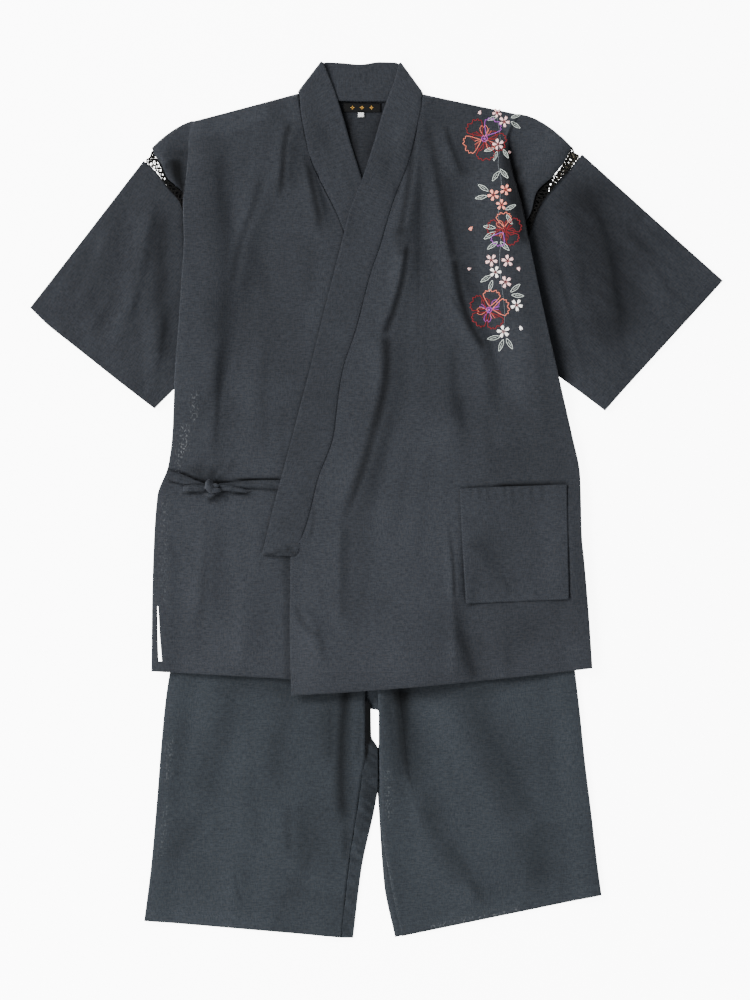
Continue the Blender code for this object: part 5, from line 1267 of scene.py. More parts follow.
def fine_sleeve(name, table, pile, folds, creases, shade, seed, height):
    """A sleeve as a flattened tube, open at the cuff and at the armhole."""
    fields = {f: np.array([getattr(row, f) for row in table], float) for f in SleeveRow._fields}
    stops = distances(fields["cuff_x"], fields["cuff_y"])
    stops = stops / stops[-1]
    inset = BEND / UNIT / SLEEVE_ROUND
    turn = np.linspace(0, np.pi, 7)[1:-1]
    front_at = np.linspace(inset, 1 - inset, SLEEVE_FRONT_STEPS)
    back_at = np.linspace(1 - inset, inset, SLEEVE_BACK_STEPS)
    low_turn = 1 - inset + inset * np.sin(turn)
    high_turn = inset - inset * np.sin(turn)
    at = np.concatenate([front_at, low_turn, back_at, high_turn])
    up = np.concatenate([np.ones(SLEEVE_FRONT_STEPS), (1 + np.cos(turn)) / 2,
                         np.zeros(SLEEVE_BACK_STEPS), (1 - np.cos(turn)) / 2])
    side = {f: spline(stops, fields[f], at) for f in fields}
    arm_x = side["front_x"] * up + side["back_x"] * (1 - up)
    arm_y = side["front_y"] * up + side["back_y"] * (1 - up)
    s = np.linspace(0, 1, SLEEVE_ROWS)[:, None]
    x = along_x(arm_x * (1 - s) + side["cuff_x"] * s)
    y = along_y(arm_y * (1 - s) + side["cuff_y"] * s)
    back_z = pile.rest(SLEEVE_REACH, SLEEVE_REACH, SOFT_STRIP)(x, y) + SHELL / 2
    above = Pile()
    above.top = pile.top.copy()
    under = up == 0
    above.cover(x[:, under], y[:, under], back_z[:, under] + SHELL / 2)
    front_z = above.rest(SLEEVE_REACH, SLEEVE_REACH, SOFT_STRIP)(x, y) + SHELL / 2
    lift, dark = crease_field(creases, x, y)
    length = run_lengths(x, y, x * 0, 0)
    hem = length[-1:] - length
    axis = unit(np.array([side["cuff_x"].mean() - arm_x.mean(), arm_y.mean() - side["cuff_y"].mean()]))
    u = x * axis[1] - y * axis[0]
    v = x * axis[0] + y * axis[1]
    ridges = crinkle(u, v, seed, height) + height
    front_z = np.maximum(front_z, back_z + 2 * BEND) + fold_heights(folds, x, y)
    front_z = front_z + lift + ridges + hem_rise(hem)
    z = back_z * (1 - up) + front_z * up
    # Painted shade in the hollows between the crepe ridges.
    hollow = 0.16 * smooth_step(0.5 - 0.5 * (ridges - height) / height)
    shading = (dark + patch_field(shade, x, y) + hollow) * up
    return shell(name, x, y, z, pile, ring=True, tone=(shading, x * 0), grain=(v, u),
                 trim=(hem, np.full_like(x, FAR), u))


def band_rows(table, seam, pile, lower=None):
    """Rows of points across the band.

    lower is the pile without the front that the band is sewn to, which it lies beside, except up at the
    neck.
    """
    rows = read_rows(table, BAND_SPACING, seam)
    start = ("seam_x", "seam_y") if seam else ("inner_x", "inner_y")
    end = ("edge_x", "edge_y") if seam else ("outer_x", "outer_y")
    t = np.linspace(0.0, 1.0, BAND_COLUMNS)
    x = between(rows[start[0]], rows[end[0]], t)
    y = between(rows[start[1]], rows[end[1]], t)
    ground = pile
    if lower is not None:
        ground = Pile()
        ground.top = np.where(pile.ys[:, None] > along_y(BAND_OVER_FRONT), pile.top, lower)
    z = ground.rest(BAND_REST, BAND_REST, SOFT_BAND)(x, y) + BAND_SHELL / 2
    pile.cover(x, y, z + BAND_SHELL / 2)
    return x, y, z


def band_fold(row, low_z, high_z, inward):
    """Rows that carry the band over its fold at the shoulder."""
    t = np.linspace(0.0, 1.0, BAND_COLUMNS)
    x = along_x(row.inner_x * (1 - t) + row.outer_x * t)
    y = along_y(row.inner_y * (1 - t) + row.outer_y * t)
    rows = []
    for angle in np.linspace(0, np.pi, 9):
        rows.append((x + inward[0] * BAND_TURN_INSET * (1 - np.sin(angle)),
                     y + inward[1] * BAND_TURN_INSET * (1 - np.sin(angle)),
                     low_z + (high_z - low_z) * (1 - np.cos(angle)) / 2))
    return tuple(np.array([row[k] for row in rows]) for k in range(3))


def fine_band(parts, pile):
    """The collar band as one shell from end to end, round the neck."""
    x, y, z = (np.vstack([part[k] for part in parts]) for k in range(3))
    lift, dark = crease_field(CREASES_BAND, x, y)
    along = run_lengths(x, y, x * 0, 0).mean(axis=1, keepdims=True) + x * 0
    across = run_lengths(x, y, x * 0, 1)
    wall = SEAM_SHELL + (BAND_SHELL - SEAM_SHELL) * smooth_step(across / 0.0045)
    z = z + lift + crinkle(along, across, 77, 0.0002) + 0.0002 - (BAND_SHELL - wall) / 2
    z = z - 0.0003 * (1 - smooth_step((across[:, -1:] - across) / 0.0025))
    under, over = len(parts[0][0]), len(parts[-1][0])
    pile.seams["band_right"] = (y[:under, 0], (z + wall / 2)[:under, 0])
    pile.seams["band_left"] = (y[-over:, 0], (z + wall / 2)[-over:, 0])
    seam = 0.12 * np.exp(-(across / 0.0016)**2)
    return shell("collar_band_cloth", x, y, z, pile, wall, tone=(dark + seam + 0.07, x * 0),
                 grain=(across, along), trim=(across * 0 + FAR, across + EDGE_STITCH - 0.0014, along))


def rim(rows, columns, ring):
    """The edges round a grid, in the direction in which its faces use them."""
    last = (rows - 1) * columns
    if ring:
        for j in range(columns):
            k = (j + 1) % columns
            yield j, k
            yield last + k, last + j
        return
    for j in range(columns - 1):
        yield j, j + 1
        yield last + j + 1, last + j
    for i in range(rows - 1):
        yield (i + 1) * columns, i * columns
        yield i * columns + columns - 1, (i + 1) * columns + columns - 1


def flat_grid(table, spacing, columns):
    """Points between the left and right edges of a table's rows."""
    rows = read_rows(table, spacing)
    t = np.linspace(0, 1, columns + 1)
    return between(rows["left_x"], rows["right_x"], t), between(rows["left_y"], rows["right_y"], t)


def wrapped_back(pile):
    """The right leg's back panel, which wraps round the inner edge up to the inseam."""
    rows = read_rows(SHORTS_BACK_RIGHT, FINE)
    bend = BEND * 1.2
    edge_x = rows["right_x"] - bend
    t = np.linspace(0, 0.985, 36)
    flat_x = between(rows["left_x"], edge_x, t)
    flat_y = between(rows["left_y"], rows["right_y"], t)
    down, deep = np.array(INSEAM_WRAP).T
    wrap = np.interp(CENTRE_Y - rows["right_y"] / UNIT, down, deep)
    angle = np.radians(np.linspace(-90, 90, 8))
    turn_x = edge_x[:, None] + bend * np.cos(angle)
    turn_z = np.repeat(CLOTH / 2 + bend * (1 + np.sin(angle))[None], len(turn_x), axis=0)
    over_x = edge_x[:, None] - (wrap[:, None] + 0.002) * np.linspace(0.08, 1, 13)
    over_y = np.repeat(rows["right_y"][:, None], over_x.shape[1], axis=1)
    puckers = 0.0004 * (1 + lattice_noise(over_x / 0.010, over_y / 0.0046 + over_x / 0.006, 19))
    inside = smooth_step((edge_x[:, None] - over_x) / 0.004) * smooth_step(wrap[:, None] / 0.010)
    over_z = CLOTH / 2 + 2 * bend + puckers * inside
    x = np.hstack([flat_x, turn_x, over_x])
    y = np.hstack([flat_y, np.repeat(rows["right_y"][:, None], turn_x.shape[1], axis=1), over_y])
    z = np.hstack([np.full(flat_x.shape, CLOTH / 2), turn_z, over_z])
    pile.cover(x, y, z + SHELL / 2)
    wrapped = np.arange(x.shape[1]) >= flat_x.shape[1] + turn_x.shape[1]
    pile.seams["strip"] = (y[:, -8], z[:, -8] + SHELL / 2)
    hem = run_lengths(x[::-1], y[::-1], z[::-1], 0)[::-1]
    # Painted shade in the crotch gap and in the hollows of the wrapped strip's puckers.
    dark = patch_field(SHADE_CROTCH, x, y)
    hollows = lattice_noise(x / 0.010, y / 0.0046 + x / 0.006, 19)
    dark = dark + 0.34 * wrapped * smooth_step(0.5 + 0.8 * hollows)
    return shell("shorts_back_right_cloth", x, y, z, None, tone=(dark, x * 0), trim=(hem, x * 0 + FAR, x * 0))


def mixed_object(name, vertices, faces):
    """A mesh with faces of any kind."""
    mesh = bpy.data.meshes.new(name)
    mesh.from_pydata([tuple(v) for v in vertices], [], [tuple(int(i) for i in face) for face in faces])
    return in_scene(name, mesh)


def tube(points, radius, sides=6, squash=1.0):
    """The vertices and faces of a closed round cord along points."""
    points = np.asarray(points, float)
    ahead = unit(np.gradient(points, axis=0))
    side = unit(np.cross(ahead, np.array([0.0, 0.0, 1.0])))
    up = np.cross(side, ahead)
    angle = np.linspace(0, 2 * np.pi, sides, endpoint=False)
    radius = np.broadcast_to(radius, (len(points),))[:, None, None]
    ring = side[:, None] * np.cos(angle)[None, :, None] + up[:, None] * np.sin(angle)[None, :, None] * squash
    vertices = (points[:, None] + ring * radius).reshape(-1, 3)
    faces = []
    for i in range(len(points) - 1):
        for j in range(sides):
            k = (j + 1) % sides
            faces.append((i * sides + j, i * sides + k, (i + 1) * sides + k, (i + 1) * sides + j))
    last = (len(points) - 1) * sides
    faces.append(tuple(range(sides - 1, -1, -1)))
    faces.append(tuple(last + j for j in range(sides)))
    return vertices, faces


def join(parts):
    """Several sets of vertices and faces as one."""
    vertices = []
    faces = []
    total = 0
    for points, sides in parts:
        vertices.append(points)
        faces.extend(tuple(i + total for i in face) for face in sides)
        total += len(points)
    return np.vstack(vertices), faces


def lace_cords(name, table, pile, seed, step, radius, squash=1.0):
    """Crossing cords between two edge cords, laid on the pile.

    step is the distance between crossings, and squash flattens the cords that cross.
    """
    rng = np.random.default_rng(seed)
    points = np.array(table, float)
    middle = (points[:, 0:2] + points[:, 2:4]) / 2
    stops = distances(*middle.T)
    length = stops[-1] * UNIT
    rest = pile.rest(0.004, 0.004, SOFT_SMALL)

    def path(at, across):
        """Places at a distance down the strip and a share of its width."""
        at = np.clip(at, 0, stops[-1])
        inner_x, inner_y, outer_x, outer_y = (spline(stops, column, at) for column in points.T)
        x = along_x(inner_x + (outer_x - inner_x) * across)
        y = along_y(inner_y + (outer_y - inner_y) * across)
        return x, y

    parts = []
    at = np.linspace(0, stops[-1], int(length / LACE_SPACING))
    for across in (0.03, 0.97):
        wander = 0.008 * lattice_noise(at / 9, at * 0 + across * 50, seed)
        x, y = path(at, across + wander)
        parts.append(tube(np.stack([x, y, rest(x, y) + 0.0008], axis=1), EDGE_CORD))
    crossings = max(4, int(round(length / step)))
    for start in (0, 1):
        phase = at / stops[-1] * crossings + start
        wave = -0.08 + 1.08 * np.abs(np.mod(phase, 2) - 1)
        slack = 1 + 0.03 * lattice_noise(at / 6, at * 0 + 7 * start, seed + 5)
        x, y = path(at + 0.7 * lattice_noise(at / 7, at * 0 + 3 * start, seed + 9), wave * slack)
        lift = 0.0009 + 0.0006 * np.cos(np.pi * (phase - start * 0.5))
        thick = radius * (1 + 0.25 * lattice_noise(at / 4, at * 0 + 5 * start, seed + 13))
        parts.append(tube(np.stack([x, y, rest(x, y) + lift], axis=1), thick, 6, squash))
    for _ in range(3):
        centre = rng.uniform(0.2, 0.8) * stops[-1]
        spread = np.linspace(-4, 4, 9)
        x, y = path(centre + spread, 0.5 + spread / 8 * rng.uniform(0.6, 1.0) * rng.choice([-1, 1]))
        parts.append(tube(np.stack([x, y, rest(x, y) + 0.0016], axis=1), radius * 0.7, 5))
    vertices, faces = join(parts)
    pile.stamp(vertices[:, 0], vertices[:, 1], vertices[:, 2])
    piece = mixed_object(name, vertices, faces)
    save(piece, "grain", vertices)
    return piece


def tie(name, table, pile, seed, ends=(1.0, 1.0), soften=0.004, band_end=0.2):
    """A sewn tie: a narrow tube of cloth pressed flat, wrinkled along its length."""
    x, y = flat_grid(table, TIE_SPACING, 12)
    base = pile.lie(x, y, soften)
    middle_x = x.mean(axis=1)
    middle_y = y.mean(axis=1)
    rows = x.shape[0]
    share = np.linspace(0, 1, rows)
    along = distances(middle_x, middle_y)
    angle = np.linspace(0, 2 * np.pi, 28, endpoint=False)
    across = (1 - np.cos(angle)) / 2
    full = np.sin(angle)
    columns = across * (x.shape[1] - 1)
    low = np.clip(np.floor(columns).astype(int), 0, x.shape[1] - 2)
    part = columns - low
    grid_x = x[:, low] * (1 - part) + x[:, low + 1] * part
    grid_y = y[:, low] * (1 - part) + y[:, low + 1] * part
    grid_base = base[:, low] * (1 - part) + base[:, low + 1] * part
    tall = TIE_HEIGHT * (ends[0] + (1 - ends[0]) * smooth_step(share / band_end))
    tall = tall * (ends[1] + (1 - ends[1]) * smooth_step((1 - share) / 0.2))
    bulge = np.sign(full) * np.abs(full)**0.7
    round_it = across[None] + 0 * along[:, None]
    down_it = along[:, None] + 0 * across[None]
    wrinkle = lattice_noise(round_it * 5, down_it / 0.013 + round_it * 2, seed)
    cross = lattice_noise(round_it * 2, down_it / 0.0045, seed + 4)
    z = grid_base + 0.0006 + tall[:, None] / 2 * (1 + bulge)
    puckers = 0.0005 * (wrinkle + 1) + 0.0003 * (cross + 1)
    z = z + np.where(full > 0, 1, 0) * np.abs(full) * puckers * tall[:, None] / TIE_HEIGHT
    # Painted shade along the tie's sides and in the hollows of its wrinkles.
    sides = np.exp(-(np.minimum(round_it, 1 - round_it) / 0.10)**2)
    hollow = 0.30 * (1 - smooth_step(0.5 + 0.5 * wrinkle))
    piece = shell(name, grid_x, grid_y, z, None, TAPE, ring=True, tone=(0.30 * sides + hollow, 0 * sides),
                  grain=(round_it * 0.007, down_it))
    pile.cover(x, y, base + 0.0008 + tall[:, None])
    return piece


def knot_wraps(pile):
    """The two ties' tightened knot: a vertical wrap over a horizontal one, with puffed corners."""
    cx, cy = KNOT_CENTRE
    base = float(pile.rest(0.006, 0.006, 0.0)(along_x([cx]), along_y([cy]))[0])
    wraps = [
        ([(cx - 2.6, cy - 6.4, 1.0), (cx - 3.6, cy - 3.4, 4.8), (cx - 3.0, cy + 0.4, 5.8),
          (cx - 0.6, cy + 3.6, 4.8), (cx + 2.0, cy + 5.4, 1.4)], 3.2, 0.8),
        ([(cx - 7.0, cy + 1.0, 1.0), (cx - 4.6, cy + 0.4, 2.8), (cx - 1.0, cy + 0.8, 3.4)], 2.4, 0.8),
        ([(cx - 1.4, cy + 4.2, 2.4), (cx + 1.8, cy + 3.6, 4.6), (cx + 5.6, cy + 3.0, 4.2),
          (cx + 9.0, cy + 3.4, 1.4)], 2.6, 0.8),
        ([(cx + 1.6, cy - 2.2, 1.6), (cx + 4.2, cy - 1.6, 3.2), (cx + 7.2, cy - 0.2, 1.8)], 2.0, 0.8),
        ([(cx - 8.4, cy + 7.2, 0.8), (cx - 4.6, cy + 8.2, 2.2), (cx - 0.6, cy + 7.8, 2.6),
          (cx + 3.6, cy + 6.0, 1.4)], 2.8, 0.6),
    ]
    parts = []
    for spots, width, squash in wraps:
        spots = np.array(spots, float)
        stops = np.linspace(0, 1, len(spots))
        at = np.linspace(0, 1, 17)
        x = along_x(spline(stops, spots[:, 0], at))
        y = along_y(spline(stops, spots[:, 1], at))
        z = base + spline(stops, spots[:, 2], at) * 0.001
        swell = width * UNIT * (0.55 + 0.45 * np.sin(np.pi * at))
        parts.append(tube(np.stack([x, y, z], axis=1), swell, 14, squash))
    vertices, faces = join(parts)
    vertices[:, 2] = np.maximum(vertices[:, 2], base)
    angle = np.arctan2(vertices[:, 1] - along_y([cy])[0], vertices[:, 0] - along_x([cx])[0])
    vertices[:, 2] += 0.0004 * np.maximum(lattice_noise(angle * 3, vertices[:, 0] / 0.0025, 17), 0)
    piece = mixed_object("tie_knot_cloth", vertices, faces)
    save(piece, "grain", vertices)
    # Painted shade, deeper the lower the knot's cloth lies.
    depth = 0.75 * (1 - smooth_step((vertices[:, 2] - base) / 0.0050))
    save(piece, "tone", np.stack([depth, depth * 0, depth * 0], axis=1))
    save(piece, "trim", np.full_like(vertices, FAR))
    return piece


# Materials


def plug(tree, socket, value):
    """Links a socket to a node's output, or sets its value."""
    if isinstance(value, bpy.types.NodeSocket):
        tree.links.new(value, socket)
    else:
        socket.default_value = value


def sums(tree, operation, first, second=0.0, clamp=False):
    """A calculation with one or two values."""
    node = tree.nodes.new("ShaderNodeMath")
    node.operation = operation
    node.use_clamp = clamp
    plug(tree, node.inputs[0], first)
    plug(tree, node.inputs[1], second)
    return node.outputs[0]


def ramp(tree, value, low, high, out_low=0.0, out_high=1.0):
    """Smooth step of a value between two limits, onto two others."""
    node = tree.nodes.new("ShaderNodeMapRange")
    node.interpolation_type = "SMOOTHSTEP"
    plug(tree, node.inputs["Value"], value)
    node.inputs["From Min"].default_value = low
    node.inputs["From Max"].default_value = high
    node.inputs["To Min"].default_value = out_low
    node.inputs["To Max"].default_value = out_high
    return node.outputs["Result"]


def blend(tree, share, first, second):
    """A mix of two colours."""
    node = tree.nodes.new("ShaderNodeMix")
    node.data_type = "RGBA"
    plug(tree, node.inputs[0], share)
    plug(tree, node.inputs[6], first)
    plug(tree, node.inputs[7], second)
    return node.outputs[2]


def scaled(tree, colour, factor):
    """A colour made darker or lighter."""
    node = tree.nodes.new("ShaderNodeVectorMath")
    node.operation = "SCALE"
    plug(tree, node.inputs[0], colour)
    plug(tree, node.inputs[3], factor)
    return node.outputs[0]


def stretched(tree, vector, across, along, deep=1.0):
    """The vector in units of across and along, both in metres."""
    node = tree.nodes.new("ShaderNodeVectorMath")
    node.operation = "MULTIPLY"
    plug(tree, node.inputs[0], vector)
    node.inputs[1].default_value = (1 / across, 1 / along, 1 / deep)
    return node.outputs[0]


def noise(tree, vector, detail=2.0, rough=0.6, warp=0.0):
    """Cloudy noise with features one unit wide."""
    node = tree.nodes.new("ShaderNodeTexNoise")
    plug(tree, node.inputs["Vector"], vector)
    node.inputs["Scale"].default_value = 1.0
    node.inputs["Detail"].default_value = detail
    node.inputs["Roughness"].default_value = rough
    node.inputs["Distortion"].default_value = warp
    return node.outputs["Fac"]


def attribute(tree, name):
    """The values stored in a mesh under a name."""
    node = tree.nodes.new("ShaderNodeAttribute")
    node.attribute_name = name
    return node.outputs["Vector"]


def split(tree, vector):
    """The three parts of a vector."""
    node = tree.nodes.new("ShaderNodeSeparateXYZ")
    plug(tree, node.inputs[0], vector)
    return node.outputs[0], node.outputs[1], node.outputs[2]


def bump(tree, height, distance, strength, normal=None):
    """A relief too fine for the mesh."""
    node = tree.nodes.new("ShaderNodeBump")
    node.inputs["Strength"].default_value = strength
    node.inputs["Distance"].default_value = distance
    plug(tree, node.inputs["Height"], height)
    if normal is not None:
        plug(tree, node.inputs["Normal"], normal)
    return node.outputs[0]


def blank(name, roughness, sheen, specular):
    """A plain cloth-like material to build on."""
    result = bpy.data.materials.new(name)
    result.use_nodes = True
    tree = result.node_tree
    shader = next(node for node in tree.nodes if node.type == "BSDF_PRINCIPLED")
    shader.inputs["Roughness"].default_value = roughness
    shader.inputs["Specular IOR Level"].default_value = specular
    shader.inputs["Sheen Weight"].default_value = sheen
    shader.inputs["Sheen Roughness"].default_value = 0.5
    shader.inputs["Sheen Tint"].default_value = (0.72, 0.80, 0.92, 1.0)
    return result, tree, shader


def stitched_row(tree, distance, place):
    """A narrow line where a distance has the value of its place."""
    away = sums(tree, "ABSOLUTE", sums(tree, "SUBTRACT", distance, place))
    return ramp(tree, away, 0.0003, 0.0011, 1.0, 0.0)


def crepe(name, dark, light):
    """Crinkled, loosely woven cotton: flecked threads, crepe ridges, cloudy colour, sewn hems, and painted
    shade and floor glints stored on the mesh.
    """
    result, tree, shader = blank(name, 0.95, 0.04, 0.10)
    grain = attribute(tree, "grain")
    lengthwise = noise(tree, stretched(tree, grain, 0.0015, 0.0065), 0.0, 0.5, 0.2)
    crosswise = noise(tree, stretched(tree, grain, 0.0070, 0.0016), 0.0, 0.5, 0.2)
    ridges = noise(tree, stretched(tree, grain, 0.0220, 0.0034), 1.0, 0.5, 0.3)
    zones = ramp(tree, noise(tree, stretched(tree, grain, 0.045, 0.075), 2.0, 0.5), 0.35, 0.70, 0.35, 0.65)
    weave = sums(tree, "ADD", sums(tree, "MULTIPLY", lengthwise, zones),
                 sums(tree, "MULTIPLY", crosswise, sums(tree, "SUBTRACT", 1.0, zones)))
    flecks = noise(tree, stretched(tree, grain, 0.0012, 0.0012), 0.0, 0.5)
    clouds = noise(tree, stretched(tree, grain, 0.075, 0.10), 2.0, 0.5)
    mixed = sums(tree, "ADD", sums(tree, "MULTIPLY", weave, 0.62), sums(tree, "MULTIPLY", flecks, 0.38))
    colour = blend(tree, ramp(tree, mixed, 0.15, 0.85), (*dark, 1.0), (*light, 1.0))
    colour = scaled(tree, colour, ramp(tree, ridges, 0.3, 0.7, 0.96, 1.04))
    warm = ramp(tree, noise(tree, stretched(tree, grain, 0.0034, 0.0026), 1.0), 0.45, 0.70)
    warm_tint = (light[0] * 1.15, light[1], light[2] * 0.86, 1.0)
    colour = blend(tree, sums(tree, "MULTIPLY", warm, 0.35), colour, warm_tint)
    colour = scaled(tree, colour, ramp(tree, clouds, 0.3, 0.7, 0.93, 1.07))
    tone_x, tone_y, _ = split(tree, attribute(tree, "tone"))
    hem, edge, _ = split(tree, attribute(tree, "trim"))
    grain_x, grain_y, _ = split(tree, grain)
    dash = sums(tree, "PINGPONG", sums(tree, "ADD", grain_x, grain_y), STITCH / 2)
    dash = ramp(tree, dash, STITCH * 0.10, STITCH * 0.20)
    line = sums(tree, "MAXIMUM", stitched_row(tree, hem, HEM_DEPTH - 0.001),
                stitched_row(tree, edge, EDGE_STITCH))
    colour = blend(tree, sums(tree, "MULTIPLY", line, 0.35), colour, (*[c * 0.45 for c in dark], 1.0))
    thread = sums(tree, "MULTIPLY", line, dash)
    colour = blend(tree, sums(tree, "MULTIPLY", thread, 0.5), colour, (*[c * 1.3 for c in light], 1.0))
    # Painted shade stored on the mesh darkens the colour.
    shade = sums(tree, "SUBTRACT", 1.0, sums(tree, "MULTIPLY", tone_x, 0.88))
    colour = scaled(tree, colour, sums(tree, "MAXIMUM", shade, 0.06))
    # Painted glints of the lit floor, where the mesh asks for them.
    glint = noise(tree, stretched(tree, grain, 0.0019, 0.0034), 1.0, 0.5)
    glint = sums(tree, "MULTIPLY", ramp(tree, glint, 0.54, 0.68), tone_y, clamp=True)
    colour = blend(tree, sums(tree, "MULTIPLY", glint, 0.45), colour, (0.22, 0.23, 0.23, 1.0))
    plug(tree, shader.inputs["Base Color"], colour)
    relief = sums(tree, "ADD", sums(tree, "MULTIPLY", weave, 0.7), sums(tree, "MULTIPLY", flecks, 0.3))
    normal = bump(tree, relief, 0.0006, 0.30)
    normal = bump(tree, ridges, 0.0010, 0.30, normal)
    stitches = sums(tree, "SUBTRACT", thread, sums(tree, "MULTIPLY", line, 0.6))
    normal = bump(tree, stitches, 0.0004, 0.5, normal)
    plug(tree, shader.inputs["Normal"], normal)
    plug(tree, shader.inputs["Roughness"], ramp(tree, mixed, 0.3, 0.7, 0.98, 0.90))
    return result


def thread_stuff(name, colour, other):
    """Twisted thread of the openwork."""
    result, tree, shader = blank(name, 0.85, 0.0, 0.06)
    twist = noise(tree, stretched(tree, attribute(tree, "grain"), 0.0006, 0.0006, 0.0006), 2.0)
    mixed = blend(tree, ramp(tree, twist, 0.4, 0.7), (*colour, 1.0), (*other, 1.0))
    plug(tree, shader.inputs["Base Color"], mixed)
    plug(tree, shader.inputs["Normal"], bump(tree, twist, 0.0003, 0.6))
    return result


def woven_tape(name, colour, other, pitch):
    """Fine satin of the neck label and the size tab."""
    result, tree, shader = blank(name, 0.75, 0.0, 0.08)
    lines = noise(tree, stretched(tree, attribute(tree, "grain"), pitch * 4, pitch), 1.0)
    mixed = blend(tree, ramp(tree, lines, 0.35, 0.65), (*colour, 1.0), (*other, 1.0))
    plug(tree, shader.inputs["Base Color"], mixed)
    plug(tree, shader.inputs["Normal"], bump(tree, lines, 0.0002, 0.4))
    return result


# The embroidered spray: blossoms, buds, leaves and loose petals along a thin stem. Places and sizes are in
# layout units, turns in degrees.
Bloom = namedtuple("Bloom", "x y size turn outer inner heart")
Spot = namedtuple("Spot", "x y size turn colour")

WINE = (0.15, 0.005, 0.008)
CORAL = (0.52, 0.13, 0.085)
PLUM = (0.21, 0.045, 0.27)
BLUSH = (0.80, 0.50, 0.48)
SALMON = (0.78, 0.27, 0.20)
CREAM = (0.84, 0.80, 0.76)
LEAF = (0.44, 0.48, 0.44)
STALK = (0.105, 0.115, 0.125)

BLOOMS = [
    Bloom(484.5, 139, 22.0, 14, (WINE, WINE, CORAL, WINE, PLUM), (CORAL, WINE, WINE, CORAL, WINE), PLUM),
    Bloom(504, 231, 17.5, 50, (WINE, PLUM, WINE, CORAL, WINE), (WINE, WINE, CORAL, WINE, WINE), WINE),
    Bloom(489, 310, 20.0, -8, (CORAL, WINE, WINE, WINE, CORAL), (WINE, PLUM, CORAL, WINE, PLUM), PLUM),
]
SMALL_BLOOMS = [
    Spot(504, 122, 5.8, 10, BLUSH), Spot(497, 113, 4.8, 25, BLUSH), Spot(498, 145, 6.0, 40, BLUSH),
    Spot(505, 191, 5.8, 5, SALMON), Spot(493, 196, 6.0, 30, SALMON), Spot(501, 206, 5.6, 55, SALMON),
    Spot(491, 261, 6.2, 15, BLUSH), Spot(507, 262, 6.2, 48, BLUSH), Spot(495, 273, 6.0, 0, CREAM),
    Spot(505, 283, 6.2, 33, BLUSH), Spot(516, 306, 6.2, 12, CREAM), Spot(503, 332, 6.4, 42, CREAM),
]
LOOSE_PETALS = [
    Spot(481, 110, 5.0, 115, BLUSH), Spot(508, 150, 4.4, 60, BLUSH), Spot(473, 226, 5.6, 130, SALMON),
    Spot(519, 273, 5.0, 250, BLUSH), Spot(519, 326, 5.2, 70, CREAM), Spot(472, 268, 4.6, 160, BLUSH),
]
LEAVES = [
    Spot(497, 117, 10, 160, LEAF), Spot(511, 118, 10, -20, LEAF), Spot(511, 122, 11, 35, LEAF),
    Spot(494, 149, 10, 165, LEAF), Spot(497, 152, 10, 110, LEAF), Spot(503, 150, 10, 60, LEAF),
    Spot(500, 170, 12, 50, LEAF), Spot(499, 172, 12, 125, LEAF),
    Spot(488, 192, 12, 215, LEAF), Spot(487, 197, 12, 172, LEAF),
    Spot(505, 211, 11, -25, LEAF), Spot(506, 216, 11, 60, LEAF),
    Spot(495, 229, 12, 190, LEAF), Spot(495, 233, 13, 150, LEAF),
    Spot(497, 243, 12, 145, LEAF), Spot(500, 243, 12, 45, LEAF),
    Spot(491, 276, 12, 150, LEAF), Spot(492, 281, 11, 105, LEAF),
    Spot(510, 293, 12, -40, LEAF), Spot(511, 296, 12, 5, LEAF),
    Spot(500, 337, 13, 170, LEAF), Spot(503, 340, 12, 110, LEAF), Spot(506, 339, 12, 60, LEAF),
]
STEM = ((497, 118), (500, 140), (498, 165), (501, 185), (498, 212), (500, 240), (499, 262), (501, 285),
        (504, 312), (503, 336))
GOLD = (0.42, 0.22, 0.035)
LOZENGE_PLACES = (352.5, 362, 371.5)
LOZENGE_Y = 107.8
LOZENGE = [(0.0, 0.55), (0.9, 0.0), (0.0, -0.55), (-0.9, 0.0)]
THREAD = 0.00058           # radius of the blossoms' outer lines
INNER_THREAD = 0.00044     # the same for their inner petals
RAY_THREAD = 0.00036       # the same for the rays in them
HEART_THREAD = 0.00055     # the same for the rings at their middles
LEAF_THREAD = 0.00042      # the same for the leaves
VEIN_THREAD = 0.00032      # the same for the leaves' veins
STEM_THREAD = 0.00028      # the same for the stem
STAMEN_THREAD = 0.00025    # the same for the marks on the small blossoms
FILL_HEIGHT = 0.00050      # how far a filled petal stands up


def turned(points, x, y, size, turn):
    """Points of a motif drawn pointing right, at its place in layout units."""
    points = np.asarray(points, float) * size
    angle = math.radians(turn)
    return np.stack([x + points[:, 0] * math.cos(angle) - points[:, 1] * math.sin(angle),
                     y + points[:, 0] * math.sin(angle) + points[:, 1] * math.cos(angle)], axis=1)


def smooth_path(points, count, closed=False):
    """A rounded path through points."""
    points = np.asarray(points, float)
    if closed:
        points = np.vstack([points, points[:1]])
    steps = np.hypot(*np.diff(points, axis=0).T)
    stops = np.concatenate([[0.0], np.cumsum(np.sqrt(steps) + 1e-6)])
    at = np.linspace(0, stops[-1], count)
    result = np.zeros((count, 2))
    total = len(points)
    for k in range(count):
        i = min(max(int(np.searchsorted(stops, at[k])) - 1, 0), total - 2)
        t = (at[k] - stops[i]) / (stops[i + 1] - stops[i])
        before = points[i - 1] if i > 0 else (points[-2] if closed else points[0])
        after = points[i + 2] if i + 2 < total else (points[1] if closed else points[-1])
        start = (points[i + 1] - before) / 2
        end = (after - points[i]) / 2
        result[k] = ((2 * t**3 - 3 * t**2 + 1) * points[i] + (t**3 - 2 * t**2 + t) * start
                     + (3 * t**2 - 2 * t**3) * points[i + 1] + (t**3 - t**2) * end)
    return result


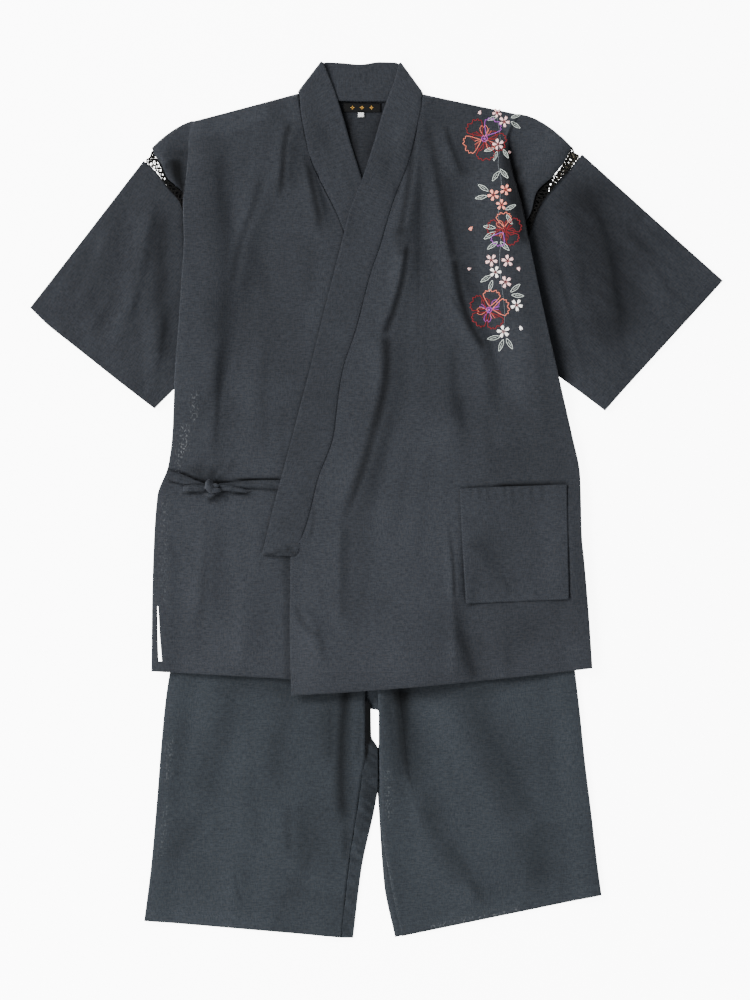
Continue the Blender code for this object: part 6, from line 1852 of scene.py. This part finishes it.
# Upper halves of two petals that point right, with a jagged tip and with one notch, and a whole leaf.
NOTCHED_PETAL = [(0.20, 0.03), (0.34, 0.13), (0.54, 0.26), (0.74, 0.34), (0.80, 0.27), (0.90, 0.28),
                 (0.89, 0.17), (1.0, 0.14), (0.93, 0.04), (0.90, 0.0)]
CLEFT_PETAL = [(0.16, 0.02), (0.34, 0.12), (0.58, 0.22), (0.80, 0.25), (0.98, 0.15), (1.0, 0.08),
               (0.84, 0.0)]
LEAF_OUTLINE = [(0.0, 0.0), (0.22, 0.11), (0.50, 0.165), (0.80, 0.10), (1.0, 0.0), (0.78, -0.09),
                (0.50, -0.15), (0.22, -0.10)]


def mirrored(half, wide):
    """A petal's whole outline from its upper half."""
    upper = [(u, v * wide) for u, v in half]
    return upper + [(u, -v) for u, v in reversed(upper[:-1])]


class Needle:
    """Collects embroidered lines and filled shapes, set down on the cloth below them."""

    def __init__(self, cloth, left, top, right, low):
        mesh = cloth.data
        points = np.empty(len(mesh.vertices) * 3)
        mesh.vertices.foreach_get("co", points)
        faces = np.empty(len(mesh.loops), int)
        mesh.loops.foreach_get("vertex_index", faces)
        points = points.reshape(-1, 3)
        corners = faces.reshape(-1, 4)
        near = (points[:, 0] > along_x(left)) & (points[:, 0] < along_x(right))
        near &= (points[:, 1] < along_y(top)) & (points[:, 1] > along_y(low))
        kept = corners[near[corners].all(axis=1)]
        self.tree = BVHTree.FromPolygons(points.tolist(), kept.tolist())
        self.parts = []
        self.colours = []

    def ground(self, spots):
        """Points on the cloth at places given in layout units."""
        result = []
        for x, y in zip(along_x(spots[:, 0]), along_y(spots[:, 1])):
            hit = self.tree.ray_cast(Vector((x, y, 0.2)), Vector((0, 0, -1)))[0]
            result.append((x, y, hit.z if hit else result[-1][2] if result else 0.01))
        return np.array(result)

    def add(self, part, colour):
        """Keeps a part, given by its vertices and faces, and its colour."""
        self.parts.append(part)
        self.colours.append(np.tile(colour, (len(part[0]), 1)))

    def line(self, spots, colour, radius):
        """A row of stitches along a path."""
        points = self.ground(spots)
        points[:, 2] += radius * 0.45
        self.add(tube(points, radius, 6, 0.8), colour)

    def filled(self, spots, colour):
        """A low pad of satin stitches within a closed outline."""
        centre = spots.mean(axis=0)
        rings = []
        for share, height in ((1.0, 0.0), (0.94, 0.6), (0.72, 0.92), (0.36, 1.0)):
            ring = self.ground(centre + (spots - centre) * share)
            ring[:, 2] += FILL_HEIGHT * height
            rings.append(ring)
        base = rings[0].copy()
        base[:, 2] -= 0.0004
        top = self.ground(centre[None])
        top[:, 2] += FILL_HEIGHT
        count = len(spots)
        vertices = np.vstack([base] + rings + [top])
        faces = [tuple(range(count - 1, -1, -1))]
        for k in range(len(rings)):
            for j in range(count):
                after = (j + 1) % count
                faces.append((k * count + j, k * count + after, (k + 1) * count + after, (k + 1) * count + j))
        last = len(rings) * count
        for j in range(count):
            faces.append((last + j, last + (j + 1) % count, last + count))
        self.add((vertices, faces), colour)

    def finish(self, name):
        """All the parts as one piece."""
        vertices, faces = join(self.parts)
        piece = mixed_object(name, vertices, faces)
        save(piece, "paint", np.vstack(self.colours))
        return piece


def embroider(cloth):
    """The spray on the wearer's left front."""
    needle = Needle(cloth, 455, 98, 535, 365)
    needle.line(smooth_path(STEM, 90), STALK, STEM_THREAD)
    for leaf in LEAVES:
        place = (leaf.x, leaf.y, leaf.size, leaf.turn)
        needle.line(turned(smooth_path(LEAF_OUTLINE, 24, True), *place), leaf.colour, LEAF_THREAD)
        vein = smooth_path([(0.30, 0.0), (0.5, 0.012), (0.76, 0.0)], 7)
        needle.line(turned(vein, *place), leaf.colour, VEIN_THREAD)
    for bloom in BLOOMS:
        place = (bloom.x, bloom.y, bloom.size)
        for k in range(5):
            turn = bloom.turn + 72 * k
            outer = turned(smooth_path(mirrored(NOTCHED_PETAL, 1.25), 46, True), *place, turn)
            needle.line(outer, bloom.outer[k], THREAD)
            inner = smooth_path(mirrored(CLEFT_PETAL, 1.15), 30, True)
            inner = turned(inner, bloom.x, bloom.y, bloom.size * 0.60, turn + 36)
            needle.line(inner, bloom.inner[k], INNER_THREAD)
            for swing, reach in ((-8, 0.52), (8, 0.47)):
                ray = turned([(0.14, 0.0), (0.3, 0.012), (reach, 0.0)], *place, turn + swing)
                needle.line(smooth_path(ray, 6), bloom.inner[(k + 1) % 5], RAY_THREAD)
        ring = [(math.cos(a) * 0.13, math.sin(a) * 0.13) for a in np.linspace(0, 2 * np.pi, 17)]
        needle.line(turned(ring, *place, 0), bloom.heart, HEART_THREAD)
        dot = [(math.cos(a) * 0.06, math.sin(a) * 0.06) for a in np.linspace(0, 2 * np.pi, 11)[:-1]]
        needle.filled(turned(dot, *place, 0), bloom.heart)
    for bloom in SMALL_BLOOMS:
        place = (bloom.x, bloom.y, bloom.size)
        darker = tuple(c * s for c, s in zip(bloom.colour, (0.6, 0.22, 0.22)))
        for k in range(5):
            turn = bloom.turn + 72 * k
            needle.filled(turned(smooth_path(mirrored(CLEFT_PETAL, 1.0), 18, True), *place, turn),
                          bloom.colour)
            points = needle.ground(turned([(0.10, 0.0), (0.22, 0.0), (0.36, 0.0)], *place, turn))
            points[:, 2] += FILL_HEIGHT * 0.9
            needle.add(tube(points, STAMEN_THREAD, 5), darker)
    for petal in LOOSE_PETALS:
        shape = smooth_path(mirrored(CLEFT_PETAL, 1.3), 18, True)
        needle.filled(turned(shape, petal.x, petal.y, petal.size, petal.turn), petal.colour)
    return needle.finish("embroidered_spray")


def lozenges(tape):
    """Three plain gold lozenges woven in the neck label."""
    needle = Needle(tape, 343, 102.6, 382, 112.6)
    for x in LOZENGE_PLACES:
        for reach in (0.0, 1.25):
            for dx, dy in ((-1, 0), (0, -1), (1, 0), (0, 1)):
                spot = turned(LOZENGE, x + dx * reach, LOZENGE_Y + dy * reach, 1.0, 0)
                needle.filled(spot, GOLD)
    return needle.finish("neck_label_weave")


def silk(name):
    """Embroidery thread: satin stitches with a soft gloss, coloured motif by motif."""
    result, tree, shader = blank(name, 0.62, 0.0, 0.22)
    place = tree.nodes.new("ShaderNodeNewGeometry").outputs["Position"]
    strands = noise(tree, stretched(tree, place, 0.0010, 0.0045, 0.002), 2.0, 0.6, 0.3)
    colour = scaled(tree, attribute(tree, "paint"), ramp(tree, strands, 0.3, 0.7, 0.78, 1.12))
    plug(tree, shader.inputs["Base Color"], colour)
    plug(tree, shader.inputs["Normal"], bump(tree, strands, 0.0003, 0.7))
    return result


# Outlines of what is sewn on the fronts. Going down a path the front is on its right, and going up on its
# left, as seen from above.
SHOWN_SEAM_RIGHT = SEAM_RIGHT[:7][::-1]
POCKET_OUTLINE = [(566.3, 484.4), (567.2, 541), (568.5, 598.9), (465.7, 603.3), (462, 545), (459.5, 488.4)]

# Edges of what lies on the fronts, along which the cloth below is in shade.
SHADED_FRONT_RIGHT = [
    Edge(0.42, 1.7, [(row.edge_x, row.edge_y) for row in BAND_LEFT]),
    Edge(0.62, 1.3, [(168, 469.4), (184, 475.0), (196, 479.9), (206, 483.4)]),
    Edge(0.35, 1.1, [(168, 480.3), (184, 484.9), (196, 487.4), (206, 490.0)]),
    Edge(0.85, 1.5, [(217, 483.4), (226, 482.4), (240, 480.7), (262, 479.2), (282, 479.4)]),
    Edge(0.35, 1.1, [(219, 489.9), (240, 488.8), (262, 489.2), (281, 490.4)]),
    Edge(0.60, 1.2, [(183, 485.2), (190, 484.4), (198, 484.0), (207, 484.6)]),
    Edge(0.70, 1.3, [(182, 492.4), (190, 492.4), (200, 491.8), (207, 491.0)]),
    Edge(0.80, 1.4, [(218, 490.8), (228, 491.4), (238, 492.8), (249, 494.2)]),
    Edge(0.45, 2.0, [(204, 495), (210, 497.5), (218, 496.5), (224, 492)]),
    Edge(0.90, 2.6, [(214.5, 481), (218, 483), (222, 485)]),
]
SHADED_FRONT_LEFT = [
    Edge(0.14, 1.0, SEAM_LEFT),
    Edge(0.30, 1.2, [(459.4, 487.6), (480, 486.6), (500, 486.0), (534, 484.8), (566.5, 483.6)]),
    Edge(0.60, 1.6, [(492, 486.0), (506, 485.4), (528, 484.6), (552, 484.0)]),
    Edge(0.12, 1.1, [(567.2, 484.4), (568.1, 541), (569.4, 599.4)]),
    Edge(0.14, 1.1, [(569, 599.9), (517, 602.4), (465.5, 604.3)]),
    Edge(0.06, 1.0, [(465.0, 603.3), (461.2, 545), (458.8, 488.4)]),
]


def dress(piece, finish, slot, *nodes):
    """Gives a piece its material and its body, and hides the CAD nodes that it stands for."""
    piece.data.materials.append(finish)
    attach(piece, "root")
    if nodes:
        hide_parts(*nodes)
    return piece


def build_shorts(pile, cloth):
    """The shorts, from the backs up to the waistbands."""
    made = {}
    made["back_left"] = laid_piece("shorts_back_left_cloth", SHORTS_BACK_LEFT, pile, FINE, 44, seed=51,
                                   soften=0.008, trimmed=False)
    made["back_right"] = wrapped_back(pile)
    made["right"] = front("shorts_front_right_cloth", SHORTS_FRONT_RIGHT, INSEAM_RIGHT, pile,
                          SHORTS_RIGHT_FOLDS, CREASES_SHORTS_RIGHT, SHADE_SHORTS_RIGHT,
                          SHEER_SHORTS_RIGHT, outward=-1, columns=96, seed=61)
    made["left"] = front("shorts_front_left_cloth", SHORTS_FRONT_LEFT, INSEAM_LEFT, pile,
                         SHORTS_LEFT_FOLDS, CREASES_SHORTS_LEFT, SHADE_SHORTS_LEFT,
                         SHEER_SHORTS_LEFT, outward=1, columns=96, seed=71)
    level_beside(made["back_right"], INSEAM_RIGHT[3:], pile.seams["strip"],
                 pile.seams["shorts_front_right_cloth"])
    for side, seed in (("back", 81), ("front", 82)):
        made[f"waist_{side}"] = laid_piece(f"waistband_{side}_cloth", WAISTBAND, pile, 0.006, 40, seed=seed,
                                          soften=0.008, trimmed=False)
    for key, node in (("back_left", "shorts_back_left"), ("back_right", "shorts_back_right"),
                      ("right", "shorts_front_right"), ("left", "shorts_front_left"),
                      ("waist_back", "waistband_back"), ("waist_front", "waistband_front")):
        dress(made[key], cloth, "shorts_cloth", node)
    return made


def build_jacket(pile, cloth, openwork, khaki, thread, black, white):
    """The jacket, from the back up to the ties."""
    made = {}
    made["back"] = fine_back(pile)
    made["lace_br"] = lace_cords("lace_back_right_cords", LACE_BACK_RIGHT, pile, 201, step=0.0078,
                                 radius=0.0006)
    made["lace_bl"] = lace_cords("lace_back_left_cords", LACE_BACK_LEFT, pile, 202, step=0.0042,
                                 radius=0.0014, squash=0.3)
    made["label"] = laid_piece("neck_label_tape", LABEL, pile, 0.002, 24, seed=3, height=0.00005,
                               thickness=TAPE, trimmed=False)
    made["tab"] = laid_piece("size_tab_tape", SIZE_TAB, pile, 0.001, 8, seed=4, height=0.00003,
                             thickness=TAPE, trimmed=False)
    made["sleeve_right"] = fine_sleeve("sleeve_right_cloth", SLEEVE_RIGHT, pile, SLEEVE_RIGHT_FOLDS,
                                       CREASES_SLEEVE_RIGHT, SHADE_SLEEVE_RIGHT, seed=91, height=0.00042)
    made["sleeve_left"] = fine_sleeve("sleeve_left_cloth", SLEEVE_LEFT, pile, SLEEVE_LEFT_FOLDS,
                                      CREASES_SLEEVE_LEFT, SHADE_SLEEVE_LEFT, seed=96, height=0.00048)
    made["lace_fr"] = lace_cords("lace_front_right_cords", LACE_FRONT_RIGHT, pile, 203, step=0.0058,
                                 radius=0.0010, squash=0.5)
    made["lace_fl"] = lace_cords("lace_front_left_cords", LACE_FRONT_LEFT, pile, 204, step=0.0056,
                                 radius=0.0011, squash=0.45)
    lower = pile.top.copy()
    made["front_right"] = front("front_right_cloth", FRONT_RIGHT, FRONT_RIGHT_EDGE, pile, JACKET_RIGHT_FOLDS,
                                CREASES_FRONT_RIGHT, SHADE_FRONT_RIGHT, SHEER_FRONT_RIGHT, outward=-1,
                                columns=120, seed=11, shoulder=True, tucked=TUCKED_FRONT_RIGHT,
                                shaded_by=SHADED_FRONT_RIGHT)
    band_behind = band_rows(BAND_BACK, None, pile)
    band_under = band_rows(BAND_RIGHT, SEAM_RIGHT, pile, lower)
    made["tie_front"] = tie("tie_front_cloth", TIE_FRONT, pile, 302, (0.30, 1.0), band_end=0.35)
    lower = pile.top.copy()
    made["front_left"] = front("front_left_cloth", FRONT_LEFT, FRONT_LEFT_EDGE, pile, JACKET_LEFT_FOLDS,
                               CREASES_FRONT_LEFT, SHADE_FRONT_LEFT, (), outward=1, columns=140, seed=21,
                               shoulder=True, bow=HEM_BOW, edge_stitch=True, tucked=TUCKED_FRONT_LEFT,
                               sewn_on=[POCKET_OUTLINE], shaded_by=SHADED_FRONT_LEFT)
    band_over = band_rows(BAND_LEFT, SEAM_LEFT, pile, lower)
    fold_right = band_fold(BAND_TURN_RIGHT, band_behind[2][0], band_under[2][-1], (0.80, -0.60))
    fold_left = band_fold(BAND_TURN_LEFT, band_behind[2][-1], band_over[2][0], (-0.81, -0.59))
    fold_right = tuple(grid[::-1] for grid in fold_right)
    made["band"] = fine_band([band_under, fold_right, band_behind, fold_left, band_over], pile)
    level_beside(made["front_left"], SEAM_LEFT, pile.seams["front_left_cloth"], pile.seams["band_left"])
    level_beside(made["front_right"], SHOWN_SEAM_RIGHT, pile.seams["front_right_cloth"],
                 pile.seams["band_right"])
    made["pocket"] = laid_piece("pocket_cloth", POCKET, pile, POCKET_SPACING, 62, 31, CREASES_POCKET,
                                height=0.00025, soften=0.004)
    made["tie_side"] = tie("tie_side_cloth", TIE_SIDE, pile, 301)
    made["tail_left"] = tie("tie_tail_left_cloth", TAIL_LEFT, pile, 303, (1.0, 0.35), soften=0.0)
    made["tail_right"] = tie("tie_tail_right_cloth", TAIL_RIGHT, pile, 304, (1.2, 0.35), soften=0.0)
    made["knot"] = knot_wraps(pile)
    for key, node in (("back", "jacket_back"), ("sleeve_right", "sleeve_right"),
                      ("sleeve_left", "sleeve_left"), ("front_right", "front_right"),
                      ("front_left", "front_left"), ("band", "collar_band"), ("pocket", "pocket"),
                      ("tie_side", "tie_side"), ("tie_front", "tie_front"),
                      ("tail_left", "tie_tail_left"), ("tail_right", "tie_tail_right"),
                      ("knot", "tie_knot")):
        dress(made[key], cloth, "jacket_cloth", node)
    for key, node, finish in (("lace_fr", "lace_front_right", openwork),
                              ("lace_fl", "lace_front_left", openwork),
                              ("lace_br", "lace_back_right", openwork),
                              ("lace_bl", "lace_back_left", khaki)):
        dress(made[key], finish, "lace", node)
    open_slit([made["back"], made["front_right"]])
    made["spray"] = embroider(made["front_left"])
    made["weave"] = lozenges(made["label"])
    dress(made["spray"], thread, "embroidery")
    dress(made["weave"], thread, "label")
    dress(made["label"], black, "label", "neck_label")
    dress(made["tab"], white, "size_tab", "size_tab")
    return made


FLOOR_HALF = 6             # half the floor's width
FLOOR_LEVEL = -0.0004      # just under the cloth, so that the two never share a plane
FLOOR_GLOW = 8.0           # a lit table under the cloth, which keeps the ground white
WORLD_STRENGTH = 0.95
KEY_POWER = 240.0
FILL_POWER = 90.0
CAMERA_PLACE = (-0.00125, -0.0003, 5.0)
SENSOR_HEIGHT = 24         # in millimetres, as the lens is
LENS = 96


def area_light(name, power, size, place, aim):
    """A square lamp at a place, turned towards a point."""
    light = bpy.data.lights.new(name, "AREA")
    light.energy = power
    light.size = size
    lamp = bpy.data.objects.new(name, light)
    lamp.location = place
    lamp.rotation_euler = (Vector(aim) - Vector(place)).to_track_quat("-Z", "Y").to_euler()
    bpy.context.scene.collection.objects.link(lamp)


def studio():
    """The white floor, the light and the camera."""
    mesh = bpy.data.meshes.new("floor")
    corners = [(x * FLOOR_HALF, y * FLOOR_HALF, FLOOR_LEVEL) for x, y in ((-1, -1), (1, -1), (1, 1), (-1, 1))]
    mesh.from_pydata(corners, [], [(0, 1, 2, 3)])
    floor = bpy.data.objects.new("floor", mesh)
    bpy.context.scene.collection.objects.link(floor)
    paper, _, shader = blank("paper", 0.9, 0.0, 0.1)
    shader.inputs["Base Color"].default_value = (0.95, 0.95, 0.95, 1.0)
    shader.inputs["Emission Color"].default_value = (1.0, 1.0, 1.0, 1.0)
    shader.inputs["Emission Strength"].default_value = FLOOR_GLOW
    mesh.materials.append(paper)
    world = bpy.data.worlds.new("soft_white")
    world.use_nodes = True
    sky = next(node for node in world.node_tree.nodes if node.type == "BACKGROUND")
    sky.inputs["Color"].default_value = (0.97, 0.985, 1.0, 1.0)
    sky.inputs["Strength"].default_value = WORLD_STRENGTH
    bpy.context.scene.world = world
    area_light("key", KEY_POWER, 1.6, (-2.2, 1.7, 2.7), (0, 0, 0))
    area_light("fill", FILL_POWER, 1.2, (-1.2, -1.5, 1.9), (-0.15, -0.3, 0))
    camera = bpy.data.cameras.new("camera")
    camera.sensor_fit = "VERTICAL"
    camera.sensor_height = SENSOR_HEIGHT
    camera.lens = LENS
    view = bpy.data.objects.new("camera", camera)
    view.location = CAMERA_PLACE
    bpy.context.scene.collection.objects.link(view)
    bpy.context.scene.camera = view


def main():
    """Builds the materials, both garments and the studio."""
    pile = Pile()
    jacket_cloth = crepe("indigo_crepe", (0.0090, 0.0103, 0.0130), (0.0235, 0.0260, 0.0312))
    shorts_cloth = crepe("indigo_crepe_shorts", (0.0096, 0.0118, 0.0148), (0.0245, 0.0290, 0.0345))
    openwork = thread_stuff("black_thread", (0.0012, 0.0012, 0.0013), (0.009, 0.0085, 0.0075))
    khaki = thread_stuff("khaki_thread", (0.12, 0.11, 0.08), (0.24, 0.22, 0.17))
    black = woven_tape("black_tape", (0.0020, 0.0020, 0.0020), (0.0055, 0.0055, 0.0055), 0.0004)
    white = woven_tape("white_tape", (0.50, 0.50, 0.48), (0.66, 0.66, 0.64), 0.0004)
    shorts = build_shorts(pile, shorts_cloth)
    jacket = build_jacket(pile, jacket_cloth, openwork, khaki, silk("embroidery_silk"), black, white)
    studio()
    return shorts, jacket


shorts, jacket = main()
